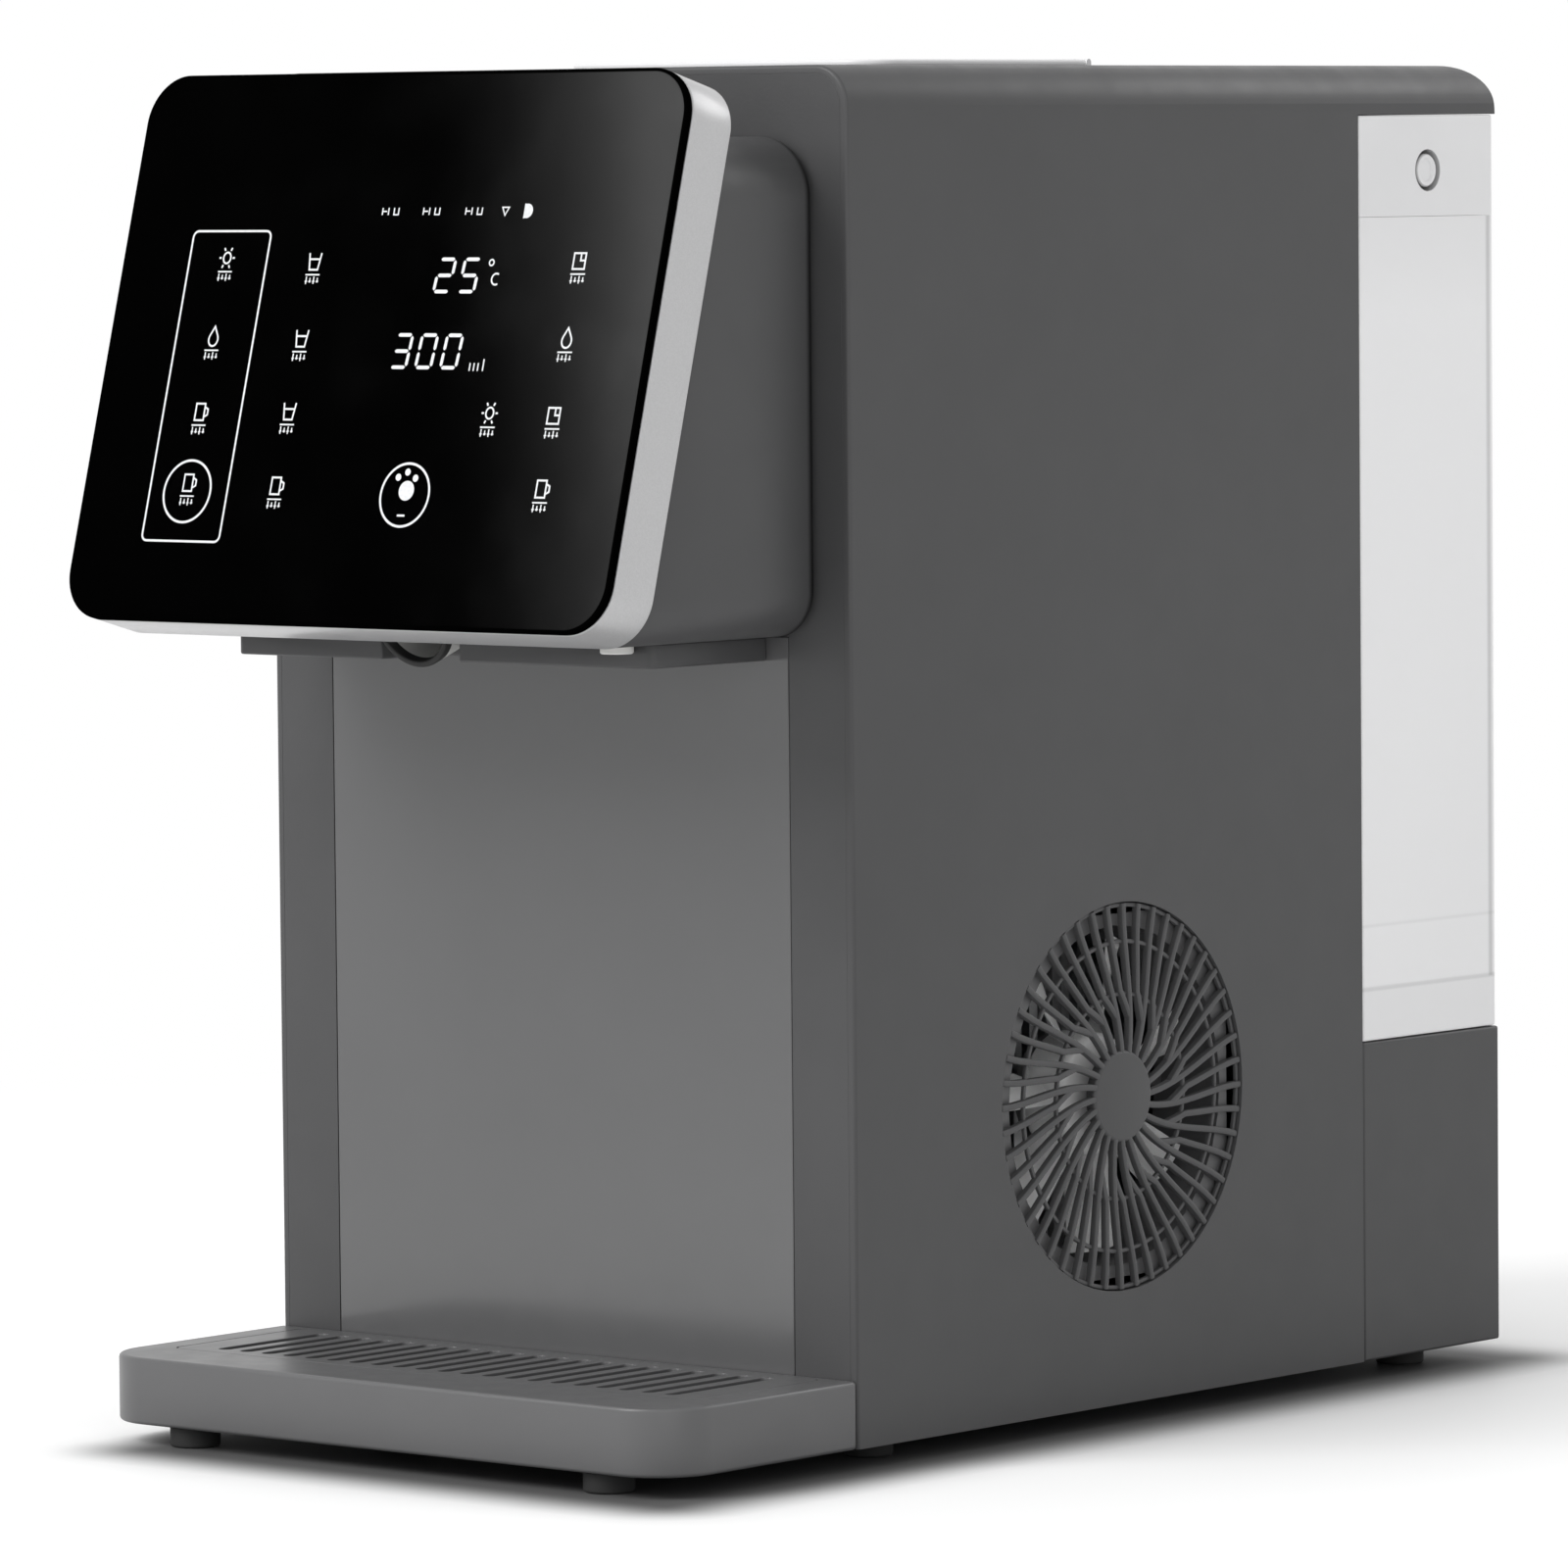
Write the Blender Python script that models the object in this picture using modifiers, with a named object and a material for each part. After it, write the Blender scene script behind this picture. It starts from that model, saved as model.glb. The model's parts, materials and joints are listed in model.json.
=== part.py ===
"""Countertop ice maker with a cup bay, a slanted touch panel and a pull-out water tank."""

import math

import bmesh
import bpy
from mathutils import Vector

# Lengths are in metres. Inside the machine X runs to the right, Y back from the cabinet's
# front face and Z up from the cabinet's underside.

# General values
GAP = 0.0003
RUNNING_GAP = 0.0005
OVERRUN = 0.003
SMALL_EDGE = 0.0008

# Cabinet
CABINET_WIDTH = 0.232
CABINET_DEPTH = 0.326
CABINET_HEIGHT = 0.410
SHELL_WALL = 0.0025
SHELL_EDGE_RADIUS = 0.012
SHELL_REAR_RADIUS = 0.015
FOOT_RADIUS = 0.0077
FOOT_HEIGHT = 0.0065
FOOT_INSET = 0.021
REAR_FOOT_SETBACK = 0.026
FRONT_FOOT_SETBACK = 0.030

# Front fascia and backsplash
FASCIA_THICKNESS = 0.0032
FASCIA_RIM_DEPTH = 0.010
FASCIA_RIM_WALL = 0.002
BACKSPLASH_WIDTH = 0.1836
BACKSPLASH_BOTTOM = 0.006
BACKSPLASH_RECESS = 0.002

# Head
HEAD_WIDTH = 0.2072
HEAD_BOTTOM = 0.241
HEAD_TOP = 0.389
HEAD_TOP_RADIUS = 0.018
HEAD_BOTTOM_RADIUS = 0.014
HEAD_EDGE_RADIUS = 0.0012
HEAD_NECK_DEPTH = 0.0015
HEAD_NECK_INSET = 0.0015
HEAD_WALL = 0.0025
OUTLET_WIDTH = 0.167
OUTLET_DEPTH = 0.052
OUTLET_DROP = 0.0075
OUTLET_CORNER = 0.002

# Control panel, measured on the plane where glass and frame meet
PANEL_WIDTH = 0.2156
PANEL_HEIGHT = 0.1688
PANEL_CORNER = 0.015
PANEL_TILT = math.radians(15.16)
PANEL_FORWARD = 0.0785
PANEL_CENTRE_Z = 0.3271
GLASS_THICKNESS = 0.0027
FRAME_DEPTH = 0.018
FRAME_WALL = 0.003
FRAME_BACK = 0.0025
FRAME_WINDOW_WIDTH = 0.150
FRAME_WINDOW_HEIGHT = 0.080
DISPLAY_WIDTH = 0.190
DISPLAY_HEIGHT = 0.120
DISPLAY_THICKNESS = 0.006
BOARD_THICKNESS = 0.0016
BOARD_MARGIN = 0.004
CHIP_SIZE = 0.014
CHIP_HEIGHT = 0.0025
CHIP_PITCH = 0.030

# Drip tray
TRAY_DEPTH = 0.086
TRAY_HEIGHT = 0.0205
TRAY_CORNER = 0.020
TRAY_FLOOR = 0.003
TRAY_LEDGE = 0.003
TRAY_FOOT_X = 0.0833
TRAY_FOOT_FORWARD = 0.075
TRAY_SIDE_BORDER = 0.011
DRIP_GRILLE_FRONT = 0.062
DRIP_GRILLE_BACK = 0.003
DRIP_GRILLE_THICKNESS = 0.0028
DRIP_GRILLE_CORNER = 0.004
DRIP_SLOT_WIDTH = 0.0045
DRIP_SLOT_PITCH = 0.009
DRIP_GRILLE_BORDER = 0.006

# Water tank bay
BAY_FRONT = 0.2525
BAY_FLOOR = 0.1015
BAY_CEILING = 0.3945
DOCK_WALL = 0.003
COVER_WALL = 0.0025
TANK_WALL = 0.0024
TANK_FLOOR = 0.003
TANK_REAR_RADIUS = 0.003
TANK_LID_HEIGHT = 0.0317
PORT_X = -0.060
PORT_HEIGHT = 0.021
PORT_RADIUS = 0.0076
NIPPLE_RADIUS = 0.0070
NIPPLE_BORE = 0.0050
NIPPLE_LENGTH = 0.0050
VALVE_DISC_RADIUS = 0.0064
VALVE_DISC_THICKNESS = 0.0020
VALVE_STEM_RADIUS = 0.0020
VALVE_STEM_LENGTH = 0.0180
VALVE_GUIDE_SETBACK = 0.0120
VALVE_GUIDE_THICKNESS = 0.0025
VALVE_GUIDE_WIDTH = 0.022
FLOAT_X = 0.045
FLOAT_RADIUS = 0.010
FLOAT_HEIGHT = 0.016
FLOAT_POST_RADIUS = 0.003
FLOAT_POST_HEIGHT = 0.050
FLOAT_STOP_RADIUS = 0.0055
FLOAT_STOP_HEIGHT = 0.003

# Tank handle
HANDLE_PIVOT_Z = 0.3768
HANDLE_BOSS_RADIUS = 0.0063
HANDLE_REACH = 0.031
HANDLE_ARM_WIDTH = 0.004
HANDLE_ARM_INSET = 0.018
HANDLE_BAR_RADIUS = 0.004
HANDLE_HANG = math.radians(14)
HANDLE_RECESS_WALL = 0.002
FILLER_WIDTH = 0.060
FILLER_DEPTH = 0.018
FILLER_CORNER = 0.006

# Top lid
LID_WIDTH = 0.130
LID_FRONT = 0.076
LID_BACK = 0.189
LID_CORNER = 0.015
LID_THICKNESS = 0.002
LID_LAP = 0.003
LID_PLUG_DEPTH = 0.006
LID_PLUG_WALL = 0.002
HINGE_RADIUS = 0.0012
HINGE_PIN_RADIUS = 0.0006
HINGE_KNUCKLE_LENGTH = 0.014
HINGE_SPREAD = 0.090
HINGE_LUG_LENGTH = 0.005

# Side fan grille
GRILLE_CENTRE_Y = 0.1295
GRILLE_CENTRE_Z = 0.0947
GRILLE_RADIUS = 0.0595
GRILLE_RIM = 0.0022
GRILLE_HUB_RADIUS = 0.014
GRILLE_THICKNESS = 0.003
GRILLE_RIB = 0.0017
GRILLE_RING = 0.0014
GRILLE_INNER_RIBS = 24
GRILLE_INNER_RING_SHARE = 0.53
GRILLE_OUTER_RING_SHARE = 0.80
GRILLE_SWEEP = math.radians(14)

# Fan
SHROUD_SIZE = 0.112
SHROUD_DEPTH = 0.0254
SHROUD_BORE = 0.0525
SHROUD_STRUT = 0.004
SHROUD_PLATE = 0.0025
SHROUD_HUB_RADIUS = 0.018
MOTOR_RADIUS = 0.016
MOTOR_LENGTH = 0.010
MOTOR_SHAFT_RADIUS = 0.002
ROTOR_HUB_RADIUS = 0.019
ROTOR_HUB_WALL = 0.0018
ROTOR_LENGTH = 0.016
ROTOR_TIP_RADIUS = 0.050
ROTOR_BLADE_THICKNESS = 0.0016
ROTOR_BLADE_CHORD = 0.022
ROTOR_BLADES = 7
ROTOR_PITCH = math.radians(38)

# Left side vents
VENT_COUNT = 11
VENT_WIDTH = 0.004
VENT_HEIGHT = 0.052
VENT_PITCH = 0.011

# Base pan
PAN_THICKNESS = 0.0025
PAN_RIM = 0.010
PAN_VENT_WIDTH = 0.005
PAN_VENT_LENGTH = 0.060
PAN_VENT_PITCH = 0.012
PAN_VENTS = 4
DRAIN_X = -0.055
DRAIN_Y = 0.036
DRAIN_RADIUS = 0.006
DRAIN_FLANGE_RADIUS = 0.009
DRAIN_FLANGE_THICKNESS = 0.002
DRAIN_PLUG_HEIGHT = 0.007

# Cooling circuit
COMPRESSOR_OFFSET_SHARE = 0.194
COMPRESSOR_PLATE_SHARE = 0.448
COMPRESSOR_MARGIN = 0.006
COMPRESSOR_HEIGHT = 0.130
COMPRESSOR_SEAM = 0.0025
COMPRESSOR_SEAM_HEIGHT = 0.003
COMPRESSOR_PLATE_THICKNESS = 0.003
GROMMET_RADIUS = 0.008
GROMMET_HEIGHT = 0.009
CONDENSER_SPACE = 0.0133
CONDENSER_THICKNESS = 0.034
CONDENSER_FRONT = 0.072
CONDENSER_BACK = 0.188
CONDENSER_BOTTOM = 0.0028
CONDENSER_TOP = 0.160
CONDENSER_CORE = 0.010
CONDENSER_FINS = 15
FIN_SHARE = 0.5
DISCHARGE_FIN = 6
LINE_RADIUS = 0.003
DRIER_RADIUS = 0.008
DRIER_LENGTH = 0.045
DRIER_NECK_LENGTH = 0.008
DRIER_X = 0.058

# Ice making
BRACKET_HALF_WIDTH = 0.070
BRACKET_THICKNESS = 0.002
BRACKET_FRONT = 0.190
BRACKET_BACK = 0.236
BRACKET_BOTTOM = 0.344
EVAPORATOR_WIDTH = 0.104
EVAPORATOR_FRONT = 0.192
EVAPORATOR_BACK = 0.213
EVAPORATOR_BOTTOM = 0.372
EVAPORATOR_HEIGHT = 0.012
EVAPORATOR_POST = 0.006
FINGER_RADIUS = 0.004
FINGER_LENGTH = 0.034
FINGER_COLUMNS = 5
FINGER_PITCH = 0.021
FINGER_ROW_PITCH = 0.011
WATER_TRAY_AXIS_Y = 0.226
WATER_TRAY_AXIS_Z = 0.356
WATER_TRAY_RADIUS = 0.042
WATER_TRAY_WALL = 0.0016
WATER_TRAY_HALF_WIDTH = 0.066
WATER_TRAY_START = math.radians(177)
WATER_TRAY_END = math.radians(240)
TRAY_JOURNAL_RADIUS = 0.003
TRAY_HUB_RADIUS = 0.005
TRAY_MOTOR_WIDTH = 0.022
TRAY_MOTOR_HALF = 0.012

# Ice store and outlet
DECK_TOP = 0.2557
DECK_THICKNESS = 0.0025
DECK_FRONT = 0.0135
DECK_FLANGE = 0.012
DECK_HOLE_RADIUS = 0.007
DECK_NOTCH_DEPTH = 0.014
BIN_FRONT = 0.014
BIN_BACK = 0.2135
BIN_WALL = 0.002
BIN_TOP = 0.312
BIN_HALF_WIDTH = 0.086
BIN_SHOULDER = 0.022
AUGER_X = -0.0083
AUGER_Z = 0.276
AUGER_TROUGH_RADIUS = 0.018
AUGER_RADIUS = 0.0145
AUGER_WIRE = 0.0022
AUGER_PITCH = 0.034
AUGER_TURNS = 5
AUGER_START = 0.019
AUGER_MOTOR_SIZE = 0.030
AUGER_COLLAR_RADIUS = 0.006
BIN_OUTLET_RADIUS = 0.013
CHUTE_RADIUS = 0.0145
CHUTE_WALL = 0.002
CHUTE_SIDE = 0.006
CHUTE_TILT = math.radians(20)
CHUTE_MOUTH_FORWARD = 0.057
CHUTE_MOUTH_Z = 0.245
CHUTE_BACK = 0.0095
CHUTE_CLEARANCE = 0.001
ICE_HOLE_FORWARD = 0.078
WINDOW_HALF_WIDTH = 0.0165
WINDOW_BOTTOM = 0.2475
WINDOW_TOP = 0.302
GATE_AXIS_Y = 0.0115
GATE_AXIS_Z = 0.2945
GATE_WIDTH = 0.023
GATE_DROP = 0.030
GATE_THICKNESS = 0.0012
GATE_BARREL_RADIUS = 0.0016
GATE_EAR_THICKNESS = 0.002
GATE_EAR_LENGTH = 0.0055
GATE_EAR_HEIGHT = 0.007
GATE_LEVER_LENGTH = 0.005
GATE_LEVER_WIDTH = 0.006
SOLENOID_WIDTH = 0.020
SOLENOID_DEPTH = 0.0095
SOLENOID_HEIGHT = 0.022
PLUNGER_RADIUS = 0.0022
PLUNGER_LENGTH = 0.016
PLUNGER_HEAD_HEIGHT = 0.0016
PLUNGER_TRAVEL = 0.004

# Water circuit
NOZZLE_X = 0.074
NOZZLE_FORWARD = 0.057
NOZZLE_RADIUS = 0.005
NOZZLE_BORE = 0.0026
NOZZLE_TIP_Z = 0.238
NOZZLE_TOP_Z = 0.264
NOZZLE_INLET_Z = 0.256
NOZZLE_BARB_RADIUS = 0.0035
NOZZLE_BARB_LENGTH = 0.013
NOZZLE_FLANGE_RADIUS = 0.009
NOZZLE_FLANGE_THICKNESS = 0.002
HOSE_RADIUS = 0.004
HOSE_HOLE_RADIUS = 0.006
HEATER_X = -0.085
HEATER_Y = 0.224
HEATER_RADIUS = 0.017
HEATER_HEIGHT = 0.140
HEATER_PORT_RADIUS = 0.005
HEATER_PORT_LENGTH = 0.008
PUMP_X = -0.020
PUMP_RADIUS = 0.015
PUMP_HEIGHT = 0.050
PUMP_HEAD_RADIUS = 0.019
PUMP_HEAD_HEIGHT = 0.014
PUMP_PORT_RADIUS = 0.004
PUMP_PORT_LENGTH = 0.008

# Electrics
POWER_BOARD_FRONT = 0.060
POWER_BOARD_BACK = 0.170
POWER_BOARD_BOTTOM = 0.168
POWER_BOARD_TOP = 0.238
STANDOFF_RADIUS = 0.003
STANDOFF_LENGTH = 0.004
CAPACITOR_RADIUS = 0.007
CAPACITOR_LENGTH = 0.012
INLET_X = 0.070
INLET_Z = 0.040
INLET_WIDTH = 0.030
INLET_HEIGHT = 0.022
INLET_DEPTH = 0.022
INLET_WALL = 0.002
INLET_CORNER = 0.003
BLADE_WIDTH = 0.002
BLADE_HEIGHT = 0.005
BLADE_LENGTH = 0.014
BLADE_PITCH = 0.007

# Sizes that follow from the ones above
HALF_WIDTH = CABINET_WIDTH / 2
INNER_HALF = HALF_WIDTH - SHELL_WALL
FIT_HALF = INNER_HALF - GAP
BAY_BACK = CABINET_DEPTH
TANK_FRONT = BAY_FRONT + GAP
TANK_BOTTOM = BAY_FLOOR + GAP
TANK_LID_TOP = BAY_CEILING - GAP
TANK_LID_BOTTOM = TANK_LID_TOP - TANK_LID_HEIGHT
TANK_BODY_TOP = TANK_LID_BOTTOM - GAP
TANK_MIDDLE = (TANK_FRONT + BAY_BACK) / 2
DOCK_BACK = BAY_FRONT - GAP
DOCK_FRONT = DOCK_BACK - DOCK_WALL
PORT_Z = TANK_BOTTOM + PORT_HEIGHT
CHUTE_X = AUGER_X
PUMP_Y = HEATER_Y
HEAD_BACK = -GAP
PLUNGER_LOW = GATE_AXIS_Z + GATE_BARREL_RADIUS + GAP * 2
SOLENOID_BOTTOM = PLUNGER_LOW + PLUNGER_HEAD_HEIGHT + PLUNGER_TRAVEL + RUNNING_GAP
LID_BASE = CABINET_HEIGHT + GAP
HINGE_Y = LID_BACK + GAP + HINGE_RADIUS
HINGE_Z = LID_BASE + HINGE_RADIUS
FAN_X = HALF_WIDTH - GRILLE_THICKNESS
SHROUD_FRONT = FAN_X - GAP
SHROUD_BACK = SHROUD_FRONT - SHROUD_DEPTH
FAN_BACK = SHROUD_BACK + SHROUD_PLATE + SMALL_EDGE / 2 + GAP
CONDENSER_LEFT = SHROUD_BACK - CONDENSER_SPACE - CONDENSER_THICKNESS
FIN_PITCH = (CONDENSER_BACK - CONDENSER_FRONT) / (CONDENSER_FINS - FIN_SHARE)
COMPRESSOR_PLATE = CABINET_WIDTH * COMPRESSOR_PLATE_SHARE
COMPRESSOR_RADIUS = COMPRESSOR_PLATE / 2 - COMPRESSOR_MARGIN
COMPRESSOR_X = -CABINET_WIDTH * COMPRESSOR_OFFSET_SHARE
COMPRESSOR_Y = CONDENSER_FRONT + FIN_PITCH * (DISCHARGE_FIN + FIN_SHARE / 2)
DRIP_GRILLE_WIDTH = CABINET_WIDTH - 2 * TRAY_SIDE_BORDER
PANEL_FRONT_EXTREME = (
    PANEL_FORWARD
    + PANEL_HEIGHT / 2 * math.sin(PANEL_TILT)
    + GLASS_THICKNESS * math.cos(PANEL_TILT)
)
MIDDLE_Y = (CABINET_DEPTH - PANEL_FRONT_EXTREME) / 2

FRONT_VIEW = (math.radians(90), 0, 0)
SIDE_VIEW = (math.radians(90), 0, math.radians(90))
PLAN_VIEW = (0, 0, 0)

MODEL_COLLECTION = "countertop_ice_maker"
CUTTER_COLLECTION = "cutters"


# Scene set-up


def clear_scene():
    """Start from an empty scene."""
    for item in list(bpy.data.objects):
        bpy.data.objects.remove(item, do_unlink=True)


def make_collection(name):
    """Make a collection under the scene's own."""
    group = bpy.data.collections.new(name)
    bpy.context.scene.collection.children.link(group)
    return group


def make_material(name, colour, roughness, metallic=0.0, alpha=1.0):
    """Make a plain material from a grey or an RGB colour."""
    material = bpy.data.materials.new(name)
    material.use_nodes = True
    shader = material.node_tree.nodes["Principled BSDF"]
    shader.inputs["Base Color"].default_value = (*colour, 1.0)
    shader.inputs["Roughness"].default_value = roughness
    shader.inputs["Metallic"].default_value = metallic
    shader.inputs["Alpha"].default_value = alpha
    return material


def grey(level):
    """Give a neutral colour."""
    return (level, level, level)


class Workshop:
    """Holds the collections and the empty that carries every piece."""

    def __init__(self):
        self.model = make_collection(MODEL_COLLECTION)
        self.cutters = make_collection(CUTTER_COLLECTION)
        self.machine = bpy.data.objects.new("machine", None)
        self.machine.location = (0, -MIDDLE_Y, FOOT_HEIGHT)
        self.model.objects.link(self.machine)

    def add(self, item, location=(0, 0, 0), rotation=PLAN_VIEW):
        """Put an object under the machine's empty."""
        self.model.objects.link(item)
        item.parent = self.machine
        item.location = location
        item.rotation_euler = rotation
        return item

    def as_cutter(self, item):
        """Move an object to the cutters."""
        self.model.objects.unlink(item)
        self.cutters.objects.link(item)
        item.hide_render = True
        item.display_type = "WIRE"
        return item


# Outlines


def arc(centre_x, centre_y, radius, start, end, steps):
    """Points along an arc, both ends included."""
    points = []
    for step in range(steps + 1):
        angle = start + (end - start) * step / steps
        points.append((centre_x + radius * math.cos(angle), centre_y + radius * math.sin(angle)))
    return points


def circle(centre_x, centre_y, radius, steps=24):
    """A closed circle."""
    return arc(centre_x, centre_y, radius, 0, math.tau * (steps - 1) / steps, steps - 1)


def rectangle(left, right, low, high):
    """A closed rectangle."""
    return [(left, low), (right, low), (right, high), (left, high)]


def rounded(left, right, low, high, radii, steps=4):
    """A rectangle with its own radius at bottom left, bottom right, top right and top left."""
    corners = [(left, low), (right, low), (right, high), (left, high)]
    signs = [(1, 1), (-1, 1), (-1, -1), (1, -1)]
    quarter = math.pi / 2
    points = []
    for index, (corner, sign, radius) in enumerate(zip(corners, signs, radii)):
        if radius == 0:
            points.append(corner)
            continue
        centre_x = corner[0] + sign[0] * radius
        centre_y = corner[1] + sign[1] * radius
        start = math.pi + index * quarter
        points.extend(arc(centre_x, centre_y, radius, start, start + quarter, steps))
    return points


def slot(centre_x, centre_y, width, length, steps=2):
    """An upright slot with round ends."""
    radius = width / 2
    reach = length / 2 - radius
    top = arc(centre_x, centre_y + reach, radius, 0, math.pi, steps)
    bottom = arc(centre_x, centre_y - reach, radius, math.pi, math.tau, steps)
    return top + bottom


# Solids


def mesh_object(name, bm):
    """Make an object of a bmesh and free the bmesh."""
    mesh = bpy.data.meshes.new(name)
    bm.to_mesh(mesh)
    bm.free()
    return bpy.data.objects.new(name, mesh)


def prism(shop, name, loops, low, high, view):
    """Extrude outlines from low to high along the view's depth; inner loops are holes."""
    curve = bpy.data.curves.new(name + "_outline", "CURVE")
    curve.dimensions = "2D"
    curve.fill_mode = "BOTH"
    curve.extrude = (high - low) / 2
    for loop in loops:
        spline = curve.splines.new("POLY")
        spline.points.add(len(loop) - 1)
        for point, place in zip(spline.points, loop):
            point.co = (place[0], place[1], 0, 1)
        spline.use_cyclic_u = True
    guide = bpy.data.objects.new(name + "_outline", curve)
    shop.model.objects.link(guide)
    graph = bpy.context.evaluated_depsgraph_get()
    mesh = bpy.data.meshes.new_from_object(guide.evaluated_get(graph))
    mesh.name = name
    bpy.data.objects.remove(guide, do_unlink=True)
    bm = bmesh.new()
    bm.from_mesh(mesh)
    bmesh.ops.remove_doubles(bm, verts=bm.verts, dist=GAP / 100)
    bmesh.ops.recalc_face_normals(bm, faces=bm.faces)
    bm.to_mesh(mesh)
    bm.free()
    middle = (low + high) / 2
    places = {FRONT_VIEW: (0, middle, 0), SIDE_VIEW: (middle, 0, 0), PLAN_VIEW: (0, 0, middle)}
    return shop.add(bpy.data.objects.new(name, mesh), places[view], view)


def block(shop, name, low, high):
    """A box between two corners, with its origin at its centre."""
    bm = bmesh.new()
    bmesh.ops.create_cube(bm, size=1)
    size = Vector(high) - Vector(low)
    bmesh.ops.scale(bm, vec=size, verts=bm.verts)
    centre = (Vector(low) + Vector(high)) / 2
    return shop.add(mesh_object(name, bm), centre)


def drum(shop, name, start, end, radius, end_radius=None, segments=24):
    """A cylinder or cone between two points."""
    tip = radius if end_radius is None else end_radius
    run = Vector(end) - Vector(start)
    bm = bmesh.new()
    bmesh.ops.create_cone(
        bm, cap_ends=True, segments=segments, radius1=radius, radius2=tip, depth=run.length
    )
    item = shop.add(mesh_object(name, bm), (Vector(start) + Vector(end)) / 2)
    item.rotation_euler = run.to_track_quat("Z", "Y").to_euler()
    return item


def turned(shop, name, profile, location, rotation=PLAN_VIEW, steps=32):
    """Turn a profile of (radius, height) about local Z, from top to bottom."""
    closed = profile[0] == profile[-1]
    points = profile[:-1] if closed else profile
    bm = bmesh.new()
    verts = [bm.verts.new((radius, 0, height)) for radius, height in points]
    for first, second in zip(verts, verts[1:]):
        bm.edges.new((first, second))
    if closed:
        bm.edges.new((verts[-1], verts[0]))
    item = shop.add(mesh_object(name, bm), location, rotation)
    screw = item.modifiers.new("Turn", "SCREW")
    screw.axis = "Z"
    screw.steps = steps
    screw.render_steps = steps
    screw.use_merge_vertices = True
    screw.merge_threshold = GAP / 10
    return item


def rod(shop, name, points, radius, sides=2):
    """A round rod or tube along points."""
    curve = bpy.data.curves.new(name, "CURVE")
    curve.dimensions = "3D"
    curve.bevel_depth = radius
    curve.bevel_resolution = sides
    curve.use_fill_caps = True
    spline = curve.splines.new("POLY")
    spline.points.add(len(points) - 1)
    for point, place in zip(spline.points, points):
        point.co = (*place, 1)
    return shop.add(bpy.data.objects.new(name, curve))


def smooth_route(points, bend, steps=5):
    """Replace each inner corner of a route by a curve that starts one bend before it."""
    route = [Vector(points[0])]
    for before, corner, after in zip(points, points[1:], points[2:]):
        corner = Vector(corner)
        into = Vector(before) - corner
        out = Vector(after) - corner
        start = corner + into.normalized() * min(bend, into.length / 2)
        end = corner + out.normalized() * min(bend, out.length / 2)
        for step in range(steps + 1):
            share = step / steps
            first = start.lerp(corner, share)
            second = corner.lerp(end, share)
            route.append(first.lerp(second, share))
    route.append(Vector(points[-1]))
    cleaned = [route[0]]
    for place in route[1:]:
        if (place - cleaned[-1]).length > GAP:
            cleaned.append(place)
    return cleaned


def boolean(shop, item, others, operation):
    """Cut or join other objects into an item."""
    for other in others:
        shop.as_cutter(other)
        modifier = item.modifiers.new(operation.title(), "BOOLEAN")
        modifier.operation = operation
        modifier.solver = "EXACT"
        modifier.object = other
    return item


def cut(shop, item, *others):
    """Cut other objects out of an item."""
    return boolean(shop, item, others, "DIFFERENCE")


def join(shop, item, *others):
    """Join other objects to an item."""
    return boolean(shop, item, others, "UNION")


def keep_common(shop, item, *others):
    """Keep what an item shares with other objects."""
    return boolean(shop, item, others, "INTERSECT")


def soften(item, width, segments=2):
    """Round the sharp edges of an item."""
    bevel = item.modifiers.new("Edges", "BEVEL")
    bevel.width = width
    bevel.segments = segments
    bevel.limit_method = "ANGLE"
    bevel.angle_limit = math.radians(40)
    return item


def finish(item, material, angle=math.radians(35)):
    """Give an item its material and smooth its round faces."""
    item.data.materials.clear()
    item.data.materials.append(material)
    if item.type == "MESH":
        item.data.shade_smooth()
        item.data.set_sharp_from_angle(angle=angle)
    return item


# Cabinet


def cabinet_form(shop, name, inset, front, bottom):
    """The cabinet's outer form, or the same form set in by a wall."""
    half = HALF_WIDTH - inset
    top = CABINET_HEIGHT - inset
    back = CABINET_DEPTH - inset
    edge = SHELL_EDGE_RADIUS - inset
    corner = SHELL_REAR_RADIUS - inset
    section = rounded(-half, half, bottom, top, (0, 0, edge, edge))
    form = prism(shop, name, [section], front, back, FRONT_VIEW)
    side = rounded(front - OVERRUN, back, bottom - OVERRUN, top, (0, 0, corner, 0), 6)
    profile = prism(shop, name + "_profile", [side], -half - OVERRUN, half + OVERRUN, SIDE_VIEW)
    return keep_common(shop, form, profile)


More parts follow.
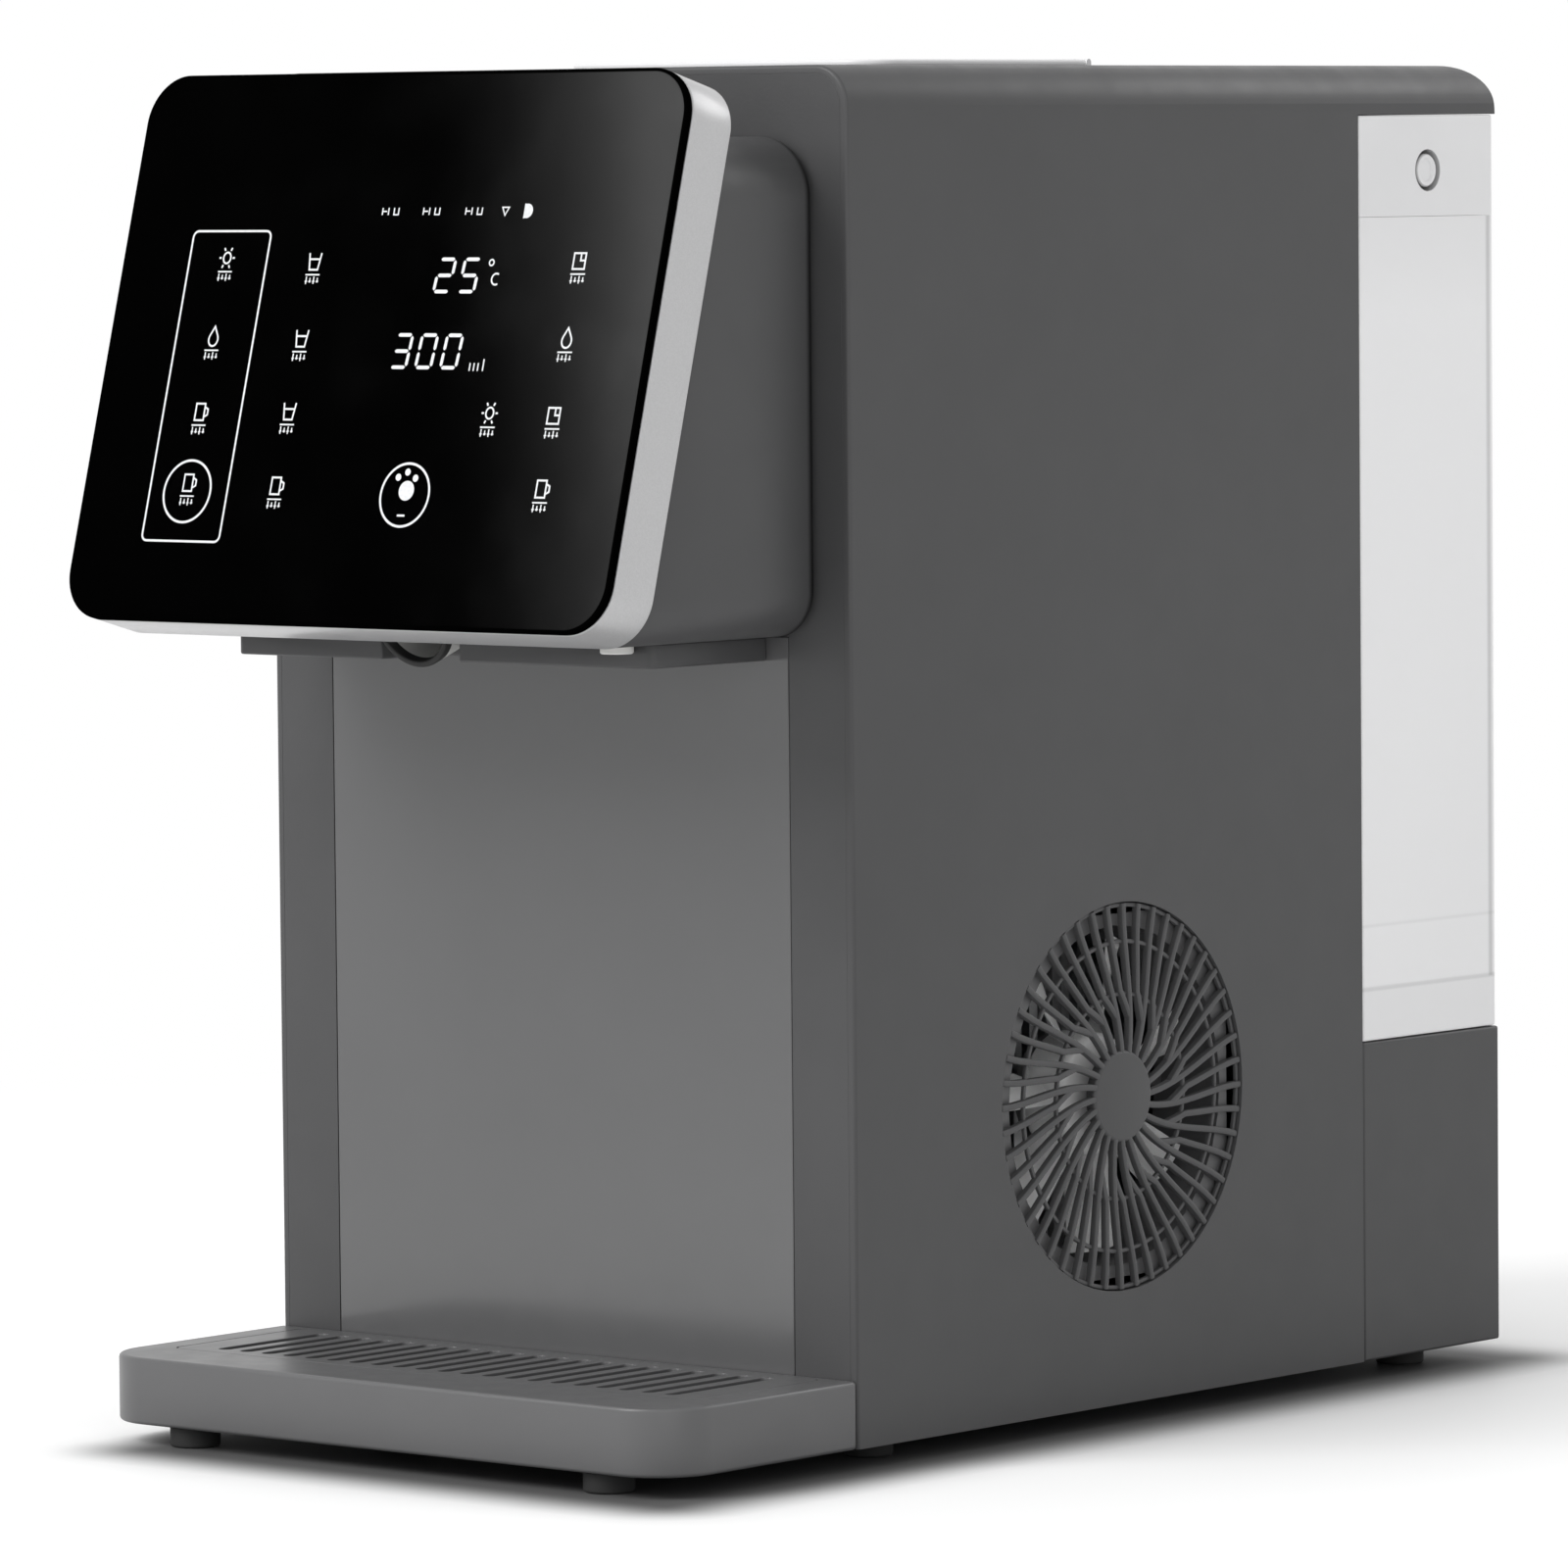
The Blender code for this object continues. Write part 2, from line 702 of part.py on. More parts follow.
def make_shell(shop, materials):
    """Sides, top and the hood over the tank in one wrap."""
    shell = cabinet_form(shop, "housing_shell", 0, 0, 0)
    hollow = cabinet_form(shop, "shell_hollow", SHELL_WALL, -OVERRUN, -OVERRUN)
    bay = block(
        shop, "bay_cut",
        (-HALF_WIDTH - OVERRUN, BAY_FRONT, -OVERRUN),
        (HALF_WIDTH + OVERRUN, CABINET_DEPTH + OVERRUN, BAY_CEILING),
    )
    grille_hole = drum(
        shop, "grille_hole",
        (INNER_HALF - OVERRUN, GRILLE_CENTRE_Y, GRILLE_CENTRE_Z),
        (HALF_WIDTH + OVERRUN, GRILLE_CENTRE_Y, GRILLE_CENTRE_Z),
        GRILLE_RADIUS + GAP, segments=48,
    )
    lid_half = LID_WIDTH / 2 - LID_LAP
    radius = LID_CORNER - LID_LAP
    lid_loop = rounded(-lid_half, lid_half, LID_FRONT + LID_LAP, LID_BACK - LID_LAP, (radius,) * 4)
    lid_hole = prism(
        shop, "lid_hole", [lid_loop],
        CABINET_HEIGHT - SHELL_WALL - OVERRUN, CABINET_HEIGHT + OVERRUN, PLAN_VIEW,
    )
    first = GRILLE_CENTRE_Y - VENT_PITCH * (VENT_COUNT - 1) / 2
    vent_loops = []
    for index in range(VENT_COUNT):
        vent_loops.append(slot(first + index * VENT_PITCH, GRILLE_CENTRE_Z, VENT_WIDTH, VENT_HEIGHT))
    vents = prism(
        shop, "side_vents", vent_loops, -HALF_WIDTH - OVERRUN, -INNER_HALF + OVERRUN, SIDE_VIEW
    )
    cut(shop, shell, hollow, bay, grille_hole, lid_hole, vents)
    return finish(shell, materials["cabinet"])


def make_fascia(shop, materials):
    """Front plate inset in the shell, with a rim and the recess of the backsplash."""
    radius = SHELL_EDGE_RADIUS - SHELL_WALL - GAP
    top = CABINET_HEIGHT - SHELL_WALL - GAP
    back = FASCIA_THICKNESS + FASCIA_RIM_DEPTH
    outline = rounded(-FIT_HALF, FIT_HALF, GAP, top, (0, 0, radius, radius))
    fascia = prism(shop, "front_fascia", [outline], 0, back, FRONT_VIEW)
    wall = FASCIA_RIM_WALL
    inside = rounded(
        -FIT_HALF + wall, FIT_HALF - wall, GAP + wall, top - wall, (0, 0, radius - wall, radius - wall)
    )
    pocket = prism(shop, "fascia_pocket", [inside], FASCIA_THICKNESS, back + OVERRUN, FRONT_VIEW)
    half = BACKSPLASH_WIDTH / 2 + GAP
    recess = block(
        shop, "backsplash_recess",
        (-half, -OVERRUN, BACKSPLASH_BOTTOM - GAP),
        (half, BACKSPLASH_RECESS, HEAD_BOTTOM),
    )
    window = block(
        shop, "outlet_window",
        (CHUTE_X - WINDOW_HALF_WIDTH, -OVERRUN, WINDOW_BOTTOM),
        (CHUTE_X + WINDOW_HALF_WIDTH, FASCIA_THICKNESS + OVERRUN, WINDOW_TOP),
    )
    hose_hole = drum(
        shop, "fascia_hose_hole",
        (NOZZLE_X, -OVERRUN, NOZZLE_INLET_Z),
        (NOZZLE_X, FASCIA_THICKNESS + OVERRUN, NOZZLE_INLET_Z),
        HOSE_HOLE_RADIUS,
    )
    pan_notch = block(
        shop, "pan_notch",
        (-FIT_HALF - OVERRUN, FASCIA_THICKNESS, -OVERRUN),
        (FIT_HALF + OVERRUN, back + OVERRUN, PAN_RIM + GAP),
    )
    cut(shop, fascia, pocket, recess, window, hose_hole, pan_notch)
    return finish(fascia, materials["cabinet"])


def make_backsplash(shop, materials):
    """Glossy panel behind the cups."""
    half = BACKSPLASH_WIDTH / 2
    panel = block(
        shop, "backsplash",
        (-half, 0, BACKSPLASH_BOTTOM),
        (half, BACKSPLASH_RECESS - GAP, HEAD_BOTTOM - GAP),
    )
    return finish(panel, materials["backsplash"])


def make_base_pan(shop, materials):
    """Floor of the cabinet with an upright rim, vents and the drain."""
    front = FASCIA_THICKNESS + GAP
    back = CABINET_DEPTH - COVER_WALL - GAP
    pan = block(shop, "base_pan", (-FIT_HALF, front, 0), (FIT_HALF, back, PAN_RIM))
    hollow = block(
        shop, "pan_hollow",
        (-FIT_HALF + PAN_THICKNESS, front + PAN_THICKNESS, PAN_THICKNESS),
        (FIT_HALF - PAN_THICKNESS, back - PAN_THICKNESS, PAN_RIM + OVERRUN),
    )
    loops = []
    centre = CONDENSER_LEFT - PAN_VENT_PITCH * PAN_VENTS
    for index in range(PAN_VENTS):
        loops.append(slot(
            HALF_WIDTH - PAN_VENT_PITCH * (index + 1), centre + GRILLE_CENTRE_Y,
            PAN_VENT_WIDTH, PAN_VENT_LENGTH,
        ))
    vents = prism(shop, "pan_vents", loops, -OVERRUN, PAN_THICKNESS + OVERRUN, PLAN_VIEW)
    drain = drum(
        shop, "drain_hole", (DRAIN_X, DRAIN_Y, -OVERRUN), (DRAIN_X, DRAIN_Y, PAN_RIM),
        DRAIN_RADIUS + GAP,
    )
    cut(shop, pan, hollow, vents, drain)
    return finish(pan, materials["pan"])


def make_drain_plug(shop, materials):
    """Rubber plug in the base, with a flange below and a taper above."""
    top = DRAIN_PLUG_HEIGHT - DRAIN_FLANGE_THICKNESS
    profile = [
        (0, top),
        (DRAIN_RADIUS - SMALL_EDGE, top),
        (DRAIN_RADIUS, top - SMALL_EDGE),
        (DRAIN_RADIUS, -GAP),
        (DRAIN_FLANGE_RADIUS, -GAP),
        (DRAIN_FLANGE_RADIUS, -DRAIN_FLANGE_THICKNESS),
        (0, -DRAIN_FLANGE_THICKNESS),
    ]
    return finish(turned(shop, "drain_plug", profile, (DRAIN_X, DRAIN_Y, 0), steps=14), materials["rubber"])


def foot_profile():
    """A short foot with a small chamfer at the floor."""
    return [
        (0, -GAP),
        (FOOT_RADIUS, -GAP),
        (FOOT_RADIUS, -FOOT_HEIGHT + SMALL_EDGE),
        (FOOT_RADIUS - SMALL_EDGE, -FOOT_HEIGHT),
        (0, -FOOT_HEIGHT),
    ]


def make_feet(shop, materials):
    """Four feet under the cabinet and two under the drip tray."""
    side = HALF_WIDTH - FOOT_INSET
    places = {
        "foot_front_left": (-side, FRONT_FOOT_SETBACK, 0),
        "foot_front_right": (side, FRONT_FOOT_SETBACK, 0),
        "foot_rear_left": (-side, CABINET_DEPTH - REAR_FOOT_SETBACK, 0),
        "foot_rear_right": (side, CABINET_DEPTH - REAR_FOOT_SETBACK, 0),
        "tray_foot_left": (-TRAY_FOOT_X, -TRAY_FOOT_FORWARD, 0),
        "tray_foot_right": (TRAY_FOOT_X, -TRAY_FOOT_FORWARD, 0),
    }
    for name, place in places.items():
        finish(turned(shop, name, foot_profile(), place, steps=16), materials["rubber"])


# Head and control panel


def head_form(shop, name, inset, front, back):
    """A length of the head, or of its hollow, before the slanted cut."""
    half = HEAD_WIDTH / 2 - inset
    top = HEAD_TOP_RADIUS - inset
    bottom = HEAD_BOTTOM_RADIUS - inset
    outline = rounded(
        -half, half, HEAD_BOTTOM + inset, HEAD_TOP - inset, (bottom, bottom, top, top), 5
    )
    return prism(shop, name, [outline], front, back, FRONT_VIEW)


def panel_place(item):
    """Put an object on the panel's slanted plane, with local Y up the slope and Z outwards."""
    item.location = (0, -PANEL_FORWARD, PANEL_CENTRE_Z)
    item.rotation_euler = (math.radians(90) - PANEL_TILT, 0, 0)
    return item


def panel_prism(shop, name, loops, low, high):
    """Extrude outlines square to the panel, from low to high in front of its plane."""
    item = prism(shop, name, loops, low, high, PLAN_VIEW)
    item.data.transform(item.matrix_basis)
    return panel_place(item)


def make_head(shop, materials):
    """Head housing: open at the slanted front, on a neck, with passages for ice and water."""
    front = -PANEL_FRONT_EXTREME - OVERRUN
    step = HEAD_BACK - HEAD_NECK_DEPTH
    head = soften(head_form(shop, "head_housing", 0, front, step), HEAD_EDGE_RADIUS, 2)
    neck = head_form(shop, "head_neck", HEAD_NECK_INSET, step - HEAD_WALL, HEAD_BACK)
    hollow = head_form(shop, "head_hollow", HEAD_WALL, front - OVERRUN, HEAD_BACK - HEAD_WALL)
    reach = CABINET_HEIGHT
    slant = panel_prism(
        shop, "head_slant", [rectangle(-reach, reach, -reach, reach)], -FRAME_DEPTH - GAP, reach
    )
    ice_hole = block(
        shop, "ice_hole",
        (CHUTE_X - CHUTE_RADIUS - CHUTE_CLEARANCE, -ICE_HOLE_FORWARD, HEAD_BOTTOM - OVERRUN),
        (CHUTE_X + CHUTE_RADIUS + CHUTE_CLEARANCE, -chute_run(HEAD_BOTTOM + HEAD_WALL),
         HEAD_BOTTOM + HEAD_WALL + OVERRUN),
    )
    window = block(
        shop, "head_window",
        (CHUTE_X - WINDOW_HALF_WIDTH, HEAD_BACK - HEAD_WALL - OVERRUN, WINDOW_BOTTOM),
        (CHUTE_X + WINDOW_HALF_WIDTH, OVERRUN, WINDOW_TOP),
    )
    hose_hole = drum(
        shop, "head_hose_hole",
        (NOZZLE_X, HEAD_BACK - HEAD_WALL - OVERRUN, NOZZLE_INLET_Z),
        (NOZZLE_X, OVERRUN, NOZZLE_INLET_Z),
        HOSE_HOLE_RADIUS,
    )
    nozzle_hole = drum(
        shop, "nozzle_hole",
        (NOZZLE_X, -NOZZLE_FORWARD, HEAD_BOTTOM - OVERRUN),
        (NOZZLE_X, -NOZZLE_FORWARD, HEAD_BOTTOM + HEAD_WALL + OVERRUN),
        NOZZLE_RADIUS + GAP,
    )
    join(shop, head, neck)
    cut(shop, head, hollow, slant, ice_hole, window, hose_hole, nozzle_hole)
    return finish(head, materials["cabinet"])


def chute_run(height):
    """How far forward of the cabinet the chute's underside passes a height, less its clearance."""
    lip_forward = CHUTE_MOUTH_FORWARD - CHUTE_RADIUS * math.sin(CHUTE_TILT)
    lip_height = CHUTE_MOUTH_Z - CHUTE_RADIUS * math.cos(CHUTE_TILT)
    return lip_forward - (height - lip_height + CHUTE_CLEARANCE) / math.tan(CHUTE_TILT)


def make_outlet_block(shop, materials):
    """Flat block under the head, notched for the chute."""
    half = OUTLET_WIDTH / 2
    top = HEAD_BOTTOM - GAP
    low = HEAD_BOTTOM - OUTLET_DROP
    outline = rounded(-half, half, -OUTLET_DEPTH, HEAD_BACK, (OUTLET_CORNER, OUTLET_CORNER, 0, 0), 3)
    item = prism(shop, "outlet_block", [outline], low, top, PLAN_VIEW)
    notch_back = -chute_run(top)
    notch = prism(
        shop, "chute_notch",
        [rounded(
            CHUTE_X - CHUTE_RADIUS - CHUTE_CLEARANCE, CHUTE_X + CHUTE_RADIUS + CHUTE_CLEARANCE,
            -OUTLET_DEPTH - OVERRUN, notch_back, (0, 0, OUTLET_CORNER, OUTLET_CORNER), 3,
        )],
        low - OVERRUN, top + OVERRUN, PLAN_VIEW,
    )
    cut(shop, item, notch)
    return finish(item, materials["cabinet"])


def panel_outline(inset):
    """The panel's rounded outline, set in all round."""
    half_x = PANEL_WIDTH / 2 - inset
    half_y = PANEL_HEIGHT / 2 - inset
    return rounded(-half_x, half_x, -half_y, half_y, (PANEL_CORNER - inset,) * 4, 6)


def make_panel(shop, materials):
    """Silver frame, black glass and what sits behind the glass."""
    frame = panel_prism(shop, "panel_frame", [panel_outline(0)], -FRAME_DEPTH, -GAP)
    tub = panel_prism(
        shop, "frame_tub", [panel_outline(FRAME_WALL)], -FRAME_DEPTH + FRAME_BACK, OVERRUN
    )
    window_x = FRAME_WINDOW_WIDTH / 2
    window_y = FRAME_WINDOW_HEIGHT / 2
    window = panel_prism(
        shop, "frame_window",
        [rounded(-window_x, window_x, -window_y, window_y, (FRAME_WALL,) * 4, 3)],
        -FRAME_DEPTH - OVERRUN, 0,
    )
    cut(shop, frame, tub, window)
    finish(frame, materials["silver"])
    glass = panel_prism(shop, "touch_glass", [panel_outline(0)], 0, GLASS_THICKNESS)
    finish(glass, materials["glass"])
    half_x = DISPLAY_WIDTH / 2
    half_y = DISPLAY_HEIGHT / 2
    back = -GAP - DISPLAY_THICKNESS
    display = panel_prism(
        shop, "display_module", [rectangle(-half_x, half_x, -half_y, half_y)], back, -GAP
    )
    finish(display, materials["display"])
    make_control_board(shop, materials, back - GAP)


def make_control_board(shop, materials, top):
    """Board behind the display, with chips and the posts it stands on."""
    half_x = DISPLAY_WIDTH / 2 - BOARD_MARGIN
    half_y = DISPLAY_HEIGHT / 2 - BOARD_MARGIN
    low = top - BOARD_THICKNESS
    outline = rounded(-half_x, half_x, -half_y, half_y, (FRAME_WALL,) * 4, 2)
    board = panel_prism(shop, "control_board", [outline], low, top)
    seat = -FRAME_DEPTH + FRAME_BACK + GAP
    post_x = half_x - STANDOFF_RADIUS - SMALL_EDGE
    post_y = half_y - STANDOFF_RADIUS - SMALL_EDGE
    extras = []
    for side_x in (-1, 1):
        for side_y in (-1, 1):
            loop = circle(side_x * post_x, side_y * post_y, STANDOFF_RADIUS, 10)
            extras.append(panel_prism(shop, "board_post", [loop], seat, low + BOARD_THICKNESS / 2))
    for index in range(3):
        centre = (index - 1) * CHIP_PITCH
        loop = rectangle(centre - CHIP_SIZE / 2, centre + CHIP_SIZE / 2, -CHIP_SIZE / 2, CHIP_SIZE / 2)
        extras.append(panel_prism(shop, "board_chip", [loop], low - CHIP_HEIGHT, low + BOARD_THICKNESS / 2))
    join(shop, board, *extras)
    return finish(board, materials["board"])


# Drip tray


def make_drip_tray(shop, materials):
    """Open tray with a wide front border and a ledge for its grille."""
    back = -GAP
    outline = rounded(-HALF_WIDTH, HALF_WIDTH, -TRAY_DEPTH, back, (TRAY_CORNER, TRAY_CORNER, 0, 0), 6)
    tray = prism(shop, "drip_tray", [outline], 0, TRAY_HEIGHT, PLAN_VIEW)
    soften(tray, SMALL_EDGE, 2)
    half = DRIP_GRILLE_WIDTH / 2 + GAP
    seat_z = TRAY_HEIGHT - DRIP_GRILLE_THICKNESS - GAP
    seat = prism(
        shop, "grille_seat",
        [rounded(-half, half, -DRIP_GRILLE_FRONT - GAP, -DRIP_GRILLE_BACK + GAP,
                 (DRIP_GRILLE_CORNER,) * 4, 3)],
        seat_z, TRAY_HEIGHT + OVERRUN, PLAN_VIEW,
    )
    basin_half = half - TRAY_LEDGE
    basin = prism(
        shop, "tray_basin",
        [rounded(-basin_half, basin_half, -DRIP_GRILLE_FRONT + TRAY_LEDGE,
                 -DRIP_GRILLE_BACK - TRAY_LEDGE, (DRIP_GRILLE_CORNER,) * 4, 3)],
        TRAY_FLOOR, seat_z + OVERRUN, PLAN_VIEW,
    )
    cut(shop, tray, seat, basin)
    return finish(tray, materials["tray"])


def make_drip_grille(shop, materials):
    """Plate with long slots from front to back."""
    half = DRIP_GRILLE_WIDTH / 2
    outline = rounded(-half, half, -DRIP_GRILLE_FRONT, -DRIP_GRILLE_BACK, (DRIP_GRILLE_CORNER,) * 4, 3)
    loops = [outline]
    room = DRIP_GRILLE_WIDTH - 2 * DRIP_GRILLE_BORDER
    count = int(room / DRIP_SLOT_PITCH)
    length = DRIP_GRILLE_FRONT - DRIP_GRILLE_BACK - 2 * DRIP_GRILLE_BORDER
    middle = -(DRIP_GRILLE_FRONT + DRIP_GRILLE_BACK) / 2
    for index in range(count):
        centre = (index - (count - 1) / 2) * DRIP_SLOT_PITCH
        loops.append(slot(centre, middle, DRIP_SLOT_WIDTH, length))
    top = TRAY_HEIGHT
    grille = prism(shop, "drip_grille", loops, top - DRIP_GRILLE_THICKNESS, top, PLAN_VIEW)
    return finish(grille, materials["tray"])


# Side grille and fan


def vane_angle(share):
    """How far a rib has swept round at a share of its run from hub to rim."""
    return GRILLE_SWEEP * math.sin(share * math.pi / 2)


def grille_cell(inner, outer, start, width, steps):
    """One opening between two swept ribs and two rings."""
    reach = GRILLE_RADIUS - GRILLE_HUB_RADIUS
    near = []
    far = []
    for step in range(steps + 1):
        radius = inner + (outer - inner) * step / steps
        half_rib = GRILLE_RIB / 2 / radius
        angle = start + vane_angle((radius - GRILLE_HUB_RADIUS) / reach)
        near.append((radius * math.cos(angle + half_rib), radius * math.sin(angle + half_rib)))
        angle += width - half_rib
        far.append((radius * math.cos(angle), radius * math.sin(angle)))
    return near + far[::-1]


def make_fan_grille(shop, materials):
    """Round guard: swept ribs run from the hub and each forks into two at the inner ring."""
    rim = GRILLE_RADIUS - GRILLE_RIM
    ring_one = GRILLE_RADIUS * GRILLE_INNER_RING_SHARE
    ring_two = GRILLE_RADIUS * GRILLE_OUTER_RING_SHARE
    half_ring = GRILLE_RING / 2
    loops = [circle(0, 0, GRILLE_RADIUS, 48)]
    zones = (
        (GRILLE_HUB_RADIUS, ring_one - half_ring, GRILLE_INNER_RIBS, 3),
        (ring_one + half_ring, ring_two - half_ring, GRILLE_INNER_RIBS * 2, 2),
        (ring_two + half_ring, rim, GRILLE_INNER_RIBS * 2, 1),
    )
    for inner, outer, count, steps in zones:
        width = math.tau / count
        for index in range(count):
            loops.append(grille_cell(inner, outer, index * width, width, steps))
    grille = prism(shop, "fan_grille", loops, FAN_X, HALF_WIDTH, SIDE_VIEW)
    grille.location = (FAN_X + GRILLE_THICKNESS / 2, GRILLE_CENTRE_Y, GRILLE_CENTRE_Z)
    cap = drum(
        shop, "grille_cap",
        (FAN_X - GRILLE_RING, GRILLE_CENTRE_Y, GRILLE_CENTRE_Z),
        (HALF_WIDTH - GRILLE_RING, GRILLE_CENTRE_Y, GRILLE_CENTRE_Z),
        GRILLE_HUB_RADIUS - GRILLE_RING,
    )
    join(shop, grille, cap)
    return finish(grille, materials["cabinet"])


def make_fan_shroud(shop, materials):
    """Square duct with four struts that carry the motor."""
    half = SHROUD_SIZE / 2
    front = SHROUD_FRONT
    back = SHROUD_BACK
    outline = rounded(
        GRILLE_CENTRE_Y - half, GRILLE_CENTRE_Y + half,
        GRILLE_CENTRE_Z - half, GRILLE_CENTRE_Z + half,
        (SHROUD_STRUT,) * 4, 3,
    )
    bore = circle(GRILLE_CENTRE_Y, GRILLE_CENTRE_Z, SHROUD_BORE, 32)
    shroud = prism(shop, "fan_shroud", [outline, bore], back, front, SIDE_VIEW)
    reach = SHROUD_BORE + SHROUD_STRUT / 2
    half_strut = SHROUD_STRUT / 2
    upright = block(
        shop, "strut_upright",
        (back, GRILLE_CENTRE_Y - half_strut, GRILLE_CENTRE_Z - reach),
        (back + SHROUD_PLATE, GRILLE_CENTRE_Y + half_strut, GRILLE_CENTRE_Z + reach),
    )
    level = block(
        shop, "strut_level",
        (back, GRILLE_CENTRE_Y - reach, GRILLE_CENTRE_Z - half_strut),
        (back + SHROUD_PLATE, GRILLE_CENTRE_Y + reach, GRILLE_CENTRE_Z + half_strut),
    )
    hub = drum(
        shop, "strut_hub",
        (back, GRILLE_CENTRE_Y, GRILLE_CENTRE_Z),
        (back + SHROUD_PLATE + SMALL_EDGE / 2, GRILLE_CENTRE_Y, GRILLE_CENTRE_Z),
        SHROUD_HUB_RADIUS,
    )
    join(shop, shroud, upright, level, hub)
    return finish(shroud, materials["black_plastic"])


def make_fan_motor(shop, materials):
    """Motor on the shroud's hub, with the shaft that carries the rotor."""
    back = FAN_BACK
    shaft_end = back + ROTOR_LENGTH
    profile = [
        (0, shaft_end - back),
        (MOTOR_SHAFT_RADIUS, shaft_end - back),
        (MOTOR_SHAFT_RADIUS, MOTOR_LENGTH),
        (MOTOR_RADIUS - SMALL_EDGE, MOTOR_LENGTH),
        (MOTOR_RADIUS, MOTOR_LENGTH - SMALL_EDGE),
        (MOTOR_RADIUS, 0),
        (0, 0),
    ]
    motor = turned(
        shop, "fan_motor", profile, (back, GRILLE_CENTRE_Y, GRILLE_CENTRE_Z), (0, math.radians(90), 0), 20
    )
    return finish(motor, materials["steel"])


def fan_blade(bm, angle):
    """Add one twisted blade to a bmesh whose Z is the fan's axis."""
    root = ROTOR_HUB_RADIUS - ROTOR_HUB_WALL / 2
    stations = 3
    rings = []
    for station in range(stations + 1):
        share = station / stations
        radius = root + (ROTOR_TIP_RADIUS - root) * share
        pitch = ROTOR_PITCH * (1 - share / 3)
        chord = ROTOR_BLADE_CHORD * (1 - share / 5)
        ring = []
        for along, across in ((-1, -1), (1, -1), (1, 1), (-1, 1)):
            reach = along * chord / 2
            depth = across * ROTOR_BLADE_THICKNESS / 2
            tangent = reach * math.cos(pitch) - depth * math.sin(pitch)
            axial = reach * math.sin(pitch) + depth * math.cos(pitch)
            turn = angle + tangent / ROTOR_TIP_RADIUS
            ring.append(bm.verts.new((radius * math.cos(turn), radius * math.sin(turn), axial)))
        rings.append(ring)
    for lower, upper in zip(rings, rings[1:]):
        for index in range(4):
            follow = (index + 1) % 4
            bm.faces.new((lower[index], lower[follow], upper[follow], upper[index]))
    bm.faces.new(rings[0][::-1])
    bm.faces.new(rings[-1])


def make_fan_rotor(shop, materials):
    """Cup hub over the motor with twisted blades."""
    back = FAN_BACK
    length = ROTOR_LENGTH
    inner = ROTOR_HUB_RADIUS - ROTOR_HUB_WALL
    top = MOTOR_LENGTH + RUNNING_GAP
    start = RUNNING_GAP * 2
    bore = MOTOR_SHAFT_RADIUS + GAP
    profile = [
        (bore, length),
        (ROTOR_HUB_RADIUS - SMALL_EDGE, length),
        (ROTOR_HUB_RADIUS, length - SMALL_EDGE),
        (ROTOR_HUB_RADIUS, start),
        (inner, start),
        (inner, top),
        (bore, top),
        (bore, length),
    ]
    turn = (0, math.radians(90), 0)
    rotor = turned(shop, "fan_rotor", profile, (back, GRILLE_CENTRE_Y, GRILLE_CENTRE_Z), turn, 28)
    bm = bmesh.new()
    for index in range(ROTOR_BLADES):
        fan_blade(bm, math.tau * (index + 0.37) / ROTOR_BLADES)
    bmesh.ops.recalc_face_normals(bm, faces=bm.faces)
    middle = (start + length) / 2
    blades = shop.add(
        mesh_object("fan_blades", bm), (back + middle, GRILLE_CENTRE_Y, GRILLE_CENTRE_Z), turn
    )
    join(shop, rotor, blades)
    return finish(rotor, materials["black_plastic"])


# Cooling circuit


def dome(radius, low, height, steps, upward):
    """Profile points of a shallow dome, from the axis outwards or back."""
    points = []
    for step in range(steps + 1):
        angle = math.pi / 2 * step / steps
        across = radius * math.sin(angle)
        rise = height * math.cos(angle)
        points.append((across, low + rise if upward else low - rise))
    return points if upward else points[::-1]


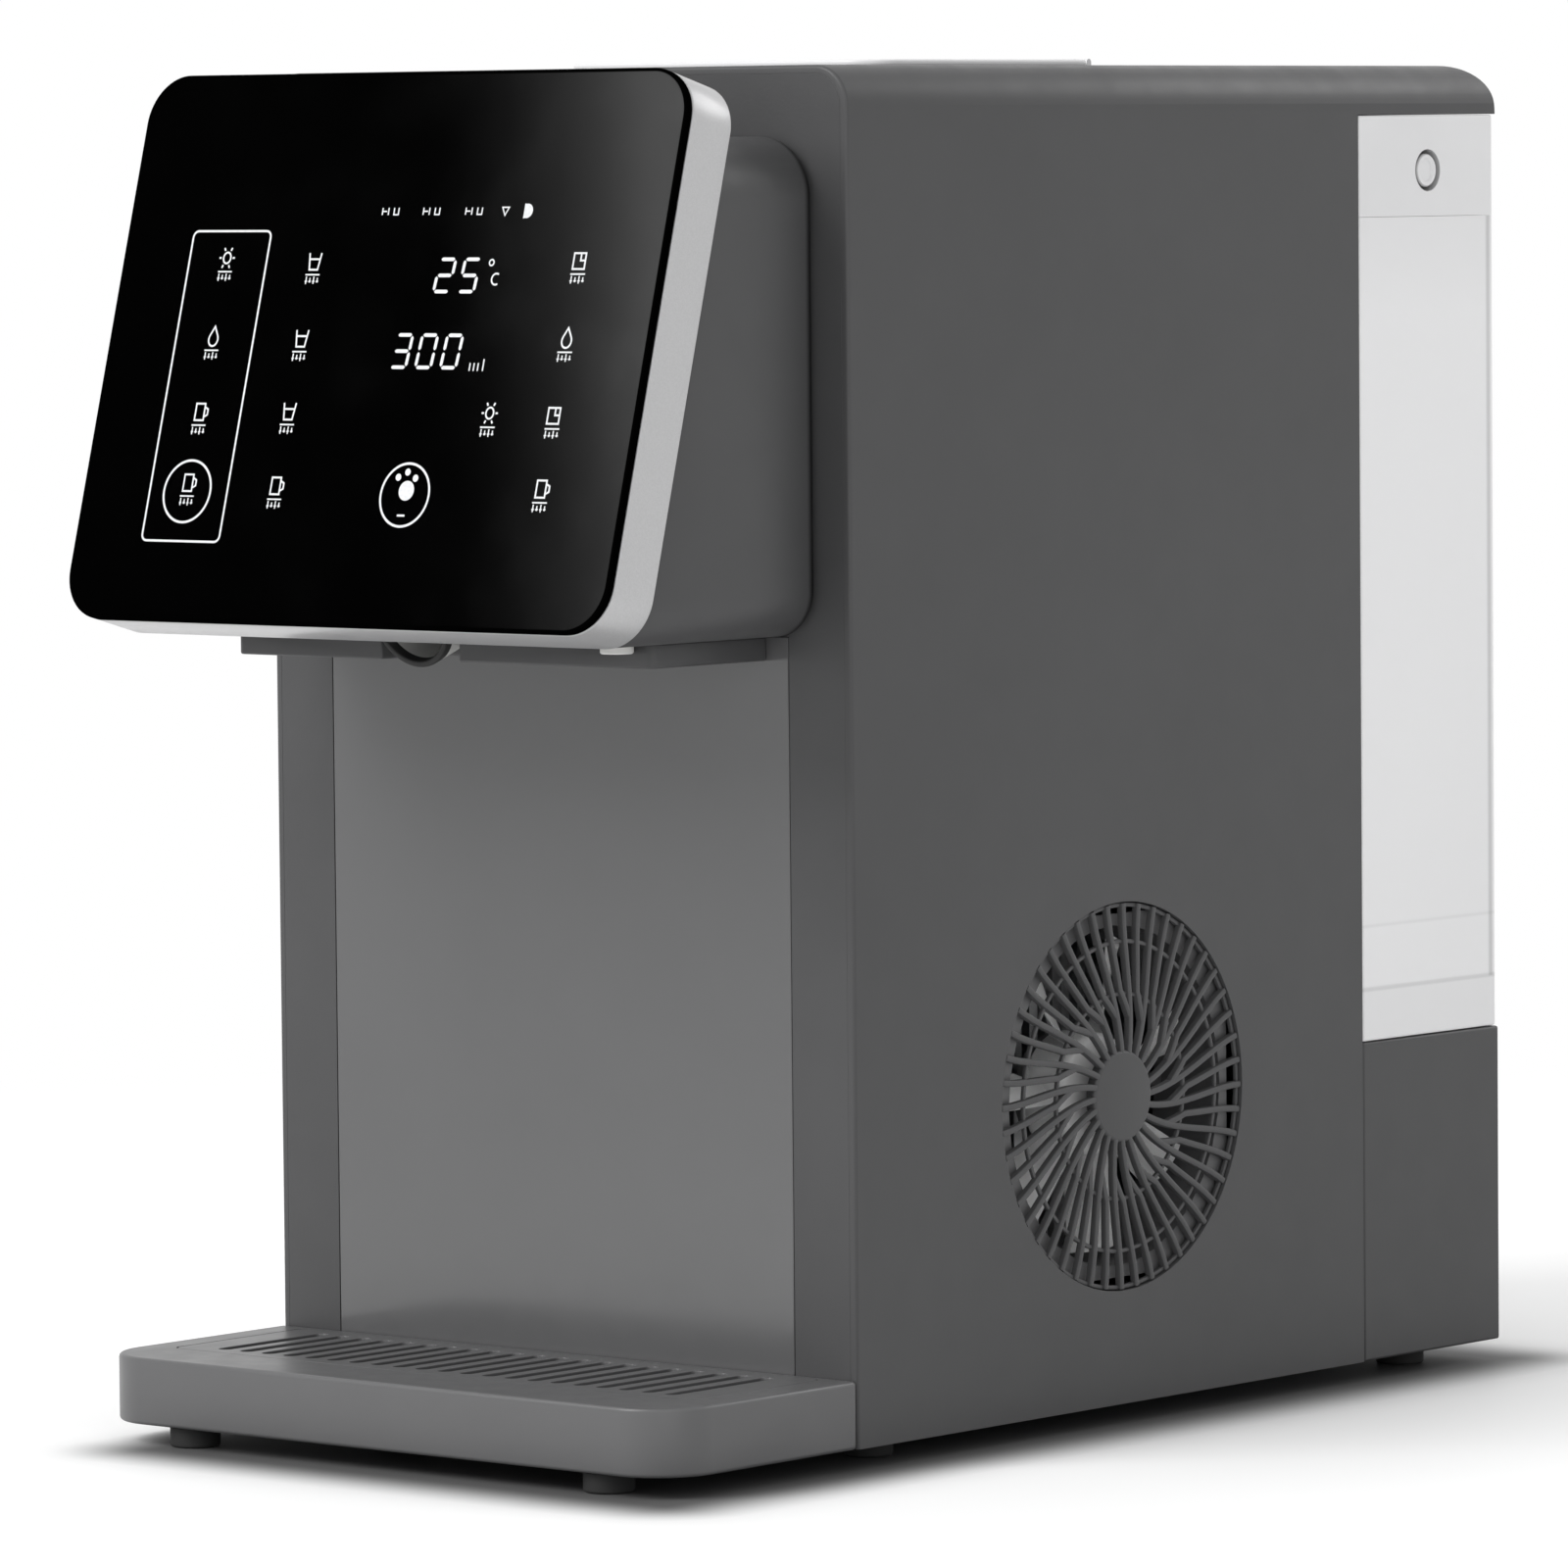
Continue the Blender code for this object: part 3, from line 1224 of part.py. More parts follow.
def make_compressor(shop, materials):
    """Welded can on a plate with four grommets, with its three stubs."""
    base = PAN_THICKNESS + GAP
    plate_low = base + GROMMET_HEIGHT
    plate_top = plate_low + COMPRESSOR_PLATE_THICKNESS
    bottom = plate_top
    top = base + COMPRESSOR_HEIGHT
    rise = COMPRESSOR_RADIUS / 2
    seam = bottom + (top - bottom) * 0.45
    seam_half = COMPRESSOR_SEAM_HEIGHT / 2
    wide = COMPRESSOR_RADIUS + COMPRESSOR_SEAM
    profile = dome(COMPRESSOR_RADIUS, top - rise, rise, 4, True)
    profile += [
        (COMPRESSOR_RADIUS, seam + seam_half),
        (wide, seam + seam_half),
        (wide, seam - seam_half),
        (COMPRESSOR_RADIUS, seam - seam_half),
    ]
    profile += dome(COMPRESSOR_RADIUS, bottom + rise / 2, rise / 2, 2, False)
    can = turned(shop, "compressor", profile, (COMPRESSOR_X, COMPRESSOR_Y, 0), steps=24)
    half = COMPRESSOR_PLATE / 2
    corner = GROMMET_RADIUS
    loop = rounded(
        COMPRESSOR_X - half, COMPRESSOR_X + half, COMPRESSOR_Y - half, COMPRESSOR_Y + half,
        (corner,) * 4, 3,
    )
    extras = [prism(
        shop, "compressor_plate", [loop], plate_low, plate_top + COMPRESSOR_SEAM, PLAN_VIEW
    )]
    place = half - corner
    for side_x in (-1, 1):
        for side_y in (-1, 1):
            centre = (COMPRESSOR_X + side_x * place, COMPRESSOR_Y + side_y * place)
            extras.append(drum(
                shop, "grommet", (*centre, base), (*centre, plate_low + SMALL_EDGE),
                GROMMET_RADIUS - SMALL_EDGE, segments=12,
            ))
    for direction, height in (((1, 0), discharge_height()), ((0, 1), suction_height())):
        start = COMPRESSOR_RADIUS - COMPRESSOR_SEAM
        end = COMPRESSOR_RADIUS + LINE_RADIUS
        extras.append(drum(
            shop, "compressor_stub",
            (COMPRESSOR_X + direction[0] * start, COMPRESSOR_Y + direction[1] * start, height),
            (COMPRESSOR_X + direction[0] * end, COMPRESSOR_Y + direction[1] * end, height),
            LINE_RADIUS + SMALL_EDGE, segments=12,
        ))
    join(shop, can, *extras)
    return finish(can, materials["black_metal"])


def discharge_height():
    """Height of the compressor's outlet stub."""
    return PAN_THICKNESS + COMPRESSOR_HEIGHT * 0.72


def suction_height():
    """Height of the compressor's inlet stub."""
    return PAN_THICKNESS + COMPRESSOR_HEIGHT * 0.64


def make_condenser(shop, materials):
    """Fin pack in front of the fan: fins on both sides of a core."""
    left = CONDENSER_LEFT
    right = left + CONDENSER_THICKNESS
    middle = (left + right) / 2
    core = CONDENSER_CORE / 2
    fin = FIN_PITCH * FIN_SHARE
    right_side = []
    left_side = []
    for index in range(CONDENSER_FINS):
        start = CONDENSER_FRONT + index * FIN_PITCH
        right_side += [(right, start), (right, start + fin)]
        left_side += [(left, start), (left, start + fin)]
        if index < CONDENSER_FINS - 1:
            right_side += [(middle + core, start + fin), (middle + core, start + FIN_PITCH)]
            left_side += [(middle - core, start + fin), (middle - core, start + FIN_PITCH)]
    outline = right_side + left_side[::-1]
    pack = prism(shop, "condenser", [outline], CONDENSER_BOTTOM, CONDENSER_TOP, PLAN_VIEW)
    return finish(pack, materials["aluminium"])


def make_drier(shop, materials):
    """Copper drier that stands on the pan behind the condenser."""
    low = PAN_THICKNESS + GAP
    neck = LINE_RADIUS
    shoulder = DRIER_RADIUS
    top = low + DRIER_NECK_LENGTH * 2 + DRIER_LENGTH
    profile = [
        (0, top),
        (neck, top),
        (neck, top - DRIER_NECK_LENGTH),
        (DRIER_RADIUS, top - DRIER_NECK_LENGTH - shoulder / 2),
        (DRIER_RADIUS, low + shoulder / 2),
        (DRIER_RADIUS - SMALL_EDGE, low),
        (0, low),
    ]
    place = (DRIER_X, CONDENSER_BACK + GAP + DRIER_RADIUS, 0)
    return finish(turned(shop, "drier", profile, place, steps=14), materials["copper"])


def make_lines(shop, materials):
    """Copper lines of the cooling circuit."""
    bend = COMPRESSOR_PLATE / 8
    stub = COMPRESSOR_RADIUS + LINE_RADIUS + GAP
    low = discharge_height()
    high = CONDENSER_TOP - bend
    start_x = COMPRESSOR_X + stub
    end_x = CONDENSER_LEFT - GAP
    centre = (start_x + end_x) / 2
    discharge = smooth_route(
        [
            (start_x, COMPRESSOR_Y, low),
            (centre, COMPRESSOR_Y, low),
            (centre, COMPRESSOR_Y, high),
            (end_x, COMPRESSOR_Y, high),
        ],
        bend / 2,
    )
    finish(rod(shop, "discharge_line", discharge, LINE_RADIUS, 1), materials["copper"])
    side = -HALF_WIDTH + SHELL_WALL + CHIP_SIZE
    evaporator_x = -EVAPORATOR_WIDTH / 2 + EVAPORATOR_POST
    evaporator_z = EVAPORATOR_BOTTOM + EVAPORATOR_HEIGHT / 2
    turn_y = EVAPORATOR_FRONT - bend
    suction = smooth_route(
        [
            (evaporator_x, EVAPORATOR_FRONT - GAP, evaporator_z),
            (evaporator_x, turn_y, evaporator_z),
            (side, turn_y, evaporator_z),
            (side, turn_y, suction_height()),
            (COMPRESSOR_X, turn_y, suction_height()),
            (COMPRESSOR_X, COMPRESSOR_Y + stub, suction_height()),
        ],
        bend / 2,
    )
    finish(rod(shop, "suction_line", suction, LINE_RADIUS, 1), materials["copper"])


# Ice making


def make_bracket(shop, materials):
    """Inverted U under the cabinet's top that carries the ice maker and the tray's bearings."""
    top = CABINET_HEIGHT - SHELL_WALL - GAP
    half = BRACKET_HALF_WIDTH
    wall = BRACKET_THICKNESS
    outline = [
        (-half, BRACKET_BOTTOM), (-half + wall, BRACKET_BOTTOM), (-half + wall, top - wall),
        (half - wall, top - wall), (half - wall, BRACKET_BOTTOM), (half, BRACKET_BOTTOM),
        (half, top), (-half, top),
    ]
    bracket = prism(shop, "module_bracket", [outline], BRACKET_FRONT, BRACKET_BACK, FRONT_VIEW)
    bearing = drum(
        shop, "tray_bearing",
        (-half - OVERRUN, WATER_TRAY_AXIS_Y, WATER_TRAY_AXIS_Z),
        (half + OVERRUN, WATER_TRAY_AXIS_Y, WATER_TRAY_AXIS_Z),
        TRAY_JOURNAL_RADIUS + GAP, segments=16,
    )
    cut(shop, bracket, bearing)
    return finish(bracket, materials["steel"])


def make_evaporator(shop, materials):
    """Cold block with two rows of freezing fingers, hung on four posts."""
    half = EVAPORATOR_WIDTH / 2
    top = EVAPORATOR_BOTTOM + EVAPORATOR_HEIGHT
    body = block(
        shop, "evaporator", (-half, EVAPORATOR_FRONT, EVAPORATOR_BOTTOM), (half, EVAPORATOR_BACK, top)
    )
    middle = (EVAPORATOR_FRONT + EVAPORATOR_BACK) / 2
    extras = []
    for row in (-0.5, 0.5):
        for column in range(FINGER_COLUMNS):
            x = (column - (FINGER_COLUMNS - 1) / 2) * FINGER_PITCH
            y = middle + row * FINGER_ROW_PITCH
            low = EVAPORATOR_BOTTOM - FINGER_LENGTH
            extras.append(drum(
                shop, "finger", (x, y, low), (x, y, EVAPORATOR_BOTTOM + SMALL_EDGE),
                FINGER_RADIUS - SMALL_EDGE, FINGER_RADIUS, segments=8,
            ))
    ceiling = CABINET_HEIGHT - SHELL_WALL - GAP - BRACKET_THICKNESS - GAP
    for side_x in (-1, 1):
        x = side_x * (half - EVAPORATOR_POST)
        extras.append(block(
            shop, "post",
            (x - EVAPORATOR_POST / 2, middle - EVAPORATOR_POST, top - SMALL_EDGE),
            (x + EVAPORATOR_POST / 2, middle + EVAPORATOR_POST, ceiling),
        ))
    join(shop, body, *extras)
    return finish(body, materials["copper"])


def tray_sector(radius, start, end, wall):
    """A sector about the tray's axis, closed at the axis."""
    points = arc(0, 0, radius, start, end, 8)
    normal = end + math.pi / 2
    shift = (-wall * math.cos(normal), -wall * math.sin(normal))
    if wall:
        points = [(x + shift[0] * index / 8, y + shift[1] * index / 8) for index, (x, y) in enumerate(points)]
    points.append(shift)
    return points


def make_water_tray(shop, materials):
    """Tilting tray: part of a drum about its own axis, so that it swings clear of the fingers."""
    half = WATER_TRAY_HALF_WIDTH
    outer = tray_sector(WATER_TRAY_RADIUS, WATER_TRAY_START, WATER_TRAY_END, 0)
    tray = prism(shop, "water_tray", [outer], -half, half, SIDE_VIEW)
    inner_half = half - WATER_TRAY_WALL
    reach = WATER_TRAY_RADIUS - WATER_TRAY_WALL
    lift = math.radians(30)
    inner = tray_sector(reach, WATER_TRAY_START - lift, WATER_TRAY_END, WATER_TRAY_WALL)
    hollow = prism(shop, "tray_hollow", [inner], -inner_half, inner_half, SIDE_VIEW)
    axis = (0, WATER_TRAY_AXIS_Y, WATER_TRAY_AXIS_Z)
    tray.location = axis
    hollow.location = axis
    cut(shop, tray, hollow)
    hubs = []
    start = inner_half + WATER_TRAY_WALL / 2
    for side in (-1, 1):
        hubs.append(drum(
            shop, "tray_hub",
            (side * start, WATER_TRAY_AXIS_Y, WATER_TRAY_AXIS_Z),
            (side * (BRACKET_HALF_WIDTH - BRACKET_THICKNESS - GAP), WATER_TRAY_AXIS_Y, WATER_TRAY_AXIS_Z),
            TRAY_HUB_RADIUS, segments=16,
        ))
        hubs.append(drum(
            shop, "tray_journal",
            (side * start, WATER_TRAY_AXIS_Y, WATER_TRAY_AXIS_Z),
            (side * (BRACKET_HALF_WIDTH + BRACKET_THICKNESS), WATER_TRAY_AXIS_Y, WATER_TRAY_AXIS_Z),
            TRAY_JOURNAL_RADIUS, segments=16,
        ))
    join(shop, tray, *hubs)
    return finish(tray, materials["white_plastic"])


def make_tray_motor(shop, materials):
    """Gear motor at the right end of the tray, screwed to the bracket."""
    left = BRACKET_HALF_WIDTH + GAP
    half = TRAY_MOTOR_HALF
    motor = block(
        shop, "tray_motor",
        (left, WATER_TRAY_AXIS_Y - half, WATER_TRAY_AXIS_Z - half),
        (left + TRAY_MOTOR_WIDTH, WATER_TRAY_AXIS_Y + half, WATER_TRAY_AXIS_Z + half),
    )
    soften(motor, SMALL_EDGE, 1)
    socket = drum(
        shop, "motor_socket",
        (left - OVERRUN, WATER_TRAY_AXIS_Y, WATER_TRAY_AXIS_Z),
        (BRACKET_HALF_WIDTH + BRACKET_THICKNESS + GAP, WATER_TRAY_AXIS_Y, WATER_TRAY_AXIS_Z),
        TRAY_JOURNAL_RADIUS + GAP, segments=16,
    )
    cut(shop, motor, socket)
    return finish(motor, materials["white_plastic"])


# Ice store and outlet


def make_deck(shop, materials):
    """Shelf between the sides that carries the ice bin."""
    low = DECK_TOP - DECK_THICKNESS
    back = DOCK_FRONT - GAP
    deck = block(
        shop, "equipment_deck", (-FIT_HALF, DECK_FRONT, low - DECK_FLANGE), (FIT_HALF, back, DECK_TOP)
    )
    under = block(
        shop, "deck_under",
        (-FIT_HALF + DECK_THICKNESS, DECK_FRONT - OVERRUN, low - DECK_FLANGE - OVERRUN),
        (FIT_HALF - DECK_THICKNESS, back + OVERRUN, low),
    )
    side = -HALF_WIDTH + SHELL_WALL + CHIP_SIZE
    bend = COMPRESSOR_PLATE / 8
    hole = drum(
        shop, "line_hole",
        (side, EVAPORATOR_FRONT - bend, low - OVERRUN),
        (side, EVAPORATOR_FRONT - bend, DECK_TOP + OVERRUN),
        DECK_HOLE_RADIUS,
    )
    notch = block(
        shop, "hose_notch",
        (NOZZLE_X - DECK_HOLE_RADIUS, DECK_FRONT - OVERRUN, low - DECK_FLANGE),
        (NOZZLE_X + DECK_HOLE_RADIUS, DECK_FRONT + DECK_NOTCH_DEPTH, DECK_TOP + OVERRUN),
    )
    cut(shop, deck, under, hole, notch)
    return finish(deck, materials["steel"])


def bin_section(inset, top):
    """The hopper's outline in the front view, set in by a wall."""
    radius = AUGER_TROUGH_RADIUS + BIN_WALL - inset
    half = BIN_HALF_WIDTH - inset
    shoulder = BIN_TOP - BIN_SHOULDER + inset
    spread = math.radians(60 + 10 * inset / BIN_WALL)
    start = math.pi * 1.5 - spread
    end = math.pi * 1.5 + spread
    points = arc(AUGER_X, AUGER_Z, radius, start, end, 8)
    points += [(half, shoulder), (half, top), (-half, top), (-half, shoulder)]
    return points


def make_ice_bin(shop, materials):
    """Open hopper with a round trough for the auger and ears for the gate."""
    body = prism(shop, "ice_bin", [bin_section(0, BIN_TOP)], BIN_FRONT, BIN_BACK, FRONT_VIEW)
    hollow = prism(
        shop, "bin_hollow", [bin_section(BIN_WALL, BIN_TOP + OVERRUN)],
        BIN_FRONT + BIN_WALL, BIN_BACK - BIN_WALL, FRONT_VIEW,
    )
    outlet = drum(
        shop, "bin_outlet",
        (AUGER_X, BIN_FRONT - OVERRUN, AUGER_Z), (AUGER_X, BIN_FRONT + BIN_WALL + OVERRUN, AUGER_Z),
        BIN_OUTLET_RADIUS,
    )
    drive = drum(
        shop, "bin_drive",
        (AUGER_X, BIN_BACK - BIN_WALL - OVERRUN, AUGER_Z), (AUGER_X, BIN_BACK + OVERRUN, AUGER_Z),
        AUGER_COLLAR_RADIUS + GAP,
    )
    ears = []
    holes = []
    for side in (-1, 1):
        inner = AUGER_X + side * (GATE_WIDTH / 2 + RUNNING_GAP)
        outer = inner + side * GATE_EAR_THICKNESS
        low_x = min(inner, outer)
        high_x = max(inner, outer)
        ears.append(block(
            shop, "gate_ear",
            (low_x, BIN_FRONT - GATE_EAR_LENGTH, GATE_AXIS_Z - GATE_EAR_HEIGHT / 2),
            (high_x, BIN_FRONT + BIN_WALL / 2, GATE_AXIS_Z + GATE_EAR_HEIGHT / 2),
        ))
        holes.append(drum(
            shop, "gate_ear_hole",
            (low_x - OVERRUN, GATE_AXIS_Y, GATE_AXIS_Z), (high_x + OVERRUN, GATE_AXIS_Y, GATE_AXIS_Z),
            GATE_BARREL_RADIUS / 2 + GAP, segments=12,
        ))
    cut(shop, body, hollow, outlet, drive)
    join(shop, body, *ears)
    cut(shop, body, *holes)
    return finish(body, materials["white_plastic"])


def make_auger(shop, materials):
    """One bent rod: a straight drive end, then a helix that pushes ice forward."""
    back = BIN_BACK - BIN_WALL - RUNNING_GAP
    points = []
    steps = 10
    length = AUGER_PITCH * AUGER_TURNS
    start_y = AUGER_START + AUGER_WIRE
    for index in range(AUGER_TURNS * steps + 1):
        angle = math.tau * index / steps
        y = start_y + length * index / (AUGER_TURNS * steps)
        points.append((AUGER_RADIUS * math.cos(angle), y, AUGER_RADIUS * math.sin(angle)))
    lead = AUGER_RADIUS
    end_y = start_y + length
    for share in (0.35, 0.7):
        points.append((AUGER_RADIUS * (1 - share), end_y + lead * share / 2, AUGER_WIRE * share))
    points.append((0, end_y + lead / 2, 0))
    points.append((0, back + BIN_WALL, 0))
    auger = rod(shop, "auger", points, AUGER_WIRE, 1)
    auger.location = (AUGER_X, 0, AUGER_Z)
    return finish(auger, materials["bright_steel"])


def make_auger_motor(shop, materials):
    """Gear motor behind the bin with a collar on the auger's end."""
    front = BIN_BACK + GAP
    back = DOCK_FRONT - GAP
    half = AUGER_MOTOR_SIZE / 2
    motor = block(
        shop, "auger_motor", (AUGER_X - half, front, AUGER_Z - half), (AUGER_X + half, back, AUGER_Z + half)
    )
    soften(motor, SMALL_EDGE, 1)
    socket = drum(
        shop, "auger_socket",
        (AUGER_X, front - OVERRUN, AUGER_Z), (AUGER_X, front + AUGER_COLLAR_RADIUS, AUGER_Z),
        AUGER_WIRE + GAP, segments=16,
    )
    seat = block(
        shop, "auger_motor_seat",
        (AUGER_X - half / 2, front + SMALL_EDGE, DECK_TOP + GAP),
        (AUGER_X + half / 2, back - SMALL_EDGE, AUGER_Z),
    )
    join(shop, motor, seat)
    cut(shop, motor, socket)
    return finish(motor, materials["white_plastic"])


def make_chute(shop, materials):
    """Half-round trough that slopes forward to the cup."""
    inner = CHUTE_RADIUS - CHUTE_WALL
    outline = [(CHUTE_RADIUS, CHUTE_SIDE)]
    outline += arc(0, 0, CHUTE_RADIUS, 0, -math.pi, 12)
    outline += [(-CHUTE_RADIUS, CHUTE_SIDE), (-inner, CHUTE_SIDE)]
    outline += arc(0, 0, inner, -math.pi, 0, 12)
    outline += [(inner, CHUTE_SIDE)]
    run = CHUTE_MOUTH_FORWARD + CHUTE_BACK - CHUTE_RADIUS * math.sin(CHUTE_TILT)
    length = run / math.cos(CHUTE_TILT)
    chute = prism(shop, "ice_chute", [outline], -length, 0, PLAN_VIEW)
    chute.data.transform(chute.matrix_basis)
    chute.location = (CHUTE_X, -CHUTE_MOUTH_FORWARD, CHUTE_MOUTH_Z)
    chute.rotation_euler = (math.radians(90) + CHUTE_TILT, 0, 0)
    return finish(chute, materials["rubber"])


def make_gate(shop, materials):
    """Flap that closes the bin's outlet, hung between two ears, with the lever that opens it."""
    half = GATE_WIDTH / 2
    barrel = drum(
        shop, "ice_gate",
        (AUGER_X - half, GATE_AXIS_Y, GATE_AXIS_Z), (AUGER_X + half, GATE_AXIS_Y, GATE_AXIS_Z),
        GATE_BARREL_RADIUS, segments=16,
    )
    flap = block(
        shop, "gate_flap",
        (AUGER_X - half, GATE_AXIS_Y - GATE_THICKNESS / 2, GATE_AXIS_Z - GATE_DROP),
        (AUGER_X + half, GATE_AXIS_Y + GATE_THICKNESS / 2, GATE_AXIS_Z),
    )
    reach = half + RUNNING_GAP + GATE_EAR_THICKNESS
    pin = drum(
        shop, "gate_pin",
        (AUGER_X - reach, GATE_AXIS_Y, GATE_AXIS_Z), (AUGER_X + reach, GATE_AXIS_Y, GATE_AXIS_Z),
        GATE_BARREL_RADIUS / 2, segments=12,
    )
    lever_x = GATE_LEVER_WIDTH / 2
    lever = block(
        shop, "gate_lever",
        (AUGER_X - lever_x, GATE_AXIS_Y - GATE_LEVER_LENGTH, GATE_AXIS_Z - GATE_THICKNESS / 2),
        (AUGER_X + lever_x, GATE_AXIS_Y, GATE_AXIS_Z + GATE_THICKNESS / 2),
    )
    join(shop, barrel, flap, pin, lever)
    return finish(barrel, materials["black_plastic"])


def make_solenoid(shop, materials):
    """Coil in its frame above the gate, and the plunger in its bore."""
    half = SOLENOID_WIDTH / 2
    back = BIN_FRONT - GAP
    middle = back - SOLENOID_DEPTH / 2
    body = block(
        shop, "gate_solenoid",
        (AUGER_X - half, back - SOLENOID_DEPTH, SOLENOID_BOTTOM),
        (AUGER_X + half, back, SOLENOID_BOTTOM + SOLENOID_HEIGHT),
    )
    soften(body, SMALL_EDGE, 1)
    bore = drum(
        shop, "solenoid_bore",
        (AUGER_X, middle, SOLENOID_BOTTOM - OVERRUN),
        (AUGER_X, middle, SOLENOID_BOTTOM + SOLENOID_HEIGHT + OVERRUN),
        PLUNGER_RADIUS + GAP, segments=16,
    )
    cut(shop, body, bore)
    finish(body, materials["steel"])
    head = PLUNGER_RADIUS + SMALL_EDGE
    profile = [
        (0, PLUNGER_LENGTH),
        (PLUNGER_RADIUS, PLUNGER_LENGTH),
        (PLUNGER_RADIUS, PLUNGER_HEAD_HEIGHT),
        (head, PLUNGER_HEAD_HEIGHT),
        (head, 0),
        (0, 0),
    ]
    plunger = turned(shop, "solenoid_plunger", profile, (AUGER_X, middle, PLUNGER_LOW), steps=16)
    return finish(plunger, materials["bright_steel"])


# Water circuit


def make_nozzle(shop, materials):
    """Water outlet: an upright tube in the head's floor with a barb for its hose."""
    seat = HEAD_BOTTOM + HEAD_WALL + GAP
    profile = [
        (0, NOZZLE_TOP_Z),
        (NOZZLE_RADIUS, NOZZLE_TOP_Z),
        (NOZZLE_RADIUS, seat + NOZZLE_FLANGE_THICKNESS),
        (NOZZLE_FLANGE_RADIUS, seat + NOZZLE_FLANGE_THICKNESS),
        (NOZZLE_FLANGE_RADIUS, seat),
        (NOZZLE_RADIUS, seat),
        (NOZZLE_RADIUS, NOZZLE_TIP_Z),
        (NOZZLE_BORE, NOZZLE_TIP_Z),
        (NOZZLE_BORE, NOZZLE_TOP_Z - NOZZLE_BORE),
        (0, NOZZLE_TOP_Z - NOZZLE_BORE),
    ]
    nozzle = turned(shop, "water_nozzle", profile, (NOZZLE_X, -NOZZLE_FORWARD, 0), steps=14)
    barb = drum(
        shop, "nozzle_barb",
        (NOZZLE_X, -NOZZLE_FORWARD + NOZZLE_BORE + SMALL_EDGE, NOZZLE_INLET_Z),
        (NOZZLE_X, -NOZZLE_FORWARD + NOZZLE_BARB_LENGTH, NOZZLE_INLET_Z),
        NOZZLE_BARB_RADIUS, segments=16,
    )
    join(shop, nozzle, barb)
    return finish(nozzle, materials["white_plastic"])


def make_heater(shop, materials):
    """Flow heater on the pan: a steel drum with a port at its top and one at its side."""
    low = PAN_THICKNESS + GAP
    top = low + HEATER_HEIGHT
    edge = HEATER_RADIUS / 4
    profile = [
        (0, top + HEATER_PORT_LENGTH),
        (HEATER_PORT_RADIUS, top + HEATER_PORT_LENGTH),
        (HEATER_PORT_RADIUS, top),
        (HEATER_RADIUS - edge, top),
        (HEATER_RADIUS, top - edge),
        (HEATER_RADIUS, low + edge),
        (HEATER_RADIUS - edge, low),
        (0, low),
    ]
    heater = turned(shop, "water_heater", profile, (HEATER_X, HEATER_Y, 0), steps=18)
    height = heater_port_height()
    port = drum(
        shop, "heater_port",
        (HEATER_X + HEATER_RADIUS - SMALL_EDGE * 2, HEATER_Y, height),
        (HEATER_X + HEATER_RADIUS + HEATER_PORT_LENGTH, HEATER_Y, height),
        HEATER_PORT_RADIUS, segments=16,
    )
    join(shop, heater, port)
    return finish(heater, materials["bright_steel"])


def heater_port_height():
    """Height of the heater's side port, level with the pump's outlet."""
    return PAN_THICKNESS + GAP + PUMP_HEIGHT - PUMP_HEAD_HEIGHT / 2


def make_pump(shop, materials):
    """Upright pump on the pan: motor below, pump head with two ports above."""
    low = PAN_THICKNESS + GAP
    head_low = low + PUMP_HEIGHT - PUMP_HEAD_HEIGHT
    top = low + PUMP_HEIGHT
    profile = [
        (0, top + PUMP_PORT_LENGTH),
        (PUMP_PORT_RADIUS, top + PUMP_PORT_LENGTH),
        (PUMP_PORT_RADIUS, top),
        (PUMP_HEAD_RADIUS - SMALL_EDGE, top),
        (PUMP_HEAD_RADIUS, top - SMALL_EDGE),
        (PUMP_HEAD_RADIUS, head_low),
        (PUMP_RADIUS, head_low),
        (PUMP_RADIUS, low),
        (0, low),
    ]
    pump = turned(shop, "water_pump", profile, (PUMP_X, PUMP_Y, 0), steps=18)
    port = drum(
        shop, "pump_port",
        (PUMP_X - PUMP_HEAD_RADIUS - PUMP_PORT_LENGTH, PUMP_Y, heater_port_height()),
        (PUMP_X - PUMP_HEAD_RADIUS + SMALL_EDGE * 2, PUMP_Y, heater_port_height()),
        PUMP_PORT_RADIUS, segments=16,
    )
    join(shop, pump, port)
    return finish(pump, materials["black_plastic"])


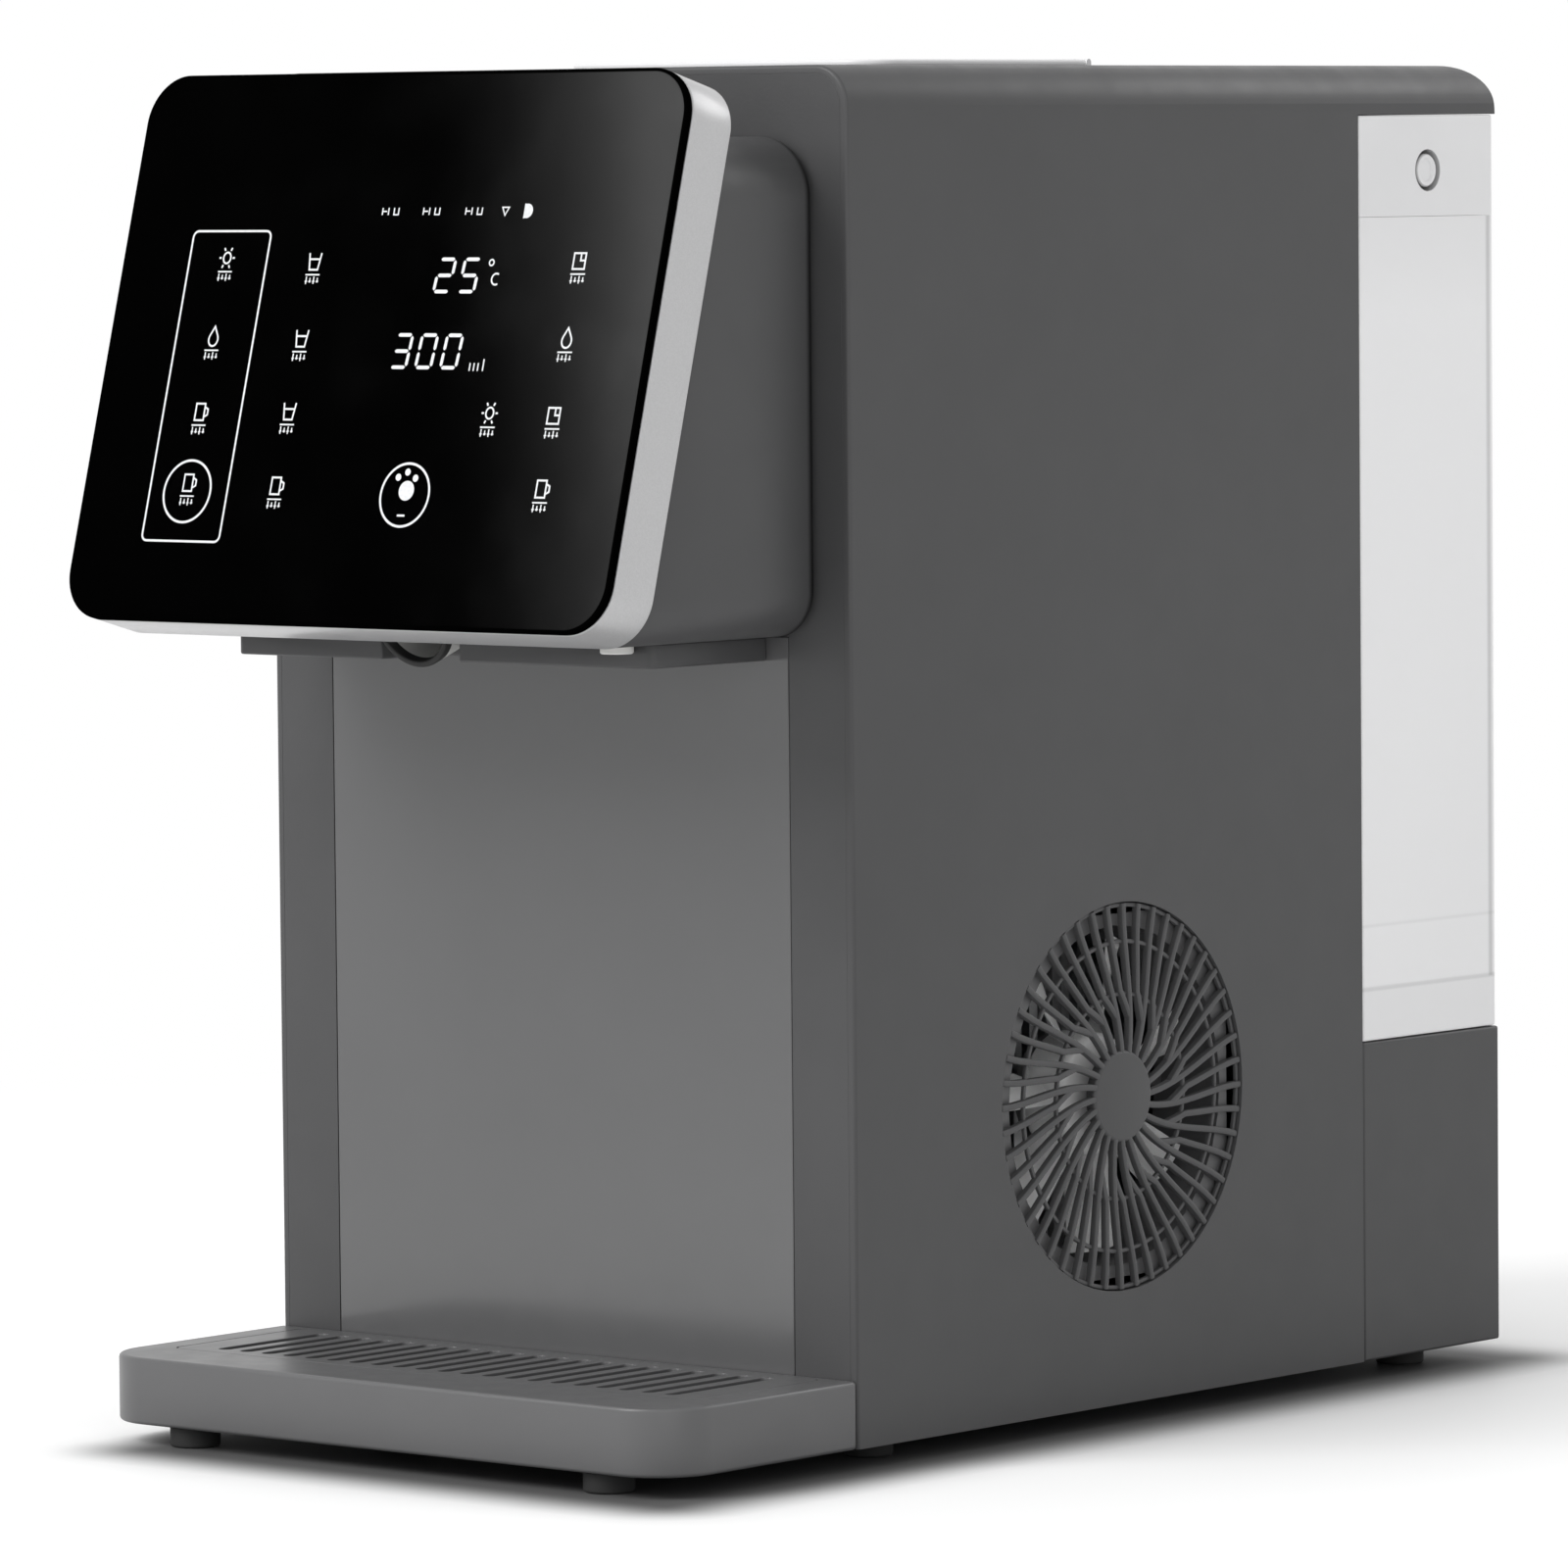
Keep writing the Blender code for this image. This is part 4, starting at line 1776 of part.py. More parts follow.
def make_hoses(shop, materials):
    """Hoses from the dock to the pump, on to the heater and up to the nozzle."""
    bend = HOSE_RADIUS * 3
    pump_top = PAN_THICKNESS + GAP + PUMP_HEIGHT + PUMP_PORT_LENGTH + GAP
    dock_face = DOCK_FRONT - NIPPLE_LENGTH - GAP
    inlet = smooth_route(
        [
            (PORT_X, dock_face, PORT_Z),
            (PORT_X, PUMP_Y, PORT_Z),
            (PUMP_X, PUMP_Y, PORT_Z),
            (PUMP_X, PUMP_Y, pump_top),
        ],
        bend,
    )
    finish(rod(shop, "inlet_hose", inlet, HOSE_RADIUS), materials["hose"])
    level = heater_port_height()
    link = [
        (PUMP_X - PUMP_HEAD_RADIUS - PUMP_PORT_LENGTH - GAP, PUMP_Y, level),
        (HEATER_X + HEATER_RADIUS + HEATER_PORT_LENGTH + GAP, HEATER_Y, level),
    ]
    finish(rod(shop, "heater_hose", link, HOSE_RADIUS), materials["hose"])
    heater_top = PAN_THICKNESS + GAP + HEATER_HEIGHT + HEATER_PORT_LENGTH + GAP
    under_deck = DECK_TOP - DECK_THICKNESS - HOSE_RADIUS * 4
    front = DECK_FRONT + HOSE_RADIUS * 5
    nozzle_end = -NOZZLE_FORWARD + NOZZLE_BARB_LENGTH + GAP
    feed = smooth_route(
        [
            (HEATER_X, HEATER_Y, heater_top),
            (HEATER_X, HEATER_Y, under_deck),
            (HEATER_X / 2, HEATER_Y, under_deck),
            (NOZZLE_X, front + bend * 2, under_deck),
            (NOZZLE_X, front - bend, under_deck),
            (NOZZLE_X, FASCIA_THICKNESS + HOSE_RADIUS * 1.4, NOZZLE_INLET_Z),
            (NOZZLE_X, nozzle_end, NOZZLE_INLET_Z),
        ],
        bend / 2,
    )
    finish(rod(shop, "nozzle_hose", feed, HOSE_RADIUS, 1), materials["hose"])


# Electrics


def make_power_board(shop, materials):
    """Board on the left wall with its standoffs and capacitors."""
    wall = -INNER_HALF + GAP
    left = wall + STANDOFF_LENGTH
    right = left + BOARD_THICKNESS
    board = block(
        shop, "power_board",
        (left, POWER_BOARD_FRONT, POWER_BOARD_BOTTOM), (right, POWER_BOARD_BACK, POWER_BOARD_TOP),
    )
    inset = STANDOFF_RADIUS * 2
    extras = []
    for y in (POWER_BOARD_FRONT + inset, POWER_BOARD_BACK - inset):
        for z in (POWER_BOARD_BOTTOM + inset, POWER_BOARD_TOP - inset):
            extras.append(drum(
                shop, "standoff", (wall, y, z), (left + BOARD_THICKNESS / 2, y, z), STANDOFF_RADIUS,
                segments=10,
            ))
    middle = (POWER_BOARD_BOTTOM + POWER_BOARD_TOP) / 2
    for index in range(3):
        y = POWER_BOARD_FRONT + inset * 3 + index * CAPACITOR_RADIUS * 3
        extras.append(drum(
            shop, "capacitor",
            (right - BOARD_THICKNESS / 2, y, middle), (right + CAPACITOR_LENGTH, y, middle),
            CAPACITOR_RADIUS, segments=14,
        ))
    extras.append(block(
        shop, "transformer",
        (right - BOARD_THICKNESS / 2, POWER_BOARD_BACK - inset * 6, middle - CAPACITOR_LENGTH),
        (right + CAPACITOR_LENGTH, POWER_BOARD_BACK - inset * 2, middle + CAPACITOR_LENGTH),
    ))
    join(shop, board, *extras)
    return finish(board, materials["board"])


def make_inlet(shop, materials):
    """Power inlet in the lower rear block: a socket with three blades."""
    half_x = INLET_WIDTH / 2
    half_z = INLET_HEIGHT / 2
    back = CABINET_DEPTH
    front = back - INLET_DEPTH
    outer = rounded(
        INLET_X - half_x, INLET_X + half_x, INLET_Z - half_z, INLET_Z + half_z, (INLET_CORNER,) * 4, 3
    )
    body = prism(shop, "power_inlet", [outer], front, back, FRONT_VIEW)
    wall = INLET_WALL
    inner = rounded(
        INLET_X - half_x + wall, INLET_X + half_x - wall,
        INLET_Z - half_z + wall, INLET_Z + half_z - wall, (INLET_CORNER - wall,) * 4, 3,
    )
    socket = prism(shop, "inlet_socket", [inner], front + wall * 2, back + OVERRUN, FRONT_VIEW)
    cut(shop, body, socket)
    blades = []
    for side, lift in ((-1, -0.25), (0, 0.35), (1, -0.25)):
        x = INLET_X + side * BLADE_PITCH
        z = INLET_Z + lift * BLADE_PITCH
        blades.append(block(
            shop, "inlet_blade",
            (x - BLADE_WIDTH / 2, front + wall, z - BLADE_HEIGHT / 2),
            (x + BLADE_WIDTH / 2, front + wall + BLADE_LENGTH, z + BLADE_HEIGHT / 2),
        ))
    join(shop, body, *blades)
    return finish(body, materials["black_plastic"])


# Tank bay and tank


def make_rear_cover(shop, materials):
    """Lower rear block: the tank's shelf over the inlet and the rear vents."""
    front = TANK_FRONT
    outline = rounded(front, CABINET_DEPTH, 0, BAY_FLOOR, (0, 0, 0, 0))
    cover = prism(shop, "rear_base_cover", [outline], -HALF_WIDTH, HALF_WIDTH, SIDE_VIEW)
    soften(cover, SMALL_EDGE, 2)
    hollow = block(
        shop, "cover_hollow",
        (-HALF_WIDTH + COVER_WALL, front - OVERRUN, -OVERRUN),
        (HALF_WIDTH - COVER_WALL, CABINET_DEPTH - COVER_WALL, BAY_FLOOR - COVER_WALL),
    )
    loops = []
    for index in range(VENT_COUNT - 2):
        x = -HALF_WIDTH * 0.75 + index * VENT_PITCH
        loops.append(slot(x, BAY_FLOOR / 2, VENT_WIDTH, VENT_HEIGHT))
    vents = prism(
        shop, "cover_vents", loops, CABINET_DEPTH - COVER_WALL - OVERRUN, CABINET_DEPTH + OVERRUN,
        FRONT_VIEW,
    )
    half_x = INLET_WIDTH / 2 + GAP
    half_z = INLET_HEIGHT / 2 + GAP
    hole = prism(
        shop, "inlet_hole",
        [rounded(INLET_X - half_x, INLET_X + half_x, INLET_Z - half_z, INLET_Z + half_z,
                 (INLET_CORNER + GAP,) * 4, 3)],
        CABINET_DEPTH - COVER_WALL - OVERRUN, CABINET_DEPTH + OVERRUN, FRONT_VIEW,
    )
    cut(shop, cover, hollow, vents, hole)
    return finish(cover, materials["cabinet"])


def make_dock(shop, materials):
    """Wall and roof of the tank bay, with the nipple that feeds the pump."""
    low = PAN_RIM + GAP
    roof_low = BAY_CEILING + GAP
    roof_top = roof_low + DOCK_WALL
    roof_back = CABINET_DEPTH - SHELL_REAR_RADIUS
    profile = [
        (DOCK_FRONT, low), (DOCK_BACK, low), (DOCK_BACK, roof_low),
        (roof_back, roof_low), (roof_back, roof_top), (DOCK_FRONT, roof_top),
    ]
    dock = prism(shop, "tank_dock", [profile], -FIT_HALF, FIT_HALF, SIDE_VIEW)
    nipple_end = TANK_FRONT + NIPPLE_LENGTH
    nipple = drum(
        shop, "nipple",
        (PORT_X, DOCK_FRONT - NIPPLE_LENGTH, PORT_Z), (PORT_X, nipple_end, PORT_Z), NIPPLE_RADIUS,
    )
    bore = drum(
        shop, "nipple_bore",
        (PORT_X, DOCK_FRONT - NIPPLE_LENGTH - OVERRUN, PORT_Z), (PORT_X, nipple_end + OVERRUN, PORT_Z),
        NIPPLE_BORE,
    )
    join(shop, dock, nipple)
    cut(shop, dock, bore)
    return finish(dock, materials["cabinet"])


def tank_outline(inset):
    """The tank's outline from above: square to the machine in front, rounded behind."""
    half = HALF_WIDTH - inset
    radius = TANK_REAR_RADIUS - inset
    return rounded(-half, half, TANK_FRONT + inset, BAY_BACK - inset, (0, 0, radius, radius), 4)


def make_tank(shop, materials):
    """Translucent tank with its port, valve guide and float post."""
    tank = prism(shop, "tank_body", [tank_outline(0)], TANK_BOTTOM, TANK_BODY_TOP, PLAN_VIEW)
    floor = TANK_BOTTOM + TANK_FLOOR
    hollow = prism(
        shop, "tank_hollow", [tank_outline(TANK_WALL)], floor, TANK_BODY_TOP + OVERRUN, PLAN_VIEW
    )
    port = drum(
        shop, "tank_port",
        (PORT_X, TANK_FRONT - OVERRUN, PORT_Z), (PORT_X, TANK_FRONT + TANK_WALL + OVERRUN, PORT_Z),
        PORT_RADIUS,
    )
    cut(shop, tank, hollow, port)
    guide_y = TANK_FRONT + NIPPLE_LENGTH + VALVE_GUIDE_SETBACK
    guide = block(
        shop, "valve_guide",
        (PORT_X - VALVE_GUIDE_WIDTH / 2, guide_y, floor - SMALL_EDGE),
        (PORT_X + VALVE_GUIDE_WIDTH / 2, guide_y + VALVE_GUIDE_THICKNESS, PORT_Z + PORT_RADIUS),
    )
    post = drum(
        shop, "float_post",
        (FLOAT_X, TANK_MIDDLE, floor - SMALL_EDGE), (FLOAT_X, TANK_MIDDLE, floor + FLOAT_POST_HEIGHT),
        FLOAT_POST_RADIUS, segments=16,
    )
    stop_low = floor + FLOAT_POST_HEIGHT - FLOAT_STOP_HEIGHT
    stop = drum(
        shop, "float_stop",
        (FLOAT_X, TANK_MIDDLE, stop_low), (FLOAT_X, TANK_MIDDLE, stop_low + FLOAT_STOP_HEIGHT),
        FLOAT_STOP_RADIUS, FLOAT_POST_RADIUS + SMALL_EDGE / 2, segments=16,
    )
    join(shop, tank, guide, post, stop)
    guide_hole = drum(
        shop, "guide_hole",
        (PORT_X, guide_y - OVERRUN, PORT_Z), (PORT_X, guide_y + VALVE_GUIDE_THICKNESS + OVERRUN, PORT_Z),
        VALVE_STEM_RADIUS + GAP, segments=16,
    )
    cut(shop, tank, guide_hole)
    return finish(tank, materials["tank"])


def make_tank_lid(shop, materials):
    """Tank lid with a recess, open above and behind, for its handle."""
    lid = prism(shop, "tank_lid", [tank_outline(0)], TANK_LID_BOTTOM, TANK_LID_TOP, PLAN_VIEW)
    recess_half = HALF_WIDTH - HANDLE_ARM_INSET + HANDLE_ARM_WIDTH / 2 + RUNNING_GAP
    recess_front = TANK_MIDDLE - HANDLE_BOSS_RADIUS - SMALL_EDGE
    recess_floor = TANK_LID_BOTTOM + TANK_WALL
    recess = block(
        shop, "handle_recess",
        (-recess_half, recess_front, recess_floor),
        (recess_half, BAY_BACK + OVERRUN, TANK_LID_TOP + OVERRUN),
    )
    wall = HANDLE_RECESS_WALL
    front_hollow = block(
        shop, "lid_front_hollow",
        (-HALF_WIDTH + TANK_WALL, TANK_FRONT + TANK_WALL, TANK_LID_BOTTOM - OVERRUN),
        (HALF_WIDTH - TANK_WALL, recess_front - wall, TANK_LID_TOP - TANK_WALL),
    )
    filler_y = (TANK_FRONT + TANK_WALL + recess_front - wall) / 2
    filler_half = FILLER_DEPTH / 2
    filler = prism(
        shop, "filler_port",
        [rounded(-FILLER_WIDTH / 2, FILLER_WIDTH / 2, filler_y - filler_half, filler_y + filler_half,
                 (FILLER_CORNER,) * 4, 3)],
        TANK_LID_TOP - TANK_WALL - OVERRUN, TANK_LID_TOP + OVERRUN, PLAN_VIEW,
    )
    cutters = [recess, front_hollow, filler]
    for side in (-1, 1):
        inner = side * (recess_half + wall)
        outer = side * (HALF_WIDTH - TANK_WALL)
        cutters.append(block(
            shop, "lid_side_hollow",
            (min(inner, outer), recess_front - wall - SMALL_EDGE, TANK_LID_BOTTOM - OVERRUN),
            (max(inner, outer), BAY_BACK - TANK_REAR_RADIUS, TANK_LID_TOP - TANK_WALL),
        ))
    cutters.append(drum(
        shop, "lid_boss_hole",
        (-HALF_WIDTH - OVERRUN, TANK_MIDDLE, HANDLE_PIVOT_Z),
        (HALF_WIDTH + OVERRUN, TANK_MIDDLE, HANDLE_PIVOT_Z),
        HANDLE_BOSS_RADIUS + GAP, segments=32,
    ))
    cut(shop, lid, *cutters)
    return finish(lid, materials["tank_lid"])


def make_handle(shop, materials):
    """Bail handle: two arms on round bosses, joined by a grip bar."""
    centre = HALF_WIDTH - HANDLE_ARM_INSET
    low = centre - HANDLE_ARM_WIDTH / 2
    high = centre + HANDLE_ARM_WIDTH / 2
    reach_y = HANDLE_REACH * math.cos(HANDLE_HANG)
    reach_z = -HANDLE_REACH * math.sin(HANDLE_HANG)
    bar = drum(
        shop, "tank_handle",
        (-low - SMALL_EDGE, TANK_MIDDLE + reach_y, HANDLE_PIVOT_Z + reach_z),
        (low + SMALL_EDGE, TANK_MIDDLE + reach_y, HANDLE_PIVOT_Z + reach_z),
        HANDLE_BAR_RADIUS, segments=16,
    )
    square = math.pi / 2
    loop = arc(0, 0, HANDLE_BOSS_RADIUS, square - HANDLE_HANG, math.pi + square - HANDLE_HANG, 8)
    loop += arc(reach_y, reach_z, HANDLE_BAR_RADIUS, -square - HANDLE_HANG, square - HANDLE_HANG, 6)
    parts = []
    for side in (-1, 1):
        arm = prism(
            shop, "handle_arm", [loop], min(side * low, side * high), max(side * low, side * high), SIDE_VIEW
        )
        arm.location[1] = TANK_MIDDLE
        arm.location[2] = HANDLE_PIVOT_Z
        parts.append(arm)
        parts.append(drum(
            shop, "handle_boss",
            (side * (low + SMALL_EDGE), TANK_MIDDLE, HANDLE_PIVOT_Z),
            (side * (HALF_WIDTH - GAP), TANK_MIDDLE, HANDLE_PIVOT_Z),
            HANDLE_BOSS_RADIUS - GAP, segments=32,
        ))
    join(shop, bar, *parts)
    return finish(bar, materials["tank_lid"])


def make_valve(shop, materials):
    """Outlet valve of the tank: poppet on a stem, held open by the nipple."""
    face = TANK_FRONT + NIPPLE_LENGTH + GAP
    profile = [
        (0, VALVE_DISC_THICKNESS + VALVE_STEM_LENGTH),
        (VALVE_STEM_RADIUS, VALVE_DISC_THICKNESS + VALVE_STEM_LENGTH),
        (VALVE_STEM_RADIUS, VALVE_DISC_THICKNESS),
        (VALVE_DISC_RADIUS - SMALL_EDGE, VALVE_DISC_THICKNESS),
        (VALVE_DISC_RADIUS, VALVE_DISC_THICKNESS - SMALL_EDGE),
        (VALVE_DISC_RADIUS, 0),
        (0, 0),
    ]
    turn = (math.radians(-90), 0, 0)
    poppet = turned(shop, "valve_poppet", profile, (PORT_X, face, PORT_Z), turn, 14)
    return finish(poppet, materials["black_plastic"])


def make_float(shop, materials):
    """Float ring on its post."""
    low = TANK_BOTTOM + TANK_FLOOR + GAP
    inner = FLOAT_POST_RADIUS + GAP
    top = FLOAT_HEIGHT
    edge = SMALL_EDGE
    profile = [
        (inner, top),
        (FLOAT_RADIUS - edge, top),
        (FLOAT_RADIUS, top - edge),
        (FLOAT_RADIUS, edge),
        (FLOAT_RADIUS - edge, 0),
        (inner, 0),
        (inner, top),
    ]
    ring = turned(shop, "tank_float", profile, (FLOAT_X, TANK_MIDDLE, low), steps=16)
    return finish(ring, materials["white_plastic"])


# Top lid


def make_top_lid(shop, materials):
    """Lid that laps the opening, with a plug below and two hinge knuckles behind."""
    half = LID_WIDTH / 2
    outline = rounded(-half, half, LID_FRONT, LID_BACK, (LID_CORNER,) * 4, 5)
    lid = prism(shop, "top_lid", [outline], LID_BASE, LID_BASE + LID_THICKNESS, PLAN_VIEW)
    soften(lid, SMALL_EDGE / 2, 1)
    inset = LID_LAP + RUNNING_GAP
    radius = LID_CORNER - inset
    plug_low = LID_BASE - LID_PLUG_DEPTH
    outer = rounded(-half + inset, half - inset, LID_FRONT + inset, LID_BACK - inset, (radius,) * 4, 4)
    deep = inset + LID_PLUG_WALL
    inner = rounded(
        -half + deep, half - deep, LID_FRONT + deep, LID_BACK - deep, (radius - LID_PLUG_WALL,) * 4, 4
    )
    rim = prism(shop, "lid_rim", [outer, inner], plug_low, LID_BASE + SMALL_EDGE, PLAN_VIEW)
    parts = [rim]
    holes = []
    for side in (-1, 1):
        centre = side * HINGE_SPREAD / 2
        left = centre - HINGE_KNUCKLE_LENGTH / 2
        right = centre + HINGE_KNUCKLE_LENGTH / 2
        parts.append(drum(
            shop, "knuckle", (left, HINGE_Y, HINGE_Z), (right, HINGE_Y, HINGE_Z), HINGE_RADIUS,
            segments=12,
        ))
        parts.append(block(
            shop, "knuckle_web",
            (left, LID_BACK - LID_LAP, LID_BASE + GAP * 2),
            (right, HINGE_Y - HINGE_PIN_RADIUS - GAP, HINGE_Z),
        ))
        holes.append(drum(
            shop, "knuckle_bore",
            (left - OVERRUN, HINGE_Y, HINGE_Z), (right + OVERRUN, HINGE_Y, HINGE_Z),
            HINGE_PIN_RADIUS + GAP, segments=12,
        ))
    join(shop, lid, *parts)
    cut(shop, lid, *holes)
    return finish(lid, materials["tank_lid"])


def make_hinge_pin(shop, materials):
    """Pin of the lid's hinge with the lugs that hold it on the cabinet's top."""
    reach = HINGE_SPREAD / 2 + HINGE_KNUCKLE_LENGTH / 2 + GAP + HINGE_LUG_LENGTH
    pin = drum(
        shop, "lid_hinge_pin", (-reach, HINGE_Y, HINGE_Z), (reach, HINGE_Y, HINGE_Z),
        HINGE_PIN_RADIUS, segments=12,
    )
    lugs = []
    outer_start = reach - HINGE_LUG_LENGTH
    spans = [(-reach, -outer_start), (-HINGE_LUG_LENGTH, HINGE_LUG_LENGTH), (outer_start, reach)]
    for left, right in spans:
        loop = arc(HINGE_Y, HINGE_Z, HINGE_RADIUS, 0, math.pi, 6)
        loop += [(HINGE_Y - HINGE_RADIUS, LID_BASE), (HINGE_Y + HINGE_RADIUS, LID_BASE)]
        lugs.append(prism(shop, "hinge_lug", [loop], left, right, SIDE_VIEW))
    join(shop, pin, *lugs)
    return finish(pin, materials["tank_lid"])


def make_materials():
    """One material for each kind of surface."""
    return {
        "cabinet": make_material("dark_grey_plastic", grey(0.095), 0.45),
        "backsplash": make_material("gloss_grey_plastic", grey(0.10), 0.15),
        "silver": make_material("silver_plastic", grey(0.50), 0.35, 0.3),
        "glass": make_material("black_glass", grey(0.003), 0.06),
        "display": make_material("display_plastic", grey(0.02), 0.5),
        "board": make_material("green_board", (0.02, 0.14, 0.06), 0.5),
        "tray": make_material("tray_grey_plastic", grey(0.17), 0.40),
        "rubber": make_material("black_rubber", grey(0.03), 0.8),
        "black_plastic": make_material("black_plastic", grey(0.02), 0.5),
        "white_plastic": make_material("white_plastic", grey(0.75), 0.45),
        "tank": make_material("milky_plastic", grey(0.72), 0.30, alpha=0.6),
        "tank_lid": make_material("light_grey_plastic", grey(0.62), 0.35),
        "pan": make_material("galvanised_steel", grey(0.45), 0.45, 0.9),
        "steel": make_material("zinc_plated_steel", grey(0.50), 0.40, 0.9),
        "bright_steel": make_material("stainless_steel", grey(0.60), 0.25, 1.0),
        "black_metal": make_material("black_enamel", grey(0.015), 0.3),
        "aluminium": make_material("aluminium_fins", grey(0.65), 0.4, 1.0),
        "copper": make_material("copper", (0.72, 0.32, 0.18), 0.3, 1.0),
        "hose": make_material("silicone_hose", grey(0.6), 0.4),
    }


def main():
    """Build the machine."""
    clear_scene()
    shop = Workshop()
    materials = make_materials()
    builders = (
        make_shell, make_fascia, make_backsplash, make_base_pan, make_drain_plug, make_feet,
        make_head, make_outlet_block, make_panel, make_drip_tray, make_drip_grille,
        make_fan_grille, make_fan_shroud, make_fan_motor, make_fan_rotor,
        make_compressor, make_condenser, make_drier, make_lines,
        make_bracket, make_evaporator, make_water_tray, make_tray_motor,
        make_deck, make_ice_bin, make_auger, make_auger_motor, make_chute, make_gate, make_solenoid,
        make_nozzle, make_heater, make_pump, make_hoses, make_power_board, make_inlet,
        make_rear_cover, make_dock, make_tank, make_tank_lid, make_handle, make_valve, make_float,
        make_top_lid, make_hinge_pin,
    )
    for builder in builders:
        builder(shop, materials)


main()
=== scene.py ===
"""Countertop ice maker: finished surfaces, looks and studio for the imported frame."""

import json
import math

import bmesh
import bpy
from mathutils import Matrix, Vector

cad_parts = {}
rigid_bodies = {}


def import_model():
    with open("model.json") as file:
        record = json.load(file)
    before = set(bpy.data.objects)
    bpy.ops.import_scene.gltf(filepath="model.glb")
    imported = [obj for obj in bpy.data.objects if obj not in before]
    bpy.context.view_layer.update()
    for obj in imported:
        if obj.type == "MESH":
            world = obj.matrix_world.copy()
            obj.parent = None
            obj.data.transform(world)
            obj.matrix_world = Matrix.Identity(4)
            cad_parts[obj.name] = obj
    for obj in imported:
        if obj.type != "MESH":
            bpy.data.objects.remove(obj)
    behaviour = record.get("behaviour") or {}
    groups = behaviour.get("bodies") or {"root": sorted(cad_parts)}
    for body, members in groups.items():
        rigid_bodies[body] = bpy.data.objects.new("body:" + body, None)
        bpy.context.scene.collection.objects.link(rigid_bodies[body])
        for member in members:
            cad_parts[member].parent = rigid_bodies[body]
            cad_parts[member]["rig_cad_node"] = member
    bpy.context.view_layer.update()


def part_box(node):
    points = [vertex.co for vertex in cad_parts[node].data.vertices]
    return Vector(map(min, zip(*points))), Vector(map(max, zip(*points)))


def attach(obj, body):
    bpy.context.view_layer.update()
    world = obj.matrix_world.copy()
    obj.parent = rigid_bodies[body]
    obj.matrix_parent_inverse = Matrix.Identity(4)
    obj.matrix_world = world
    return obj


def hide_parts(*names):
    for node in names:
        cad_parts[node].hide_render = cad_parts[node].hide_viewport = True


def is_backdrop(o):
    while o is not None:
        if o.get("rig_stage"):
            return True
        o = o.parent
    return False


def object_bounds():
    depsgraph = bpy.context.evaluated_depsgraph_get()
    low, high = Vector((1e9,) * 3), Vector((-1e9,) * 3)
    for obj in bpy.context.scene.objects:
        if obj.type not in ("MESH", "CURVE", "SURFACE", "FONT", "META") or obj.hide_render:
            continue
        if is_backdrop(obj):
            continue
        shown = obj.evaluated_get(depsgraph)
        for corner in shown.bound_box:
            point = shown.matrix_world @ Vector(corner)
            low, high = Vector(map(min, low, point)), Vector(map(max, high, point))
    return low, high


bl_info = {
    "name": "Countertop Ice Maker",
    "version": (1, 0, 0),
    "blender": (4, 5, 0),
    "location": "View3D > Sidebar > Ice Maker",
    "description": "Builds the finished surfaces of a countertop ice maker around its frame",
    "category": "Add Mesh",
}

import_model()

# The machine's own origin: middle of the cabinet's width, its front face, its underside
SHELL_LOW, SHELL_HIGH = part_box("housing_shell")
MACHINE = Matrix.Translation((0, SHELL_LOW.y, SHELL_LOW.z))
HALF_WIDTH = SHELL_HIGH.x
HEIGHT = SHELL_HIGH.z - SHELL_LOW.z
COVER_LOW, COVER_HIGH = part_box("rear_base_cover")
FULL_DEPTH = COVER_HIGH.y - SHELL_LOW.y

# How far a cutter runs past what it cuts, and the seam between two covers
OVER = 0.003
GAP = 0.0003

# The chute's window and the nozzle's hose, between the cabinet and the head
OUTLET_X = -0.0083
WINDOW_HALF = 0.0165
WINDOW_LOW = 0.2475
WINDOW_HIGH = 0.302
HOSE_Z = 0.256
HOSE_HOLE = 0.006
NOZZLE_Y = -0.057
CHUTE_HALF = 0.0155

# Sizes that more than one piece follows
FASCIA_THICKNESS = 0.0032
LID_DEPTH = 0.113
GLASS_THICKNESS = 0.0027
TANK_WALL = 0.0024
HANDLE_Z = 0.3768
HANDLE_SWING = 0.031
VENT_PITCH = 0.011
VENT_WIDTH = 0.004
VENT_HEIGHT = 0.052

# Angles between faces: nearly flat, part of one curve, and sharp
FLAT = math.radians(0.05)
CURVED = math.radians(32)
SHARP = math.radians(40)


def local(node):
    """A frame node's box in the machine's coordinates."""
    low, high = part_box(node)
    shift = MACHINE.translation
    return low - shift, high - shift


def centre_of(node):
    """The middle of a frame node's box in the machine's coordinates."""
    low, high = local(node)
    return (low + high) / 2


# Settings


